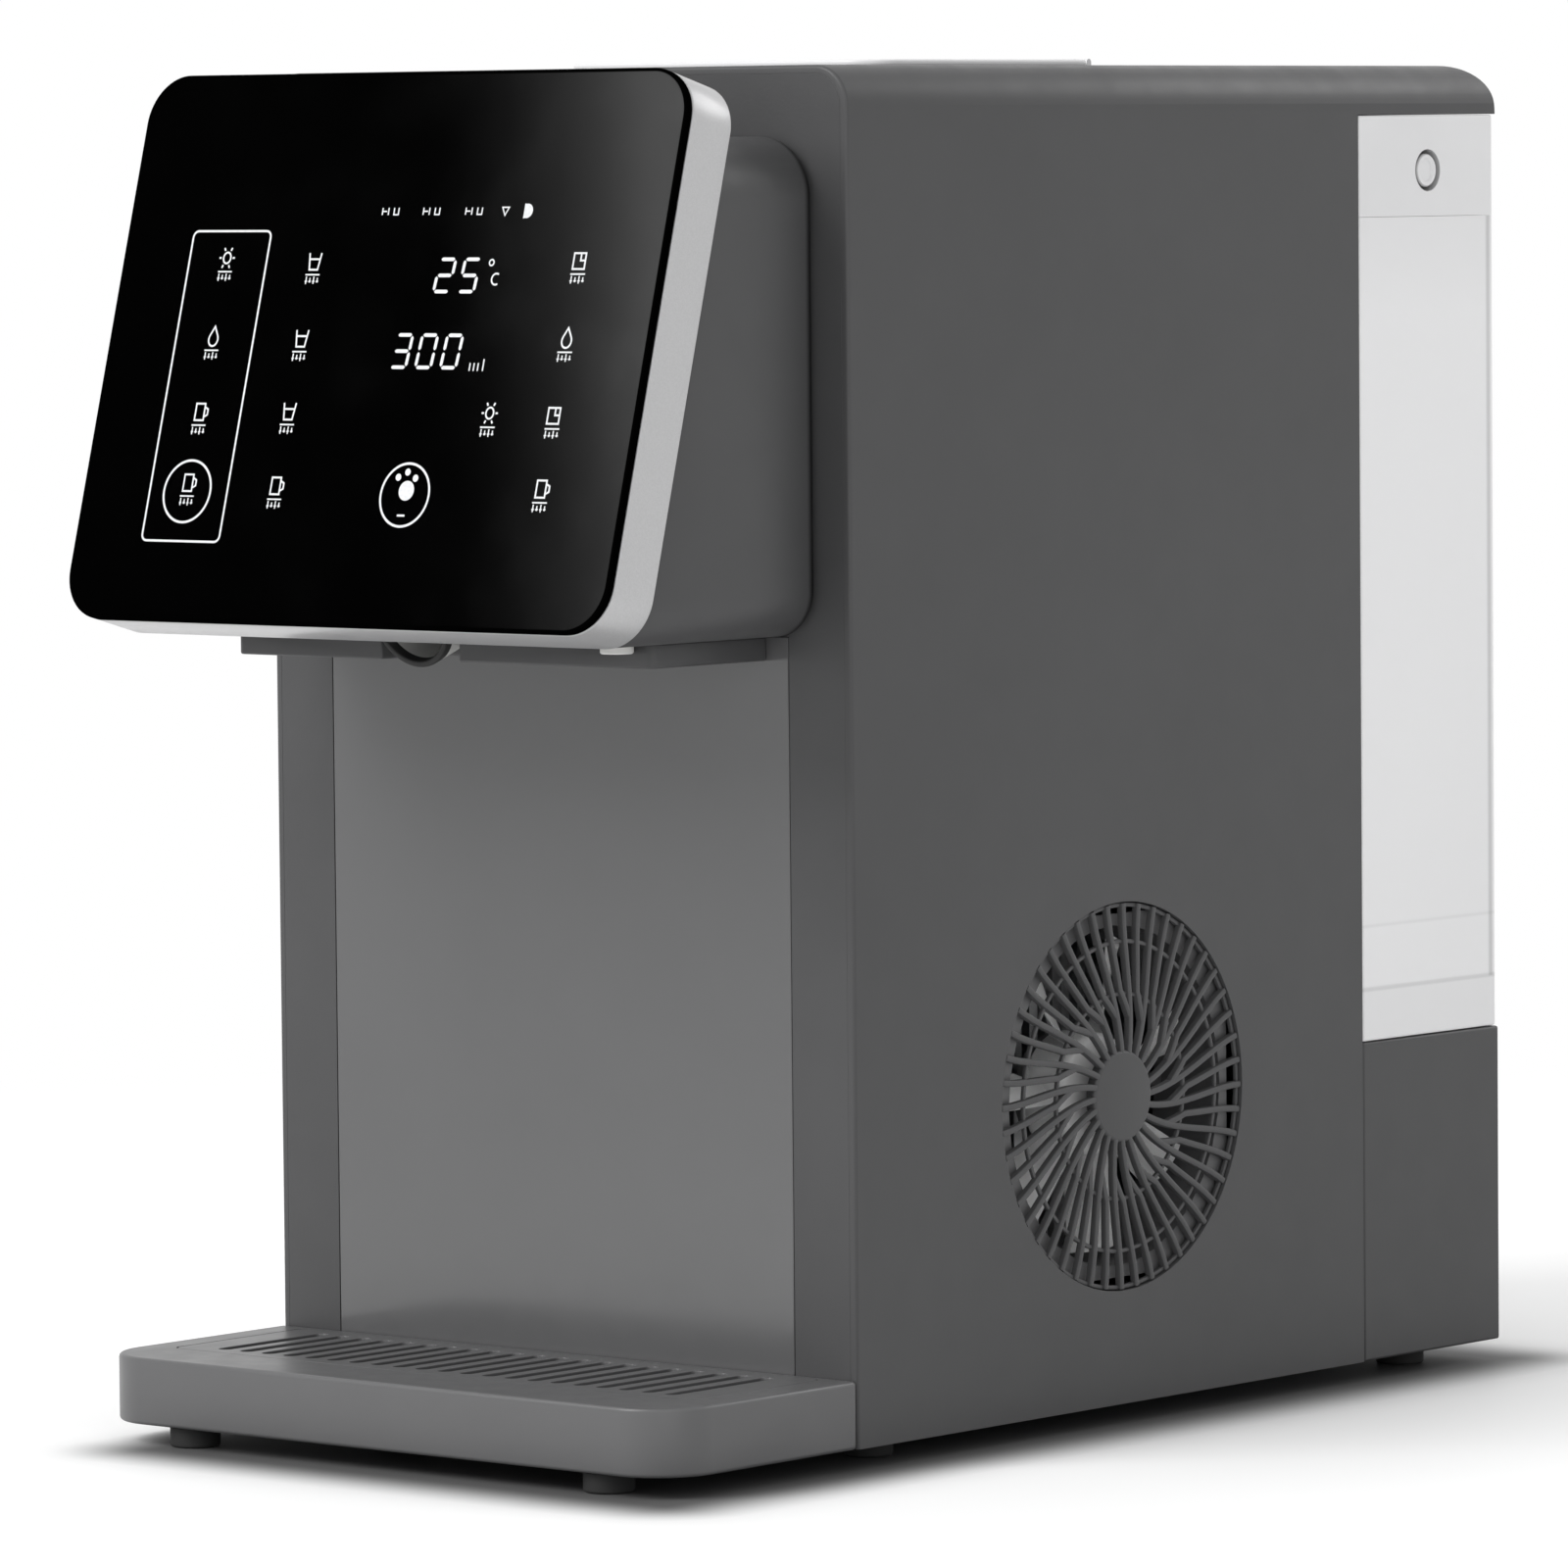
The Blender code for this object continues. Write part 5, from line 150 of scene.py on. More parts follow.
class IceMakerSizes(bpy.types.PropertyGroup):
    """Sizes of the finished surfaces."""

    edge_radius: bpy.props.FloatProperty(
        name="Top Edge Radius", description="Radius between the cabinet's sides and its top",
        default=0.012, min=0.004, max=0.02, unit="LENGTH",
    )
    rear_radius: bpy.props.FloatProperty(
        name="Rear Edge Radius", description="Radius between the cabinet's top and the tank bay",
        default=0.015, min=0.008, max=0.03, unit="LENGTH",
    )
    wall: bpy.props.FloatProperty(
        name="Wall", description="Wall of the moulded covers", default=0.0025, min=0.001, max=0.004,
        unit="LENGTH",
    )
    small_edge: bpy.props.FloatProperty(
        name="Small Edge", description="Rounding of the moulded edges", default=0.0005, min=0.0001,
        max=0.001, unit="LENGTH",
    )
    panel_corner: bpy.props.FloatProperty(
        name="Panel Corner", description="Corner radius of the control panel", default=0.015,
        min=0.005, max=0.03, unit="LENGTH",
    )
    panel_tilt: bpy.props.FloatProperty(
        name="Panel Tilt", description="Lean of the control panel", default=math.radians(15.16),
        min=0, max=1, unit="ROTATION",
    )
    icon_line: bpy.props.FloatProperty(
        name="Icon Line", description="Width of the lines of the panel's lit signs", default=0.00062,
        min=0.0002, max=0.002, unit="LENGTH",
    )
    rib_count: bpy.props.IntProperty(
        name="Ribs", description="Ribs that leave the hub of the side grille", default=24, min=8, max=40,
    )
    rib_width: bpy.props.FloatProperty(
        name="Rib Width", description="Width of the side grille's ribs", default=0.0021, min=0.0008,
        max=0.004, unit="LENGTH",
    )


class IceMakerFinish(bpy.types.PropertyGroup):
    """Colours of the finished surfaces, as six-digit colour codes."""

    cabinet: bpy.props.StringProperty(
        name="Cabinet", description="Dark grey plastic of the cabinet", default="4b4b4c",
    )
    tray: bpy.props.StringProperty(
        name="Tray", description="Grey plastic of the drip tray", default="5c5c5d",
    )
    backsplash: bpy.props.StringProperty(
        name="Backsplash", description="Glossy panel in the front's recess", default="5a5a5b",
    )
    silver: bpy.props.StringProperty(
        name="Silver", description="Painted frame of the control panel", default="bcbcbd",
    )
    tank: bpy.props.StringProperty(
        name="Tank", description="Milky plastic of the water tank", default="f4f4f5",
    )
    tank_lid: bpy.props.StringProperty(
        name="Tank Lid", description="Light plastic of the tank's lid", default="e8e8e9",
    )
    icon_light: bpy.props.FloatProperty(
        name="Icon Light", description="Brightness of the panel's signs", default=1.0, min=0, max=5,
    )


class IceMakerStage(bpy.types.PropertyGroup):
    """Studio round the machine."""

    floor: bpy.props.StringProperty(
        name="Floor", description="Colour of the studio floor", default="f4f4f4",
    )
    floor_lift: bpy.props.FloatProperty(
        name="Floor Lift", description="White that the eye sees on the floor beside its own light",
        default=0.4, min=0, max=1,
    )
    key_power: bpy.props.FloatProperty(
        name="Key Light", description="Power of the large lamp above the front", default=50, min=0,
        max=200, unit="POWER",
    )
    fill_power: bpy.props.FloatProperty(
        name="Fill Light", description="Power of the lamp at the camera's side", default=9, min=0,
        max=200, unit="POWER",
    )
    sky: bpy.props.FloatProperty(
        name="Even Light", description="Strength of the studio's even light", default=0.55, min=0, max=3,
    )
    distance: bpy.props.FloatProperty(
        name="Camera Distance", description="Camera's distance from the cabinet's front",
        default=2.8659, min=0.5, max=10, unit="LENGTH",
    )
    azimuth: bpy.props.FloatProperty(
        name="Camera Azimuth", description="Camera's turn to the machine's right",
        default=math.radians(39.969), unit="ROTATION",
    )


# Colours and materials


def linear(code):
    """Turn a six-digit sRGB colour code into a linear colour."""
    values = []
    for index in (0, 2, 4):
        level = int(code[index:index + 2], 16) / 255
        values.append(level / 12.92 if level <= 0.04045 else ((level + 0.055) / 1.055) ** 2.4)
    return (*values, 1.0)


def fill(tree, node, inputs):
    """Link sockets to a node's inputs, and set its other inputs to values."""
    for name, value in inputs.items():
        if isinstance(value, bpy.types.NodeSocket):
            tree.links.new(value, node.inputs[name])
        else:
            node.inputs[name].default_value = value


def add_node(tree, kind, inputs=None, **settings):
    """Add a shader node, set its properties, and set or link its inputs."""
    node = tree.nodes.new(kind)
    for name, value in settings.items():
        setattr(node, name, value)
    fill(tree, node, inputs or {})
    return node


def new_material(name, comment):
    """Start an empty node material with a Principled shader."""
    material = bpy.data.materials.new(name)
    material["finish"] = comment
    material.use_nodes = True
    tree = material.node_tree
    tree.nodes.clear()
    shader = add_node(tree, "ShaderNodeBsdfPrincipled")
    add_node(tree, "ShaderNodeOutputMaterial", {"Surface": shader.outputs["BSDF"]})
    return material, tree, shader


def place(tree):
    """Object coordinates in metres."""
    return add_node(tree, "ShaderNodeTexCoord").outputs["Object"]


def noise(tree, size, detail=2.0, coordinates=None):
    """Noise whose features are about as large as size, in metres."""
    return add_node(
        tree, "ShaderNodeTexNoise",
        {"Vector": coordinates or place(tree), "Scale": 1 / size, "Detail": detail, "Roughness": 0.55},
    ).outputs["Fac"]


def calc(tree, operation, *values):
    """Work out a sum with the Math node."""
    return add_node(tree, "ShaderNodeMath", dict(enumerate(values)), operation=operation).outputs[0]


def vector_calc(tree, operation, *values, output="Vector"):
    """Work out a sum of vectors, for a vector or for a single value."""
    inputs = dict(enumerate(values))
    return add_node(tree, "ShaderNodeVectorMath", inputs, operation=operation).outputs[output]


def blend(tree, factor, first, second, **settings):
    """Mix two colours with a factor."""
    inputs = {0: factor, 6: first, 7: second}
    return add_node(tree, "ShaderNodeMix", inputs, data_type="RGBA", **settings).outputs[2]


def ramp(tree, value, start, end, low=0.0, high=1.0, curve="LINEAR"):
    """Run from low to high while a value runs from start to end."""
    return add_node(tree, "ShaderNodeMapRange", {
        "Value": value, "From Min": start, "From Max": end, "To Min": low, "To Max": high,
    }, interpolation_type=curve).outputs["Result"]


def spread(tree, factor, low, high):
    """Map a noise factor, which keeps round one half, to a range."""
    return ramp(tree, factor, 0.3, 0.7, low, high)


def band(tree, value, centre, half, soft):
    """One within half of a centre along a value, falling to nothing over soft, all in metres."""
    away = calc(tree, "ABSOLUTE", calc(tree, "SUBTRACT", value, centre))
    return ramp(tree, away, half, half + soft, 1.0, 0.0)


def axes_of(tree):
    """The three Object coordinates, in metres."""
    return add_node(tree, "ShaderNodeSeparateXYZ", {"Vector": place(tree)}).outputs


def length_of(tree, vector):
    """The length of a vector socket."""
    return vector_calc(tree, "LENGTH", vector, output="Value")


def past_box(tree, distances, halves):
    """How far a point lies past a box, from its distances to the box's middle planes."""
    parts = []
    for distance, half in zip(distances, halves):
        past = calc(tree, "SUBTRACT", calc(tree, "ABSOLUTE", distance), half)
        parts.append(calc(tree, "MAXIMUM", past, 0.0))
    gap = add_node(tree, "ShaderNodeCombineXYZ", {"X": parts[0], "Y": parts[1]})
    return length_of(tree, gap.outputs[0])


def node_of(tree, kind):
    """The one node of a kind."""
    return next(node for node in tree.nodes if node.bl_idname == kind)


def mottled(tree, colour, factor, amount):
    """Lighten and darken a colour a little with a factor."""
    dark = tuple(c * (1 - amount) for c in colour[:3]) + (1.0,)
    light = tuple(min(c * (1 + amount), 1) for c in colour[:3]) + (1.0,)
    return blend(tree, factor, dark, light)


def shade(tree, colour, factor, amount):
    """Darken a colour socket by an amount where a factor is one."""
    left = 1 - amount
    return blend(tree, factor, colour, (left, left, left, 1.0), blend_type="MULTIPLY")


def bump(tree, height, depth, strength=0.5):
    """Turn a height into a normal, with its depth in metres."""
    return add_node(
        tree, "ShaderNodeBump", {"Height": height, "Distance": depth, "Strength": strength}
    ).outputs["Normal"]


def darken(material, factor, amount):
    """Darken a finished material's colour by an amount where a factor is one."""
    tree = material.node_tree
    shader = node_of(tree, "ShaderNodeBsdfPrincipled")
    colour = shader.inputs["Base Color"].links[0].from_socket
    tree.links.new(shade(tree, colour, factor, amount), shader.inputs["Base Color"])


def plastic(name, comment, code, roughness, grain=0.0006, depth=0.00002, mottle=0.03, coat=0.0, shine=0.5):
    """Moulded plastic: fine grain, faint mottle and uneven gloss."""
    material, tree, shader = new_material(name, comment)
    clouds = spread(tree, noise(tree, 0.045, 3), 0, 1)
    fill(tree, shader, {
        "Base Color": mottled(tree, linear(code), clouds, mottle),
        "Roughness": spread(tree, noise(tree, 0.012, 3), roughness - 0.04, roughness + 0.04),
        "Normal": bump(tree, noise(tree, grain, 2), depth),
        "Specular IOR Level": shine, "Coat Weight": coat, "Coat Roughness": 0.12,
    })
    return material


def metal(name, comment, code, roughness, size=0.004, direction=(1, 1, 1)):
    """Bare metal: brushed or rolled along one direction."""
    material, tree, shader = new_material(name, comment)
    stretch = add_node(tree, "ShaderNodeMapping", {"Vector": place(tree), "Scale": direction}).outputs[0]
    lines = noise(tree, size, 3, stretch)
    clouds = spread(tree, noise(tree, 0.02, 3), 0, 1)
    fill(tree, shader, {
        "Base Color": mottled(tree, linear(code), clouds, 0.06), "Metallic": 1.0,
        "Roughness": spread(tree, lines, roughness - 0.07, roughness + 0.07),
        "Normal": bump(tree, lines, 0.00001),
    })
    return material


def finish_settings():
    """The finish settings of the scene."""
    return bpy.context.scene.ice_maker_finish


def size_settings():
    """The size settings of the scene."""
    return bpy.context.scene.ice_maker_sizes


def cached(name, maker):
    """A material by name, made once."""
    return bpy.data.materials.get(name) or maker(name)


def fine_cabinet_grain(name):
    """The cabinet's plastic under a name of its own."""
    return plastic(
        name, "moulded ABS, satin with a fine grain", finish_settings().cabinet, roughness=0.42,
        grain=0.0007, depth=0.00003, shine=0.3,
    )


def cabinet_plastic():
    """Dark grey ABS with a fine spark-eroded grain."""
    return cached("Dark grey ABS, fine grain", fine_cabinet_grain)


def head_plastic():
    """The cabinet's plastic on the head, with painted shade in the seam where it meets the front."""
    def make(name):
        material = fine_cabinet_grain(name)
        tree = material.node_tree
        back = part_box("head_housing")[1].y
        # Painted shade: a darker band along the head's back edge stands in for the shadow in the seam
        # against the front plate.
        darken(material, band(tree, axes_of(tree)["Y"], back, 0.0026, 0.0018), 0.85)
        return material
    return cached("Dark grey ABS, head, painted seam shade", make)


def fascia_plastic():
    """The same plastic with a coarser grain, on the upright front."""
    return cached("Dark grey ABS, front", lambda name: plastic(
        name, "moulded ABS, satin with a coarser grain", finish_settings().cabinet, roughness=0.40,
        grain=0.0012, depth=0.00006, mottle=0.05, shine=0.3,
    ))


def tray_plastic():
    """Grey ABS of the drip tray."""
    return cached("Mid grey ABS", lambda name: plastic(
        name, "moulded ABS, satin", finish_settings().tray, roughness=0.38,
    ))


def backsplash_plastic():
    """Glossy panel that can be wiped."""
    return cached("Glossy grey acrylic", lambda name: plastic(
        name, "polished acrylic sheet", finish_settings().backsplash, roughness=0.17, grain=0.02,
        mottle=0.02, coat=0.4,
    ))


def silver_paint():
    """Silver paint with a fine metal flake."""
    def make(name):
        material, tree, shader = new_material(name, "silver paint with fine flakes under a clear coat")
        cells = add_node(tree, "ShaderNodeTexVoronoi", {"Vector": place(tree), "Scale": 2500.0})
        flake = add_node(tree, "ShaderNodeSeparateColor", {"Color": cells.outputs["Color"]}).outputs[0]
        fill(tree, shader, {
            "Base Color": mottled(tree, linear(finish_settings().silver), flake, 0.05),
            "Roughness": spread(tree, flake, 0.34, 0.42), "Metallic": 0.35,
            "Coat Weight": 0.3, "Coat Roughness": 0.2,
        })
        return material
    return cached("Silver paint", make)


def panel_border(tree, width, soft):
    """One inside the panel's outline, falling to nothing within a width of its edge."""
    plane = MACHINE @ panel_plane()
    radius = size_settings().panel_corner
    away = vector_calc(tree, "SUBTRACT", place(tree), plane.translation)
    distances = [
        vector_calc(tree, "DOT_PRODUCT", away, plane.col[axis].xyz, output="Value") for axis in (0, 1)
    ]
    reach = past_box(tree, distances, (PANEL_HALF_X - radius, PANEL_HALF_Y - radius))
    return ramp(tree, reach, radius - width - soft, radius - width, 1.0, 0.0)


def black_glass():
    """Tempered glass printed black on its back, matt along its edge."""
    def make(name):
        material, tree, shader = new_material(name, "tempered glass, printed black on its back")
        fill(tree, shader, {
            "Base Color": linear("020202"), "Roughness": spread(tree, noise(tree, 0.03, 4), 0.03, 0.07),
            "Normal": bump(tree, noise(tree, 0.08, 1), 0.00004, 0.15),
            "Specular IOR Level": calc(
                tree, "MULTIPLY", panel_border(tree, width=0.0010, soft=0.0003), 0.74
            ),
        })
        return material
    return cached("Black printed glass", make)


def lit_sign():
    """White light through clear windows in the print."""
    def make(name):
        material, tree, shader = new_material(name, "diffused white light behind the print")
        glow = finish_settings().icon_light
        fill(tree, shader, {
            "Base Color": linear("101010"), "Emission Color": linear("f6f8fa"),
            "Emission Strength": spread(tree, noise(tree, 0.0015, 2), glow * 0.88, glow * 1.06),
        })
        return material
    return cached("Lit white sign", make)


def tank_plastic():
    """Milky tank: light, with the rear wall, the floor and a guide showing through as faint bands."""
    def make(name):
        material, tree, shader = new_material(name, "milky translucent SAN plastic")
        low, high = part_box("tank_body")
        floor = low.z + 0.0165
        guide = low.z + 0.0365
        rear_wall = high.y - 0.0042
        axes = axes_of(tree)
        depth, height = axes["Y"], axes["Z"]
        colour = mottled(tree, linear(finish_settings().tank), noise(tree, 0.12, 1), 0.008)
        colour = shade(tree, colour, ramp(tree, height, high.z - 0.03, high.z), 0.07)
        colour = shade(tree, colour, ramp(tree, height, floor + 0.0005, floor), 0.06)
        above = ramp(tree, height, floor - 0.0005, floor)
        line = calc(tree, "MULTIPLY", band(tree, depth, rear_wall, 0.0004, 0.0012), above)
        colour = shade(tree, colour, line, 0.28)
        colour = shade(tree, colour, band(tree, height, floor, 0.0004, 0.0006), 0.16)
        colour = shade(tree, colour, band(tree, height, guide, 0.0002, 0.0006), 0.08)
        fill(tree, shader, {
            "Base Color": colour, "Roughness": 0.28,
            "Normal": bump(tree, noise(tree, 0.0009, 1), 0.00001, 0.2),
            "Subsurface Weight": 0.08, "Subsurface Radius": (0.01, 0.01, 0.011),
            "Subsurface Scale": 0.2,
        })
        return material
    return cached("Milky SAN plastic", make)


def tank_lid_plastic():
    """Light grey plastic of the lids, with painted shade in the groove round the handle's boss."""
    def make(name):
        material = plastic(
            name, "moulded ABS, satin", finish_settings().tank_lid, roughness=0.33, grain=0.0008,
            mottle=0.02,
        )
        tree = material.node_tree
        pivot = MACHINE @ Vector((0, centre_of("tank_lid").y, HANDLE_Z))
        moved = vector_calc(tree, "SUBTRACT", place(tree), pivot)
        flat = vector_calc(tree, "MULTIPLY", moved, (0.0, 1.0, 1.0))
        # Painted shade: a dark ring round the handle's pivot stands in for the shadow in the groove round
        # the boss.
        darken(material, band(tree, length_of(tree, flat), 0.0058, 0.0005, 0.0006), 0.6)
        return material
    return cached("Light grey ABS, painted groove shade", make)


def rubber():
    """Black rubber of the feet, the chute's lip and the plug."""
    return cached("Black rubber", lambda name: plastic(
        name, "moulded rubber, matt", "262626", roughness=0.75, grain=0.0009, depth=0.00006, mottle=0.08,
    ))


def black_plastic():
    """Black polypropylene of the pump, the gate and the socket."""
    return cached("Black polypropylene", lambda name: plastic(
        name, "moulded polypropylene", "242425", roughness=0.5, grain=0.0009, depth=0.00004, mottle=0.06,
    ))


def fan_plastic():
    """Pale plastic of the fan's blades, which show through the grille."""
    return cached("Pale grey polypropylene", lambda name: plastic(
        name, "moulded polypropylene, pale", "f2f2f2", roughness=0.4, grain=0.0009, depth=0.00003,
        mottle=0.04,
    ))


def duct_plastic():
    """Grey plastic of the fan's duct."""
    return cached("Grey polypropylene", lambda name: plastic(
        name, "moulded polypropylene, grey", "5c5c5d", roughness=0.45, grain=0.0009, depth=0.00003,
        mottle=0.04,
    ))


def white_plastic():
    """White food-safe plastic."""
    return cached("White polypropylene", lambda name: plastic(
        name, "moulded food-safe polypropylene", "dcdcd9", roughness=0.42, grain=0.0008, depth=0.00003,
    ))


def board():
    """Circuit board under green solder mask with pads."""
    def make(name):
        material, tree, shader = new_material(name, "green solder mask with tinned pads")
        cells = add_node(tree, "ShaderNodeTexVoronoi", {"Vector": place(tree), "Scale": 260.0})
        pad = calc(tree, "LESS_THAN", cells.outputs["Distance"], 0.22)
        fill(tree, shader, {
            "Base Color": blend(tree, pad, linear("1c5a34"), linear("b9bab8")), "Metallic": pad,
            "Roughness": 0.4,
        })
        return material
    return cached("Green circuit board", make)


def black_enamel():
    """Baked black enamel of the compressor."""
    return cached("Black enamel", lambda name: plastic(
        name, "baked enamel on steel", "1b1b1c", roughness=0.28, grain=0.003, depth=0.00008, mottle=0.05,
        coat=0.3,
    ))


def galvanised():
    """Galvanised sheet."""
    return cached("Galvanised sheet", lambda name: metal(
        name, "hot-dipped galvanised sheet", "a9abad", roughness=0.45, size=0.008,
    ))


def zinc_steel():
    """Zinc plated steel."""
    return cached("Zinc plated steel", lambda name: metal(
        name, "bright zinc plate", "b4b6b8", roughness=0.34, size=0.003,
    ))


def stainless():
    """Brushed stainless steel."""
    return cached("Brushed stainless steel", lambda name: metal(
        name, "brushed stainless steel", "c0c1c3", roughness=0.28, size=0.0012, direction=(1, 12, 1),
    ))


def aluminium():
    """Rolled aluminium of the condenser's fins."""
    return cached("Rolled aluminium", lambda name: metal(
        name, "rolled aluminium foil", "c9cacb", roughness=0.36, size=0.002, direction=(1, 1, 9),
    ))


def copper():
    """Drawn copper tube, a little dull."""
    return cached("Drawn copper", lambda name: metal(
        name, "drawn copper, slightly dull", "c07a55", roughness=0.32, size=0.004,
    ))


def silicone():
    """Silicone hose."""
    return cached("Silicone hose", lambda name: plastic(
        name, "extruded silicone", "c9cac8", roughness=0.4, grain=0.0012, depth=0.00003,
    ))


# Outlines


def arc(centre_x, centre_y, radius, start, end, steps):
    """Points on an arc, both ends included."""
    points = []
    for step in range(steps + 1):
        angle = start + (end - start) * step / steps
        points.append((centre_x + radius * math.cos(angle), centre_y + radius * math.sin(angle)))
    return points


def circle(centre_x, centre_y, radius, steps=64):
    """A closed circle."""
    return arc(centre_x, centre_y, radius, 0, math.tau * (steps - 1) / steps, steps - 1)


def rounded(left, right, low, high, radii, steps=8):
    """A rectangle with radii at bottom left, bottom right, top right and top left."""
    corners = [(left, low), (right, low), (right, high), (left, high)]
    signs = [(1, 1), (-1, 1), (-1, -1), (1, -1)]
    points = []
    for index, (corner, sign, radius) in enumerate(zip(corners, signs, radii)):
        if radius == 0:
            points.append(corner)
            continue
        centre_x = corner[0] + sign[0] * radius
        centre_y = corner[1] + sign[1] * radius
        start = math.pi + index * math.pi / 2
        points.extend(arc(centre_x, centre_y, radius, start, start + math.pi / 2, steps))
    return points


def slot(centre_x, centre_y, width, length, steps=8):
    """An upright slot with round ends."""
    radius = width / 2
    reach = length / 2 - radius
    top = arc(centre_x, centre_y + reach, radius, 0, math.pi, steps)
    return top + arc(centre_x, centre_y - reach, radius, math.pi, math.tau, steps)


# How the flat outlines of the three views stand in the machine
FRONT = Matrix(((1, 0, 0), (0, 0, 1), (0, 1, 0))).to_4x4()
SIDE = Matrix(((0, 0, 1), (1, 0, 0), (0, 1, 0))).to_4x4()
PLAN = Matrix.Identity(4)


def panel_plane():
    """The slanted plane between glass and frame, its middle as the origin."""
    turn = Matrix.Rotation(math.pi / 2 - size_settings().panel_tilt, 4, "X")
    glass = centre_of("touch_glass")
    middle = Vector((0, glass.y, glass.z)) - turn @ Vector((0, 0, GLASS_THICKNESS / 2))
    return Matrix.Translation(middle) @ turn


# Meshes


def prism(bm, loop, low, high, view=PLAN):
    """Extrude an outline from low to high along its view's depth."""
    face = bm.faces.new([bm.verts.new(view @ Vector((x, y, low))) for x, y in loop])
    made = bmesh.ops.extrude_face_region(bm, geom=[face])
    shift = view.to_3x3() @ Vector((0, 0, high - low))
    moved = [item for item in made["geom"] if isinstance(item, bmesh.types.BMVert)]
    bmesh.ops.translate(bm, vec=shift, verts=moved)


def block(bm, low, high):
    """Add a box between two corners."""
    made = bmesh.ops.create_cube(bm, size=1)
    bmesh.ops.scale(bm, vec=Vector(high) - Vector(low), verts=made["verts"])
    bmesh.ops.translate(bm, vec=(Vector(high) + Vector(low)) / 2, verts=made["verts"])


def drum(bm, start, end, radius, segments=48):
    """Add a cylinder between two points."""
    run = Vector(end) - Vector(start)
    turn = run.to_track_quat("Z", "Y").to_matrix().to_4x4()
    bmesh.ops.create_cone(
        bm, cap_ends=True, segments=segments, radius1=radius, radius2=radius, depth=run.length,
        matrix=Matrix.Translation((Vector(start) + Vector(end)) / 2) @ turn,
    )


def linked(verts):
    """All vertices that edges join to the given ones."""
    found = set(verts)
    stack = list(verts)
    while stack:
        for edge in stack.pop().link_edges:
            for vert in edge.verts:
                if vert not in found:
                    found.add(vert)
                    stack.append(vert)
    return list(found)


def turned(bm, profile, matrix, steps=48):
    """Spin a profile of (radius, height) round local Z and place it."""
    verts = [bm.verts.new((radius, 0, height)) for radius, height in profile]
    edges = [bm.edges.new(pair) for pair in zip(verts, verts[1:])]
    bmesh.ops.spin(
        bm, geom=verts + edges, cent=(0, 0, 0), axis=(0, 0, 1), angle=math.tau, steps=steps,
        use_merge=True,
    )
    form = linked(verts)
    bmesh.ops.transform(bm, matrix=matrix, verts=form)
    bmesh.ops.remove_doubles(bm, verts=form, dist=1e-6)


def loft(bm, rings):
    """Skin rings of as many points each, one after the other, and close both ends."""
    face = bm.faces.new([bm.verts.new(point) for point in rings[0]])
    for ring in rings[1:]:
        made = bmesh.ops.extrude_face_region(bm, geom=[face, *face.edges])
        face = next(item for item in made["geom"] if isinstance(item, bmesh.types.BMFace))
        for vert, point in zip(face.verts, ring):
            vert.co = point


def join(bm, other):
    """Add a mesh to another without touching either."""
    mesh = bpy.data.meshes.new("temporary")
    other.to_mesh(mesh)
    other.free()
    bm.from_mesh(mesh)
    bpy.data.meshes.remove(mesh)


def bevel_edges(bm, edges, width, segments=4):
    """Round some edges of a mesh."""
    bmesh.ops.bevel(
        bm, geom=edges, offset=width, offset_type="OFFSET", segments=segments, profile=0.5,
        affect="EDGES", clamp_overlap=True, material=-1,
    )


def sharp_edges(bm):
    """Edges whose two faces meet at a sharp angle."""
    return [edge for edge in bm.edges if len(edge.link_faces) == 2 and edge.calc_face_angle(0) > SHARP]


def keep_flats(bm):
    """Crease the small bevels that border a wide flat face, so that the flat keeps its own normal."""
    narrow = 0.0009
    for edge in bm.edges:
        if len(edge.link_faces) != 2 or edge.calc_face_angle(0) < math.radians(9):
            continue
        widths = [face.calc_area() / face.calc_perimeter() for face in edge.link_faces]
        if max(widths) > narrow and min(widths) < narrow:
            edge.smooth = False


def piece(name, bm, material, body="cabinet", nodes=(), smooth=True):
    """Make the finished object of a mesh, place it in the world and attach it to its body."""
    bmesh.ops.recalc_face_normals(bm, faces=bm.faces)
    for face in bm.faces:
        face.smooth = smooth
    for edge in bm.edges:
        edge.smooth = edge.calc_face_angle(0) < CURVED
    keep_flats(bm)
    mesh = bpy.data.meshes.new(name)
    bm.to_mesh(mesh)
    bm.free()
    mesh.transform(MACHINE)
    item = bpy.data.objects.new(name, mesh)
    bpy.context.scene.collection.objects.link(item)
    mesh.materials.append(material)
    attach(item, body)
    if nodes:
        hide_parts(*nodes)
    return item


def temporary(bm):
    """Put a mesh in the scene for a Boolean."""
    bmesh.ops.recalc_face_normals(bm, faces=bm.faces)
    mesh = bpy.data.meshes.new("temporary")
    bm.to_mesh(mesh)
    item = bpy.data.objects.new("temporary", mesh)
    bpy.context.scene.collection.objects.link(item)
    return item


def combine(bm, steps):
    """Cut, join or intersect a mesh with others, in order. Each step is (operation, mesh)."""
    target = temporary(bm)
    bm.free()
    tools = []
    for operation, other in steps:
        tool = temporary(other)
        other.free()
        modifier = target.modifiers.new("Boolean", "BOOLEAN")
        modifier.operation = operation
        modifier.solver = "EXACT"
        modifier.object = tool
        tools.append(tool)
    graph = bpy.context.evaluated_depsgraph_get()
    mesh = bpy.data.meshes.new_from_object(target.evaluated_get(graph))
    result = bmesh.new()
    result.from_mesh(mesh)
    bpy.data.meshes.remove(mesh)
    for item in [target, *tools]:
        data = item.data
        bpy.data.objects.remove(item, do_unlink=True)
        bpy.data.meshes.remove(data)
    return result


def merge_flats(bm):
    """Merge neighbouring faces that lie in one plane."""
    bmesh.ops.dissolve_limit(bm, angle_limit=FLAT, verts=bm.verts, edges=bm.edges, delimit=set())


def tidy_edges(bm, width, segments=2):
    """Merge flat neighbours, then round the sharp edges."""
    merge_flats(bm)
    bevel_edges(bm, sharp_edges(bm), width, segments)


# Cabinet


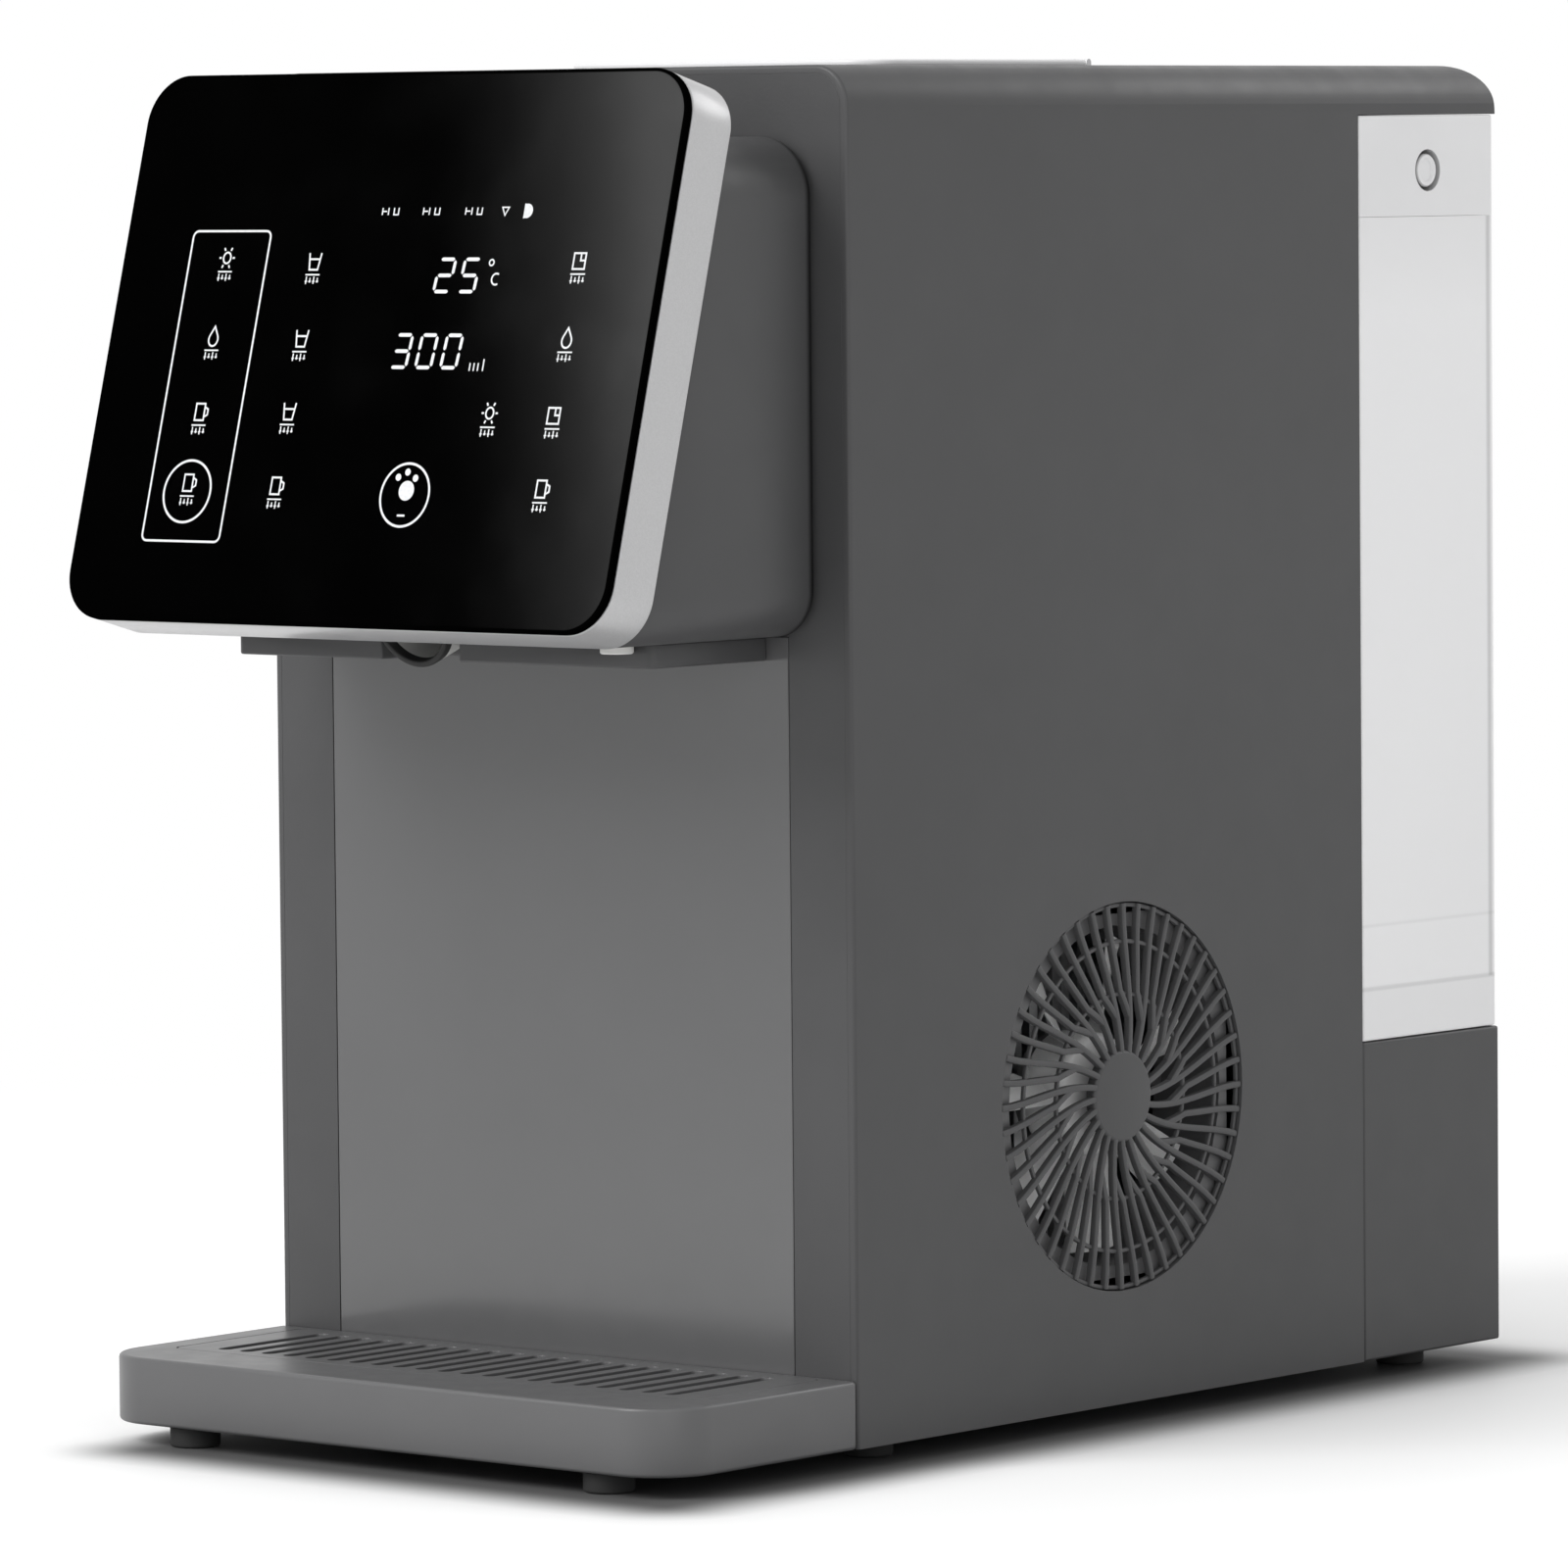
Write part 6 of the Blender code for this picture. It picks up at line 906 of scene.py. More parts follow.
def cabinet_form(inset, front, bottom):
    """The cabinet's outer form, or its hollow, with the two large radii."""
    sizes = size_settings()
    half = HALF_WIDTH - inset
    top = HEIGHT - inset
    back = FULL_DEPTH - inset
    edge = sizes.edge_radius - inset
    corner = sizes.rear_radius - inset
    form = bmesh.new()
    prism(form, rounded(-half, half, bottom, top, (0, 0, edge, edge), 12), front, back, FRONT)
    profile = bmesh.new()
    outline = rounded(front - OVER, back, bottom - OVER, top, (0, 0, corner, 0), 16)
    prism(profile, outline, -half - OVER, half + OVER, SIDE)
    return combine(form, [("INTERSECT", profile)])


def round_of_top(point):
    """Whether a point lies on the outer skin of the cabinet's top edge radius."""
    radius = size_settings().edge_radius
    side = abs(point.x) - (HALF_WIDTH - radius)
    rise = point.z - (HEIGHT - radius)
    return side > 0 and rise > 0 and math.hypot(side, rise) > radius - 0.0003


def passages(front, back):
    """Cutters for the chute's window and the hose's hole, through a wall from front to back."""
    window = bmesh.new()
    block(
        window, (OUTLET_X - WINDOW_HALF, front, WINDOW_LOW), (OUTLET_X + WINDOW_HALF, back, WINDOW_HIGH)
    )
    hole = bmesh.new()
    nozzle = centre_of("water_nozzle").x
    drum(hole, (nozzle, front, HOSE_Z), (nozzle, back, HOSE_Z), HOSE_HOLE)
    return [("DIFFERENCE", window), ("DIFFERENCE", hole)]


def shell_cutters():
    """What is cut from the shell: its hollow, the tank's bay, the grille's hole, the lid and the vents."""
    sizes = size_settings()
    grille = centre_of("fan_grille")
    grille_low, grille_high = local("fan_grille")
    radius = (grille_high.z - grille_low.z) / 2
    bay = bmesh.new()
    block(
        bay, (-HALF_WIDTH - OVER, local("tank_body")[0].y - GAP, -OVER),
        (HALF_WIDTH + OVER, FULL_DEPTH + OVER, local("tank_lid")[1].z + GAP),
    )
    round_hole = bmesh.new()
    drum(
        round_hole, (HALF_WIDTH - sizes.wall - OVER, grille.y, grille.z),
        (HALF_WIDTH + OVER, grille.y, grille.z), radius + GAP, segments=96,
    )
    lid_low, lid_high = local("top_lid")
    lap = 0.003
    half = lid_high.x - lap
    opening = rounded(-half, half, lid_low.y + lap, lid_low.y + LID_DEPTH - lap, (0.012,) * 4)
    lid = bmesh.new()
    prism(lid, opening, HEIGHT - sizes.wall - OVER, HEIGHT + OVER)
    vents = bmesh.new()
    count = 11
    for index in range(count):
        y = grille.y + (index - count // 2) * VENT_PITCH
        outline = slot(y, grille.z, VENT_WIDTH, VENT_HEIGHT)
        prism(vents, outline, -HALF_WIDTH - OVER, -HALF_WIDTH + sizes.wall + OVER, SIDE)
    return [cabinet_form(sizes.wall, -OVER, -OVER), bay, round_hole, lid, vents]


def build_shell():
    """Sides, top and hood in one moulded wrap."""
    shell = combine(cabinet_form(0, 0, 0), [("DIFFERENCE", cutter) for cutter in shell_cutters()])
    merge_flats(shell)
    near = 1e-5
    front_rim = []
    other_rims = []
    for edge in sharp_edges(shell):
        middle = (edge.verts[0].co + edge.verts[1].co) / 2
        outer = abs(middle.x) > HALF_WIDTH - near or middle.z > HEIGHT - near or round_of_top(middle)
        if outer and middle.y < near:
            front_rim.append(edge)
        elif outer or middle.y >= near:
            other_rims.append(edge)
    bevel_edges(shell, front_rim, 0.0011, 4)
    bevel_edges(shell, [edge for edge in other_rims if edge.is_valid], size_settings().small_edge, 2)
    piece("shell", shell, cabinet_plastic(), nodes=["housing_shell"])


def build_top_lid():
    """Lid plate with its inner rim and hinge knuckles."""
    low, high = local("top_lid")
    base = HEIGHT + GAP
    back = low.y + LID_DEPTH
    rim_depth = 0.006

    def outline(inset, radius, steps=8):
        """The lid from above, set in all round."""
        return rounded(
            low.x + inset, high.x - inset, low.y + inset, back - inset, (radius,) * 4, steps
        )

    lid = bmesh.new()
    prism(lid, outline(0, 0.015, 12), base, base + 0.002)
    tidy_edges(lid, 0.0007, 3)
    rim = bmesh.new()
    prism(rim, outline(0.0035, 0.0115), base - rim_depth, base + 0.0004)
    hollow = bmesh.new()
    prism(hollow, outline(0.0055, 0.0095), base - rim_depth - OVER, base + 0.0002)
    rim = combine(rim, [("DIFFERENCE", hollow)])
    knuckle = 0.0012
    hinge_y = back + GAP + knuckle
    hinge_z = base + knuckle
    half = 0.007
    for centre in (-0.045, 0.045):
        left, right = centre - half, centre + half
        drum(rim, (left, hinge_y, hinge_z), (right, hinge_y, hinge_z), knuckle, segments=24)
        block(rim, (left, back - 0.003, base + 0.0006), (right, hinge_y - 0.0007, hinge_z))
    join(lid, rim)
    piece("lid", lid, tank_lid_plastic(), "top_lid", ["top_lid"])


def build_fascia():
    """Front plate between the shell's edges with its rim, and the backsplash in its recess."""
    sizes = size_settings()
    seam = 0.00005
    half = HALF_WIDTH - sizes.wall - seam
    top = HEIGHT - sizes.wall - seam
    corner = sizes.edge_radius - sizes.wall - seam
    splash_low, splash_high = local("backsplash")
    head_low = local("head_housing")[0]
    plate = bmesh.new()
    prism(plate, rounded(-half, half, GAP, top, (0, 0, corner, corner), 12), 0, FASCIA_THICKNESS, FRONT)
    recess = bmesh.new()
    block(recess, (splash_low.x - GAP, -OVER, splash_low.z - GAP), (splash_high.x + GAP, 0.002, head_low.z))
    plate = combine(plate, [("DIFFERENCE", recess), *passages(-OVER, FASCIA_THICKNESS + OVER)])
    tidy_edges(plate, 0.00008)
    wall = 0.002
    foot = 0.0103
    depth = 0.0132
    rim = bmesh.new()
    outline = rounded(-half, half, foot, top, (0, 0, corner, corner), 12)
    prism(rim, outline, FASCIA_THICKNESS - 0.0001, depth, FRONT)
    inner = bmesh.new()
    small = corner - wall
    outline = rounded(-half + wall, half - wall, foot + wall, top - wall, (0, 0, small, small), 12)
    prism(inner, outline, 0, depth + OVER, FRONT)
    join(plate, combine(rim, [("DIFFERENCE", inner)]))
    piece("fascia", plate, fascia_plastic(), nodes=["front_fascia"])
    splash = bmesh.new()
    block(splash, splash_low, splash_high)
    tidy_edges(splash, 0.0003)
    piece("splash_panel", splash, backsplash_plastic(), nodes=["backsplash"])


# Head


def build_head():
    """Head housing on its neck, open towards the slanted panel."""
    low, high = local("head_housing")
    wall = 0.0025
    neck = 0.0015
    step = high.y - neck

    def form(inset, front, back):
        """A length of the head's box, or of its hollow."""
        bm = bmesh.new()
        lower, upper = 0.014 - inset, 0.018 - inset
        outline = rounded(
            low.x + inset, high.x - inset, low.z + inset, high.z - inset, (lower, lower, upper, upper), 14
        )
        prism(bm, outline, front, back, FRONT)
        return bm

    body = form(0, -0.16, step)
    bevel_edges(body, [
        edge for edge in body.edges if all(abs(vert.co.y - step) < 1e-6 for vert in edge.verts)
    ], 0.0012, 5)
    slant = bmesh.new()
    reach = 0.3
    prism(slant, rounded(-reach, reach, -reach, reach, (0,) * 4), -0.0183, reach, panel_plane())
    opening = bmesh.new()
    block(
        opening, (OUTLET_X - CHUTE_HALF, -0.078, low.z - OVER),
        (OUTLET_X + CHUTE_HALF, -0.03, low.z + wall + OVER),
    )
    hole = bmesh.new()
    nozzle = centre_of("water_nozzle").x
    drum(hole, (nozzle, NOZZLE_Y, low.z - OVER), (nozzle, NOZZLE_Y, low.z + wall + OVER), 0.0053)
    head = combine(body, [
        ("UNION", form(neck, step - wall, high.y)), ("DIFFERENCE", form(wall, -0.17, high.y - wall)),
        ("DIFFERENCE", slant), ("DIFFERENCE", opening), ("DIFFERENCE", hole),
        *passages(high.y - wall - OVER, high.y + OVER),
    ])
    tidy_edges(head, 0.0003)
    piece("head", head, head_plastic(), nodes=["head_housing"])


def lip_end(stand, length, lip):
    """Where the chute's dark lip ends along its own axis, a lip's width from its lower end."""
    ends = (0.0, -length)
    low_end = min(ends, key=lambda value: (stand @ Vector((0, 0, value))).z)
    return low_end + (lip if low_end < -length / 2 else -lip)


def build_outlet():
    """Flat block under the head, with the chute's notch."""
    low, high = local("outlet_block")
    middle = centre_of("ice_chute").x
    body = bmesh.new()
    prism(body, rounded(low.x, high.x, low.y, high.y, (0.003, 0.003, 0, 0)), low.z, high.z)
    notch = bmesh.new()
    outline = rounded(
        middle - CHUTE_HALF, middle + CHUTE_HALF, low.y - OVER, -0.026, (0, 0, 0.002, 0.002)
    )
    prism(notch, outline, low.z - OVER, high.z + OVER)
    body = combine(body, [("DIFFERENCE", notch)])
    tidy_edges(body, 0.0006, 3)
    piece("outlet", body, cabinet_plastic(), nodes=["outlet_block"])


def build_chute():
    """White chute, open at its top, that ends in a dark rubber lip."""
    radius = 0.0145
    inner = radius - 0.002
    side = 0.006
    outline = [(radius, side)] + arc(0, 0, radius, 0, -math.pi, 32) + [(-radius, side)]
    outline += [(-inner, side)] + arc(0, 0, inner, -math.pi, 0, 32) + [(inner, side)]
    tilt = math.radians(20)
    length = (0.0665 - radius * math.sin(tilt)) / math.cos(tilt)
    mouth = Vector((centre_of("ice_chute").x, NOZZLE_Y, 0.245))
    stand = Matrix.Translation(mouth) @ Matrix.Rotation(math.pi / 2 + tilt, 4, "X")
    chute = bmesh.new()
    prism(chute, outline, -length, 0, stand)
    tidy_edges(chute, 0.0006, 3)
    end = stand @ Vector((0, 0, lip_end(stand, length, 0.0032)))
    along = (stand.to_3x3() @ Vector((0, 0, 1))).normalized()
    bmesh.ops.bisect_plane(
        chute, geom=chute.verts[:] + chute.edges[:] + chute.faces[:], plane_co=end, plane_no=along
    )
    low_side = 1 if along.z < 0 else -1
    for face in chute.faces:
        face.material_index = int((face.calc_center_median() - end).dot(along) * low_side > 0)
    item = piece("chute", chute, white_plastic(), nodes=["ice_chute"])
    item.data.materials.append(rubber())


def build_nozzle():
    """Water outlet with its flange and its barb."""
    low, high = local("water_nozzle")
    centre = centre_of("water_nozzle").x
    radius = 0.005
    flange = 0.009
    bore = 0.0026
    flange_low, flange_high = 0.2438, 0.2458
    profile = [
        (0, high.z), (radius - 0.0006, high.z), (radius, high.z - 0.0006), (radius, flange_high),
        (flange - 0.0002, flange_high), (flange, flange_high - 0.0003), (flange, flange_low),
        (radius, flange_low), (radius, low.z + 0.0004), (radius - 0.0004, low.z),
        (bore + 0.0004, low.z), (bore, low.z + 0.0005), (bore, high.z - 0.003), (0, high.z - 0.003),
    ]
    nozzle = bmesh.new()
    turned(nozzle, profile, Matrix.Translation((centre, NOZZLE_Y, 0)))
    drum(nozzle, (centre, -0.053, HOSE_Z), (centre, -0.044, HOSE_Z), 0.0035, segments=32)
    piece("nozzle", nozzle, white_plastic(), nodes=["water_nozzle"])


# Control panel


PANEL_HALF_X = 0.1078
PANEL_HALF_Y = 0.0844
INK = GLASS_THICKNESS + 0.00006


def panel_outline(inset):
    """The panel's outline, set in all round."""
    radius = size_settings().panel_corner - inset
    x = PANEL_HALF_X - inset
    y = PANEL_HALF_Y - inset
    return rounded(-x, x, -y, y, (radius,) * 4, 16)


def build_panel():
    """Silver frame and black glass."""
    plane = panel_plane()
    back = -0.018
    floor = 0.0025
    body = bmesh.new()
    prism(body, panel_outline(0), back, -GAP, plane)
    tub = bmesh.new()
    prism(tub, panel_outline(0.003), back + floor, OVER, plane)
    window = bmesh.new()
    prism(window, rounded(-0.075, 0.075, -0.04, 0.04, (0.003,) * 4), back - OVER, 0, plane)
    body = combine(body, [("DIFFERENCE", tub), ("DIFFERENCE", window)])
    tidy_edges(body, 0.0005, 3)
    piece("panel_rim", body, silver_paint(), nodes=["panel_frame"])
    glass = bmesh.new()
    prism(glass, panel_outline(0), 0, GLASS_THICKNESS, plane)
    tidy_edges(glass, 0.0005, 3)
    piece("glass", glass, black_glass(), nodes=["touch_glass"])


def stroke(bm, points, width, plane, closed=False):
    """A flat printed line of a given width along points on the panel."""
    run = [Vector(point) for point in points]
    count = len(run)
    left = []
    right = []
    for index, point in enumerate(run):
        before = run[index - 1] if index or closed else point
        after = run[(index + 1) % count] if index < count - 1 or closed else point
        into = (point - before).normalized() if (point - before).length else (after - point).normalized()
        out = (after - point).normalized() if (after - point).length else into
        mean = (into + out).normalized() if (into + out).length > 1e-6 else into
        normal = Vector((-mean.y, mean.x))
        scale = 1 / max(normal.dot(Vector((-into.y, into.x))), 0.5)
        left.append(point + normal * width / 2 * scale)
        right.append(point - normal * width / 2 * scale)
    verts = [bm.verts.new(plane @ Vector((p.x, p.y, INK))) for p in left + right]
    for index in range(count if closed else count - 1):
        follow = (index + 1) % count
        bm.faces.new((verts[index], verts[count + index], verts[count + follow], verts[follow]))


def patch(bm, loop, plane):
    """A flat filled outline on the panel."""
    bm.faces.new([bm.verts.new(plane @ Vector((x, y, INK))) for x, y in loop])


# Lit segments of each digit, from the top one clockwise, the middle one last
SEGMENTS = {
    "0": "abcdef", "2": "abged", "3": "abgcd", "5": "afgcd",
}


def digit(bm, sign, centre_x, centre_y, plane):
    """One seven-segment digit with mitred segments, leaning a little."""
    half_w = 0.0030
    half_h = 0.0049
    thick = 0.0011
    lean = 0.08
    gap = thick * 0.25

    def bar(start, end):
        """One segment as a six-sided bar."""
        a = Vector(start)
        b = Vector(end)
        along = (b - a).normalized()
        across = Vector((-along.y, along.x)) * thick / 2
        a = a + along * gap
        b = b - along * gap
        tip = along * thick / 2
        loop = [a, a + tip - across, b - tip - across, b, b - tip + across, a + tip + across]
        patch(bm, [(centre_x + p.x + p.y * lean, centre_y + p.y) for p in loop], plane)

    ends = {
        "a": ((-half_w, half_h), (half_w, half_h)), "b": ((half_w, 0), (half_w, half_h)),
        "c": ((half_w, -half_h), (half_w, 0)), "d": ((-half_w, -half_h), (half_w, -half_h)),
        "e": ((-half_w, -half_h), (-half_w, 0)), "f": ((-half_w, 0), (-half_w, half_h)),
        "g": ((-half_w, 0), (half_w, 0)),
    }
    for name in SEGMENTS[sign]:
        bar(*ends[name])


def small_mark(bm, kind, x, y, line, plane):
    """A small generic mark of one kind, over a bar and a row of dashes."""
    across = 0.0030
    up = 0.0034

    def line_at(points, closed=False, width=line):
        """A line at the mark's place, its points in shares of the mark's size."""
        stroke(bm, [(x + px * across, y + py * up) for px, py in points], width, plane, closed)

    if kind == "cup":
        line_at([(-0.8, 1.7), (-0.55, 0.2), (0.55, 0.2), (0.8, 1.7)])
        line_at([(-0.7, 1.15), (0.7, 1.15)])
    elif kind == "cube":
        line_at([(-0.8, 0.2), (-0.8, 1.6), (0.7, 1.6), (0.7, 0.2)], True)
        line_at([(0.1, 1.6), (0.1, 0.95), (0.7, 0.95)])
    elif kind == "drop":
        line_at([(0, 1.9)] + arc(0, 0.75, 0.62, math.radians(35), math.radians(-215), 14), True)
    elif kind == "sun":
        line_at(circle(0, 1.0, 0.5, 16), True)
        for turn in range(6):
            angle = math.tau * turn / 6
            line_at([
                (share * math.cos(angle), 1.0 + share * math.sin(angle)) for share in (0.75, 1.05)
            ])
    elif kind == "jug":
        line_at([(-0.7, 1.7), (0.5, 1.7), (0.5, 0.2), (-0.7, 0.2)], True)
        line_at([(0.5, 1.4), (0.95, 1.2), (0.95, 0.7), (0.5, 0.5)])
    else:
        raise ValueError("no mark of the kind " + kind)
    line_at([(-0.95, -0.25), (0.95, -0.25)], width=line * 0.8)
    for part in (-0.75, -0.25, 0.25, 0.75):
        tall = 0.34 if part in (-0.75, 0.25) else 0.22
        line_at([(part, -0.75 - tall), (part, -0.75 + tall)], width=line * 0.75)
        line_at([(part - 0.17, -0.85), (part + 0.17, -0.85)], width=line * 0.6)


def paw(bm, line, plane):
    """Round sign of four pads in a ring, over a short bar."""
    patch(bm, circle(0.0213, -0.0425, 0.0030, 24), plane)
    for x, y in ((0.0173, -0.0385), (0.0207, -0.0369), (0.0241, -0.0387)):
        patch(bm, circle(x, y, 0.0011, 14), plane)
    stroke(bm, [(0.0192, -0.0500), (0.0222, -0.0500)], line, plane)


def numbers(bm, line, plane):
    """The two large numbers and their small units."""
    upper = 0.0226
    lower = -0.0004
    for sign, x in (("2", 0.0221), ("5", 0.0319)):
        digit(bm, sign, x, upper, plane)
    for sign, x in (("3", 0.0101), ("0", 0.0200), ("0", 0.0299)):
        digit(bm, sign, x, lower, plane)
    stroke(bm, circle(0.0398, 0.0265, 0.0009, 12), line * 0.8, plane, True)
    stroke(bm, arc(0.0425, 0.0215, 0.0017, math.radians(60), math.radians(300), 10), line * 0.9, plane)
    foot = -0.0062
    for x, top in ((0.0380, -0.0038), (0.0396, -0.0038), (0.0412, -0.0038), (0.0432, -0.0026)):
        stroke(bm, [(x, foot), (x, top)], line * 0.8, plane)


def top_row(bm, line, plane):
    """Three small captions too small to read, a funnel and a moon along the top."""
    low = 0.0410
    high = 0.0432
    for x in (-0.0037, 0.0126, 0.0294):
        for part in (-0.0032, -0.0008, 0.0014, 0.0032):
            stroke(bm, [(x + part, low), (x + part, high)], line * 0.75, plane)
        stroke(bm, [(x - 0.0034, 0.0421), (x - 0.0014, 0.0421)], line * 0.7, plane)
        stroke(bm, [(x + 0.0012, 0.0411), (x + 0.0034, 0.0411)], line * 0.7, plane)
    stroke(bm, [(0.0405, high), (0.0431, high), (0.0418, 0.0408)], line * 0.7, plane, True)
    outer = arc(0.0503, 0.0421, 0.0022, math.radians(-110), math.radians(110), 16)
    inner = arc(0.0489, 0.0421, 0.0023, math.radians(85), math.radians(-85), 14)
    patch(bm, outer + inner, plane)


def build_signs():
    """Lit signs of the panel: numbers, marks, two rings and the boxed column."""
    plane = panel_plane() @ Matrix.Translation((0.0023, -0.0006, 0))
    line = size_settings().icon_line
    signs = bmesh.new()
    box = rounded(-0.0823, -0.0505, -0.0594, 0.0362, (0.002,) * 4, 6)
    stroke(signs, box, line * 1.1, plane, True)
    # Each column's place across, then the height and the kind of its marks
    columns = (
        (-0.0669, ((0.0245, "sun"), (0.0002, "drop"), (-0.0229, "jug"))),
        (-0.0309, ((0.0236, "cup"), (0.0, "cup"), (-0.0223, "cup"), (-0.0451, "jug"))),
        (0.0740, ((0.0239, "cube"), (0.0005, "drop"), (-0.0224, "cube"), (-0.0444, "jug"))),
        (0.0489, ((-0.0222, "sun"),)),
    )
    for x, marks in columns:
        for y, kind in marks:
            small_mark(signs, kind, x, y, line * 0.95, plane)
    for x, y in ((-0.0669, -0.0441), (0.0209, -0.0438)):
        stroke(signs, circle(x, y, 0.0095, 48), line * 1.2, plane, True)
    small_mark(signs, "jug", -0.0667, -0.0447, line * 0.9, plane)
    paw(signs, line, plane)
    numbers(signs, line, plane)
    top_row(signs, line, plane)
    piece("lit_signs", signs, lit_sign(), smooth=False)


# Drip tray


def grille_outline(inset):
    """The drip grille from above, set in all round."""
    low, high = local("drip_grille")
    return rounded(low.x + inset, high.x - inset, low.y + inset, high.y - inset, (0.004,) * 4)


def build_tray():
    """Drip tray with its basin and the grille's seat."""
    low, high = local("drip_tray")
    seat_z = local("drip_grille")[0].z - GAP
    tray = bmesh.new()
    prism(tray, rounded(low.x, high.x, low.y, high.y, (0.020, 0.020, 0, 0), 18), low.z, high.z)
    tidy_edges(tray, 0.0012, 4)
    seat = bmesh.new()
    prism(seat, grille_outline(-GAP), seat_z, high.z + OVER)
    basin = bmesh.new()
    prism(basin, grille_outline(0.003), 0.003, seat_z + OVER)
    tray = combine(tray, [("DIFFERENCE", seat), ("DIFFERENCE", basin)])
    piece("tray", tray, tray_plastic(), "drip_tray", ["drip_tray"])


def build_tray_grille():
    """Slotted plate in the tray's seat."""
    low, high = local("drip_grille")
    plate = bmesh.new()
    prism(plate, grille_outline(0), low.z, high.z)
    slots = bmesh.new()
    pitch = 0.009
    border = 0.006
    count = int((high.x - low.x - 2 * border) / pitch)
    length = high.y - low.y - 2 * border
    middle = centre_of("drip_grille").y
    for index in range(count):
        x = (index - (count - 1) / 2) * pitch
        prism(slots, slot(x, middle, pitch / 2, length), low.z - OVER, high.z + OVER)
    plate = combine(plate, [("DIFFERENCE", slots)])
    tidy_edges(plate, 0.0004)
    piece("tray_grille", plate, tray_plastic(), "drip_grille", ["drip_grille"])


def build_feet():
    """Round rubber feet, hollowed a little underneath."""
    chamfer = 0.0003
    edge = 0.0009
    hollow = 0.0006
    for name, body in (
        ("tray_foot_left", "drip_tray"), ("tray_foot_right", "drip_tray"),
        ("foot_front_left", "cabinet"), ("foot_front_right", "cabinet"),
        ("foot_rear_left", "cabinet"), ("foot_rear_right", "cabinet"),
    ):
        low, high = local(name)
        centre = centre_of(name)
        radius = (high.x - low.x) / 2
        profile = [(0, high.z), (radius - chamfer, high.z), (radius, high.z - chamfer)]
        profile += arc(radius - edge, low.z + edge, edge, 0, -math.pi / 2, 5)
        profile += [(radius * 0.55, low.z), (radius * 0.45, low.z + hollow), (0, low.z + hollow)]
        foot = bmesh.new()
        turned(foot, profile, Matrix.Translation((centre.x, centre.y, 0)))
        piece(name + "_pad", foot, rubber(), body, [name])


# Side grille and fan


def swept_bar(bm, path, width, low, high, matrix):
    """A bar with rounded outer edges along flat points; low and high are its depths."""
    half = width / 2
    edge = min(width * 0.3, 0.0006)
    turn = edge * 0.3
    section = [
        (-half, low), (half, low), (half, high - edge), (half - turn, high - turn), (half - edge, high),
        (edge - half, high), (turn - half, high - turn), (-half, high - edge),
    ]
    rings = []
    for index, point in enumerate(path):
        before = Vector(path[max(index - 1, 0)])
        after = Vector(path[min(index + 1, len(path) - 1)])
        along = (after - before).normalized()
        normal = Vector((-along.y, along.x))
        spots = [(Vector(point) + normal * across, depth) for across, depth in section]
        rings.append([matrix @ Vector((spot.x, spot.y, depth)) for spot, depth in spots])
    loft(bm, rings)


def swept_ring(bm, radius, width, low, high, matrix):
    """A ring with rounded outer edges."""
    inner = radius - width / 2
    outer = radius + width / 2
    edge = min(width * 0.3, 0.0006)
    turn = edge * 0.3
    profile = [
        (inner, low), (inner, high - edge), (inner + turn, high - turn), (inner + edge, high),
        (outer - edge, high), (outer - turn, high - turn), (outer, high - edge), (outer, low),
        (inner, low),
    ]
    turned(bm, profile, matrix, 128)


def build_side_grille():
    """Round guard: swept ribs leave the hub and fork at the inner ring."""
    sizes = size_settings()
    low, high = local("fan_grille")
    middle = centre_of("fan_grille")
    radius = (high.z - low.z) / 2
    centre = Matrix.Translation((0, middle.y, middle.z)) @ SIDE
    back = HALF_WIDTH - 0.0022
    ring_face = back + 0.0011
    hub = 0.014
    fork_ring = radius * 0.53
    outer_ring = radius * 0.80
    rib_end = radius - 0.0002
    sweep = math.radians(14)
    step_angle = math.tau / sizes.rib_count
    grille = bmesh.new()
    swept_ring(grille, radius - 0.0007, 0.0014, back, ring_face, centre)
    swept_ring(grille, fork_ring, 0.0013, back, ring_face, centre)
    swept_ring(grille, outer_ring, 0.0013, back, ring_face, centre)

    def spot(distance, turn):
        """A point on a swept rib."""
        angle = turn + sweep * math.sin((distance - hub) / (radius - hub) * math.pi / 2)
        return (distance * math.cos(angle), distance * math.sin(angle))

    def run(start, end, turn, steps):
        """Points of a swept rib between two radii."""
        return [spot(start + (end - start) * step / steps, turn) for step in range(steps + 1)]

    for index in range(sizes.rib_count):
        turn = index * step_angle
        rib = run(hub - 0.0015, rib_end, turn, 14)
        swept_bar(grille, rib, sizes.rib_width, back, HALF_WIDTH - 0.0002, centre)
        branch = []
        for step in range(5):
            share = step / 4
            distance = fork_ring - 0.007 + 0.008 * share
            branch.append(spot(distance, turn + step_angle / 2 * share ** 0.8))
        branch += run(fork_ring + 0.003, rib_end, turn + step_angle / 2, 8)
        swept_bar(grille, branch, sizes.rib_width, back, HALF_WIDTH - 0.0003, centre)
    cap = 0.0142
    edge = 0.0012
    face = HALF_WIDTH - 0.0001
    profile = [(0, face), (cap - edge, face)] + arc(cap - edge, face - edge, edge, math.pi / 2, 0, 5)
    profile += [(cap, back - 0.0014), (0, back - 0.0014)]
    turned(grille, profile, centre, 64)
    piece("side_grille", grille, cabinet_plastic(), nodes=["fan_grille"])


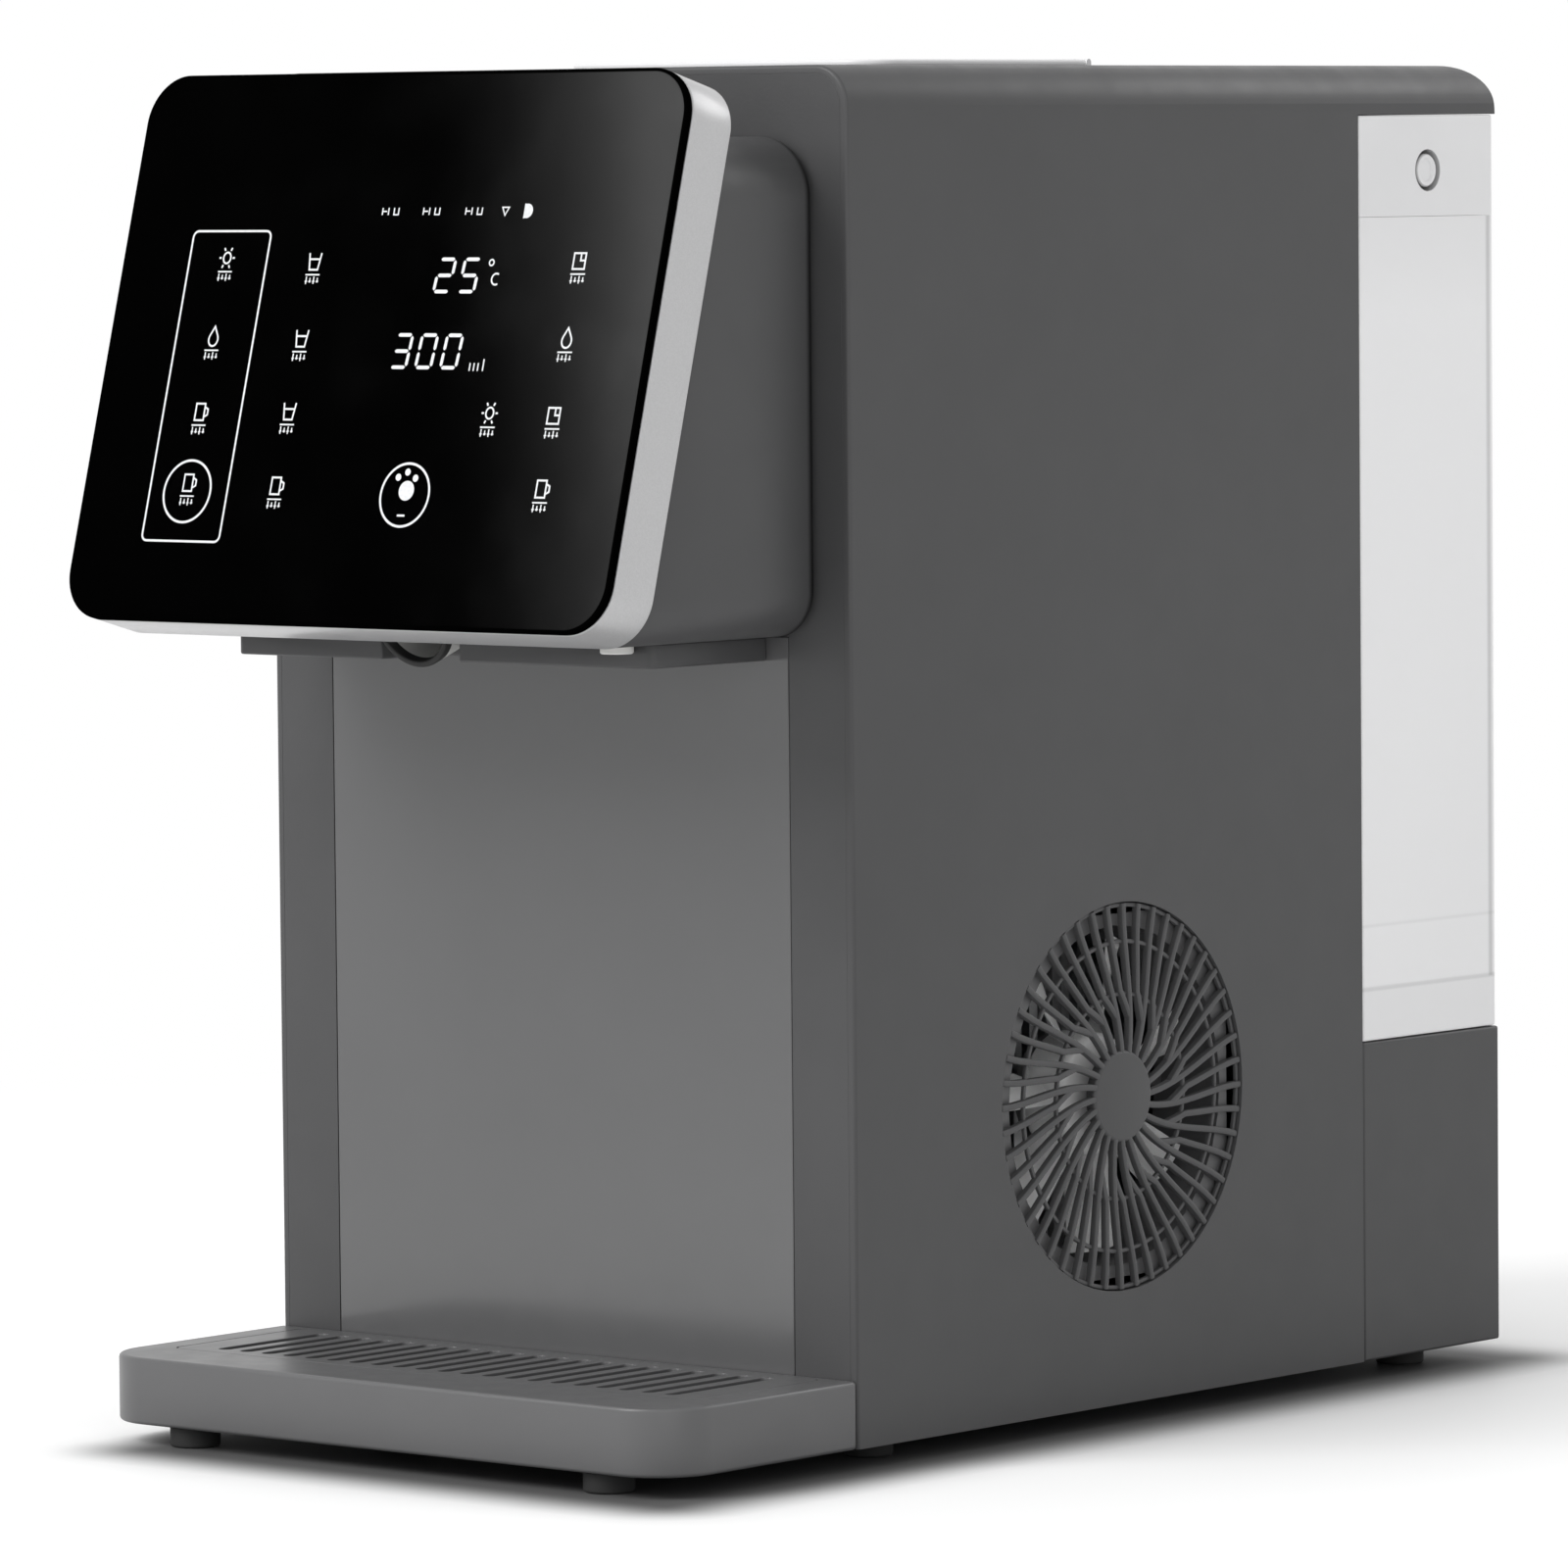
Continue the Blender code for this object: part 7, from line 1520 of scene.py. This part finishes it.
def blade_ring(base, share, middle):
    """One section of a fan blade, at a share of its length from the root."""
    root = 0.0182
    tip = 0.0494
    bend = 0.050
    points = 8
    radius = root + (tip - root) * share
    pitch = math.radians(38) * (1 - share / 3)
    chord = 0.022 * (1 - share / 5)
    ring = []
    for side in (1, -1):
        for step in range(points):
            along = (step / (points - 1) - 0.5) * side
            swell = 1 - (2 * along) ** 2
            rise = 0.0007 * swell * side + 0.0002 * side + 0.0012 * swell
            tangent = along * chord * math.cos(pitch) - rise * math.sin(pitch)
            axial = along * chord * math.sin(pitch) + rise * math.cos(pitch)
            angle = base + tangent / bend
            ring.append((radius * math.cos(angle), radius * math.sin(angle), middle + axial * 0.93))
    return ring


def build_fan():
    """Fan rotor with a domed hub and twisted blades."""
    low, high = local("fan_rotor")
    centre = centre_of("fan_grille")
    stand = Matrix.Translation((low.x, centre.y, centre.z)) @ SIDE
    length = high.x - low.x
    shaft = 0.0023
    hub = 0.019
    edge = 0.0025
    wall = 0.0018
    floor = length - 0.0045
    profile = [(shaft, length), (hub - edge, length)]
    profile += arc(hub - edge, length - edge, edge, math.pi / 2, 0, 6)
    profile += [(hub, 0), (hub - wall, 0), (hub - wall, floor), (shaft, floor), (shaft, length)]
    fan = bmesh.new()
    turned(fan, profile, stand, 64)
    blades = 7
    stations = 9
    for blade in range(blades):
        base = math.tau * (blade + 0.37) / blades
        rings = [blade_ring(base, station / stations, length / 2) for station in range(stations + 1)]
        loft(fan, [[stand @ Vector(point) for point in ring] for ring in rings])
    piece("fan", fan, fan_plastic(), "fan_rotor", ["fan_rotor"])


# Water tank


def tank_outline(inset):
    """The tank from above, with its two rear radii."""
    low, high = local("tank_body")
    radius = 0.003 - inset
    return rounded(low.x + inset, high.x - inset, low.y + inset, high.y - inset, (0, 0, radius, radius), 12)


def build_tank():
    """Milky tank, open at its top under the lid, with the valve's port."""
    low, high = local("tank_body")
    near = 0.0001
    tank = bmesh.new()
    prism(tank, tank_outline(0), low.z, high.z)
    bevel_edges(tank, [
        edge for edge in sharp_edges(tank) if min(vert.co.z for vert in edge.verts) < high.z - near
    ], 0.0008, 3)
    hollow = bmesh.new()
    prism(hollow, tank_outline(TANK_WALL), low.z + 0.003, high.z + OVER)
    port = bmesh.new()
    port_x = -0.060
    port_z = low.z + 0.021
    drum(port, (port_x, low.y - OVER, port_z), (port_x, low.y + TANK_WALL + OVER, port_z), 0.0076)
    tank = combine(tank, [("DIFFERENCE", hollow), ("DIFFERENCE", port)])
    piece("tank", tank, tank_plastic(), "tank", ["tank_body"])


def build_tank_lid():
    """Tank lid with the handle's recess, the filler port and the holes for the handle's bosses."""
    low, high = local("tank_lid")
    middle = centre_of("tank_lid").y
    lid = bmesh.new()
    prism(lid, tank_outline(0), low.z - 0.0002, high.z)
    bevel_edges(lid, [
        edge for edge in sharp_edges(lid) if max(vert.co.z for vert in edge.verts) > low.z
    ], 0.0006, 3)
    recess_front = middle - 0.0071
    ceiling = high.z - TANK_WALL
    half = HALF_WIDTH - 0.0155
    recess = bmesh.new()
    block(recess, (-half, recess_front, low.z + TANK_WALL), (half, high.y + OVER, high.z + OVER))
    inside = HALF_WIDTH - TANK_WALL
    front = low.y + TANK_WALL
    back = recess_front - 0.002
    under = bmesh.new()
    block(under, (-inside, front, low.z - OVER), (inside, back, ceiling))
    port_y = (front + back) / 2
    port = bmesh.new()
    outline = rounded(-0.03, 0.03, port_y - 0.009, port_y + 0.009, (0.006,) * 4)
    prism(port, outline, ceiling - OVER, high.z + OVER)
    holes = bmesh.new()
    past = HALF_WIDTH + OVER
    drum(holes, (-past, middle, HANDLE_Z), (past, middle, HANDLE_Z), 0.0066, segments=64)
    lid = combine(lid, [("DIFFERENCE", cutter) for cutter in (recess, under, port, holes)])
    piece("tank_cap", lid, tank_lid_plastic(), "tank", ["tank_lid"])


def build_handle():
    """Bail handle: a round bar, two arms and round bosses with a raised ring."""
    pivot = Vector((0, centre_of("tank_lid").y, HANDLE_Z))
    hang = math.radians(14)
    reach = Vector((0, HANDLE_SWING * math.cos(hang), -HANDLE_SWING * math.sin(hang)))
    bar = 0.004
    bar_end = Vector((HALF_WIDTH - 0.020, 0, 0))
    handle = bmesh.new()
    drum(handle, pivot + reach - bar_end, pivot + reach + bar_end, bar, segments=40)
    square = math.pi / 2
    arm = arc(0, 0, 0.0063, square - hang, math.pi + square - hang, 24)
    arm += arc(reach.y, reach.z, bar, -square - hang, square - hang, 16)
    face = HALF_WIDTH - GAP
    root = HALF_WIDTH - 0.0185
    boss = [
        (0, face - 0.0008), (0.0034, face - 0.0008), (0.0037, face - 0.0002), (0.0040, face),
        (0.0048, face), (0.0053, face - 0.0005), (0.0053, root), (0, root),
    ]
    for side in (-1, 1):
        ends = sorted((side * (HALF_WIDTH - 0.020), side * (HALF_WIDTH - 0.016)))
        prism(handle, arm, *ends, Matrix.Translation(pivot) @ SIDE)
        facing = Matrix.Rotation(math.pi if side < 0 else 0, 4, "Z")
        turned(handle, boss, Matrix.Translation(pivot) @ facing @ SIDE)
    piece("handle", handle, tank_lid_plastic(), "tank_handle", ["tank_handle"])


# Rear block and base


def build_rear_cover():
    """Lower rear block with its vents and the inlet's cut-out."""
    low, high = local("rear_base_cover")
    wall = 0.0025
    cover = bmesh.new()
    block(cover, low, high)
    tidy_edges(cover, 0.0008, 3)
    hollow = bmesh.new()
    block(hollow, (low.x + wall, low.y - OVER, low.z - OVER), (high.x - wall, high.y - wall, high.z - wall))
    front = high.y - wall - OVER
    back = high.y + OVER
    vents = bmesh.new()
    for index in range(9):
        x = -HALF_WIDTH * 0.75 + index * VENT_PITCH
        prism(vents, slot(x, (low.z + high.z) / 2, VENT_WIDTH, VENT_HEIGHT), front, back, FRONT)
    inlet_low, inlet_high = local("power_inlet")
    outline = rounded(
        inlet_low.x - GAP, inlet_high.x + GAP, inlet_low.z - GAP, inlet_high.z + GAP, (0.0033,) * 4
    )
    hole = bmesh.new()
    prism(hole, outline, front, back, FRONT)
    cover = combine(cover, [("DIFFERENCE", hollow), ("DIFFERENCE", vents), ("DIFFERENCE", hole)])
    piece("rear_block", cover, cabinet_plastic(), nodes=["rear_base_cover"])


def dress_frame_nodes():
    """Give the frame's own pieces that still show a finish of their own."""
    looks = {
        "tank_dock": cabinet_plastic, "lid_hinge_pin": tank_lid_plastic, "base_pan": galvanised,
        "drain_plug": rubber, "display_module": black_plastic, "control_board": board,
        "power_board": board, "fan_shroud": duct_plastic, "fan_motor": zinc_steel,
        "condenser": aluminium, "compressor": black_enamel, "drier": copper,
        "discharge_line": copper, "suction_line": copper, "evaporator": copper,
        "module_bracket": zinc_steel, "equipment_deck": zinc_steel, "water_tray": white_plastic,
        "tray_motor": white_plastic, "ice_bin": white_plastic, "auger": stainless,
        "auger_motor": white_plastic, "ice_gate": black_plastic, "gate_solenoid": zinc_steel,
        "solenoid_plunger": stainless, "water_heater": stainless, "water_pump": black_plastic,
        "inlet_hose": silicone, "heater_hose": silicone, "nozzle_hose": silicone,
        "power_inlet": black_plastic, "valve_poppet": black_plastic, "tank_float": white_plastic,
    }
    for item in bpy.data.objects:
        node = item.get("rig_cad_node")
        if node is None or item.hide_render:
            continue
        if node not in looks:
            raise RuntimeError("no finish for frame node " + node)
        item.data.materials.clear()
        item.data.materials.append(looks[node]())
        item.data.shade_smooth()
        item.data.set_sharp_from_angle(angle=CURVED)


# Studio


def seen_rays(tree):
    """One for the rays that see the background: the camera's, mirrored and bent ones."""
    path = add_node(tree, "ShaderNodeLightPath").outputs
    mirrored = calc(tree, "MAXIMUM", path["Is Camera Ray"], path["Is Glossy Ray"])
    return calc(tree, "MAXIMUM", mirrored, path["Is Transmission Ray"])


def outside_base(tree):
    """How far a point of the floor lies outside the base, which ends sooner on the key lamp's side."""
    low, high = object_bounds()
    left = low[0] + 0.03
    front = low[1] + 0.015
    axes = axes_of(tree)
    distances = [
        calc(tree, "SUBTRACT", axes["X"], (left + high[0]) / 2),
        calc(tree, "SUBTRACT", axes["Y"], (front + high[1]) / 2),
    ]
    return past_box(tree, distances, ((high[0] - left) / 2, (high[1] - front) / 2))


def floor_material():
    """Pale studio paper, dark under the machine with a painted shadow, and white to the eye away from it.
    """
    def make(name):
        settings = bpy.context.scene.ice_maker_stage
        material, tree, shader = new_material(name, "matt studio paper")
        near = outside_base(tree)
        # Painted shadow: the paper is darkened under the machine and just past its base, standing in for
        # the contact shadow.
        under = ramp(tree, near, 0.0, 0.035, 1.0, 0.0, curve="SMOOTHSTEP")
        paper = mottled(tree, linear(settings.floor), noise(tree, 0.4, 3), 0.01)
        fill(tree, shader, {
            "Base Color": shade(tree, paper, under, 0.88), "Roughness": 0.6, "Specular IOR Level": 0.25,
        })
        seen = seen_rays(tree)
        steep = ramp(tree, near, 0.01, 0.05, 0.0, 0.4, curve="SMOOTHSTEP")
        slow = ramp(tree, near, 0.0, 0.8, 0.0, 0.6)
        rise = calc(tree, "MULTIPLY", calc(tree, "ADD", steep, slow), settings.floor_lift)
        glow = add_node(tree, "ShaderNodeEmission", {
            "Color": linear("ffffff"), "Strength": calc(tree, "MULTIPLY", seen, rise),
        })
        lit = add_node(tree, "ShaderNodeAddShader", {0: shader.outputs[0], 1: glow.outputs[0]})
        fade = ramp(tree, length_of(tree, place(tree)), 0.45, 1.1, curve="SMOOTHSTEP")
        white = add_node(tree, "ShaderNodeEmission", {"Color": linear("ffffff"), "Strength": 1.0})
        mixed = add_node(tree, "ShaderNodeMixShader", {
            0: calc(tree, "MULTIPLY", seen, fade), 1: lit.outputs[0], 2: white.outputs[0],
        })
        tree.links.new(mixed.outputs[0], node_of(tree, "ShaderNodeOutputMaterial").inputs["Surface"])
        return material
    return cached("Matt studio paper, painted contact shadow", make)


def card_material():
    """Black velvet that thins out towards one side, so that a mirrored edge is soft."""
    def make(name):
        material, tree, shader = new_material(name, "matt black velvet, thinner towards one side")
        fill(tree, shader, {"Base Color": linear("000000"), "Specular IOR Level": 0.0})
        axes = axes_of(tree)
        across = calc(tree, "ADD", axes["X"], calc(tree, "MULTIPLY", axes["Y"], 0.44))
        clear = calc(tree, "POWER", ramp(tree, across, 0.0154, 0.1278), 3.0)
        gap = add_node(tree, "ShaderNodeBsdfTransparent")
        mixed = add_node(
            tree, "ShaderNodeMixShader", {0: clear, 1: shader.outputs[0], 2: gap.outputs[0]}
        )
        tree.links.new(mixed.outputs[0], node_of(tree, "ShaderNodeOutputMaterial").inputs["Surface"])
        return material
    return cached("Black velvet", make)


def stage_plate(name, bm, material):
    """A flat thing of the studio, which isn't part of the machine."""
    mesh = bpy.data.meshes.new(name)
    bm.to_mesh(mesh)
    bm.free()
    mesh.materials.append(material)
    item = bpy.data.objects.new(name, mesh)
    bpy.context.scene.collection.objects.link(item)
    item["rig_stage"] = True
    return item


def build_card(camera):
    """Black card that only the panel's mirror image shows, a metre away from the glass."""
    plane = panel_plane()
    glass = plane.translation
    normal = (plane.to_3x3() @ Vector((0, 0, 1))).normalized()
    sight = (glass - MACHINE.inverted() @ camera.matrix_world.translation).normalized()
    away = sight.reflect(normal)
    across = away.cross(Vector((0, 0, 1))).normalized()
    if across.x < 0:
        across = -across
    rise = across.cross(away).normalized()
    if rise.z < 0:
        rise = -rise
    card = bmesh.new()
    bmesh.ops.create_grid(card, x_segments=1, y_segments=1, size=0.3)
    bmesh.ops.translate(card, verts=card.verts, vec=(-0.17, 0, 0))
    item = stage_plate("card", card, card_material())
    axes = Matrix((across, rise, across.cross(rise))).transposed().to_4x4()
    item.matrix_world = MACHINE @ Matrix.Translation(glass + away) @ axes
    item.visible_camera = False
    item.visible_diffuse = False
    item.visible_transmission = False
    item.visible_shadow = False


def build_lamps(settings):
    """Three large lamps that face the machine."""
    middle = Vector((0, 0, 0.2))
    lamps = (
        ("key", (-0.8, -2.0, 1.8), (1.5, 1.5), settings.key_power),
        ("fill", (2.2, -1.6, 1.0), (1.6, 1.6), settings.fill_power),
        ("back", (0.9, 2.2, 1.6), (1.6, 1.0), settings.fill_power * 1.2),
    )
    for name, position, size, power in lamps:
        lamp = bpy.data.lights.new(name, "AREA")
        lamp.shape = "RECTANGLE"
        lamp.size, lamp.size_y = size
        lamp.energy = power
        item = bpy.data.objects.new(name, lamp)
        item.location = position
        item.rotation_euler = (middle - Vector(position)).to_track_quat("-Z", "Y").to_euler()
        bpy.context.scene.collection.objects.link(item)
        item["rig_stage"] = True


def build_studio():
    """Floor, lamps, world and camera."""
    settings = bpy.context.scene.ice_maker_stage
    floor = bmesh.new()
    bmesh.ops.create_grid(floor, x_segments=1, y_segments=1, size=6)
    stage_plate("floor", floor, floor_material())
    build_lamps(settings)
    build_world(settings.sky)
    build_card(build_camera(settings))
    bpy.context.scene.view_settings.view_transform = "Standard"


def build_world(strength):
    """Even studio light; the camera, and what mirrors or bends light, sees white."""
    world = bpy.data.worlds.new("studio")
    bpy.context.scene.world = world
    world.use_nodes = True
    tree = world.node_tree
    tree.nodes.clear()
    even = add_node(tree, "ShaderNodeBackground", {"Color": linear("ffffff"), "Strength": strength})
    white = add_node(tree, "ShaderNodeBackground", {"Color": linear("ffffff"), "Strength": 1.0})
    mixed = add_node(tree, "ShaderNodeMixShader", {
        0: seen_rays(tree), 1: even.outputs[0], 2: white.outputs[0],
    })
    add_node(tree, "ShaderNodeOutputWorld", {"Surface": mixed.outputs[0]})


def build_camera(settings):
    """Camera fitted to the photograph's edges: no shift, a slight downward pitch and roll."""
    camera = bpy.data.cameras.new("camera")
    camera.sensor_width = 36.0
    camera.lens = 217.52
    camera.clip_start = 0.1
    camera.clip_end = 50
    item = bpy.data.objects.new("camera", camera)
    bpy.context.scene.collection.objects.link(item)
    bpy.context.scene.camera = item
    item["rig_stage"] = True
    sideways = 0.06875
    height = 0.38383
    pitch = math.radians(3.8049)
    roll = math.radians(0.5254)
    azimuth = settings.azimuth
    ahead = Vector((-math.sin(azimuth), math.cos(azimuth), 0))
    right = Vector((math.cos(azimuth), math.sin(azimuth), 0))
    spot = -ahead * settings.distance + right * sideways
    spot.z = height
    look = ahead * math.cos(pitch) - Vector((0, 0, 1)) * math.sin(pitch)
    up = right.cross(look)
    turned_right = right * math.cos(roll) - up * math.sin(roll)
    turned_up = up * math.cos(roll) + right * math.sin(roll)
    rotation = Matrix((turned_right, turned_up, -look)).transposed().to_4x4()
    item.matrix_world = MACHINE @ Matrix.Translation(spot) @ rotation
    return item


# Operators


class ICEMAKER_OT_cabinet(bpy.types.Operator):
    """Build the shell, the lid, the front plate and the backsplash."""

    bl_idname = "icemaker.cabinet"
    bl_label = "Build Cabinet"

    def execute(self, context):
        build_shell()
        build_top_lid()
        build_fascia()
        return {"FINISHED"}


class ICEMAKER_OT_head(bpy.types.Operator):
    """Build the head, the outlet block, the chute and the water nozzle."""

    bl_idname = "icemaker.head"
    bl_label = "Build Head"

    def execute(self, context):
        build_head()
        build_outlet()
        build_chute()
        build_nozzle()
        return {"FINISHED"}


class ICEMAKER_OT_panel(bpy.types.Operator):
    """Build the control panel and its lit signs."""

    bl_idname = "icemaker.panel"
    bl_label = "Build Control Panel"

    def execute(self, context):
        build_panel()
        build_signs()
        return {"FINISHED"}


class ICEMAKER_OT_tray(bpy.types.Operator):
    """Build the drip tray, its grille and all feet."""

    bl_idname = "icemaker.tray"
    bl_label = "Build Drip Tray"

    def execute(self, context):
        build_tray()
        build_tray_grille()
        build_feet()
        return {"FINISHED"}


class ICEMAKER_OT_fan(bpy.types.Operator):
    """Build the side grille and the fan behind it."""

    bl_idname = "icemaker.fan"
    bl_label = "Build Side Grille"

    def execute(self, context):
        build_side_grille()
        build_fan()
        return {"FINISHED"}


class ICEMAKER_OT_tank(bpy.types.Operator):
    """Build the water tank, its lid and its handle."""

    bl_idname = "icemaker.tank"
    bl_label = "Build Water Tank"

    def execute(self, context):
        build_tank()
        build_tank_lid()
        build_handle()
        return {"FINISHED"}


class ICEMAKER_OT_rear(bpy.types.Operator):
    """Build the lower rear block."""

    bl_idname = "icemaker.rear"
    bl_label = "Build Rear Block"

    def execute(self, context):
        build_rear_cover()
        return {"FINISHED"}


class ICEMAKER_OT_inside(bpy.types.Operator):
    """Give the pieces of the frame that still show their finish."""

    bl_idname = "icemaker.inside"
    bl_label = "Finish Inner Pieces"

    def execute(self, context):
        dress_frame_nodes()
        return {"FINISHED"}


class ICEMAKER_OT_stage(bpy.types.Operator):
    """Build the studio: floor, lamps, world and camera."""

    bl_idname = "icemaker.stage"
    bl_label = "Build Studio"

    def execute(self, context):
        build_studio()
        return {"FINISHED"}


OPERATORS = (
    ICEMAKER_OT_cabinet, ICEMAKER_OT_head, ICEMAKER_OT_panel, ICEMAKER_OT_tray, ICEMAKER_OT_fan,
    ICEMAKER_OT_tank, ICEMAKER_OT_rear, ICEMAKER_OT_inside, ICEMAKER_OT_stage,
)


class ICEMAKER_PT_sidebar(bpy.types.Panel):
    """Sidebar panel with the settings and the build steps."""

    bl_label = "Ice Maker"
    bl_idname = "ICEMAKER_PT_sidebar"
    bl_space_type = "VIEW_3D"
    bl_region_type = "UI"
    bl_category = "Ice Maker"

    def draw(self, context):
        layout = self.layout
        scene = context.scene
        for group in (scene.ice_maker_sizes, scene.ice_maker_finish, scene.ice_maker_stage):
            column = layout.column(align=True)
            for name in group.__annotations__:
                column.prop(group, name)
        for operator in OPERATORS:
            layout.operator(operator.bl_idname)


CLASSES = (IceMakerSizes, IceMakerFinish, IceMakerStage, *OPERATORS, ICEMAKER_PT_sidebar)


def register():
    """Register the classes and attach the settings to the scene."""
    for item in CLASSES:
        bpy.utils.register_class(item)
    bpy.types.Scene.ice_maker_sizes = bpy.props.PointerProperty(type=IceMakerSizes)
    bpy.types.Scene.ice_maker_finish = bpy.props.PointerProperty(type=IceMakerFinish)
    bpy.types.Scene.ice_maker_stage = bpy.props.PointerProperty(type=IceMakerStage)


def unregister():
    """Remove the settings and the classes."""
    del bpy.types.Scene.ice_maker_stage
    del bpy.types.Scene.ice_maker_finish
    del bpy.types.Scene.ice_maker_sizes
    for item in reversed(CLASSES):
        bpy.utils.unregister_class(item)


def main():
    """Build everything in order."""
    register()
    bpy.ops.icemaker.cabinet()
    bpy.ops.icemaker.head()
    bpy.ops.icemaker.panel()
    bpy.ops.icemaker.tray()
    bpy.ops.icemaker.fan()
    bpy.ops.icemaker.tank()
    bpy.ops.icemaker.rear()
    bpy.ops.icemaker.inside()
    bpy.ops.icemaker.stage()


if __name__ == "__main__":
    main()
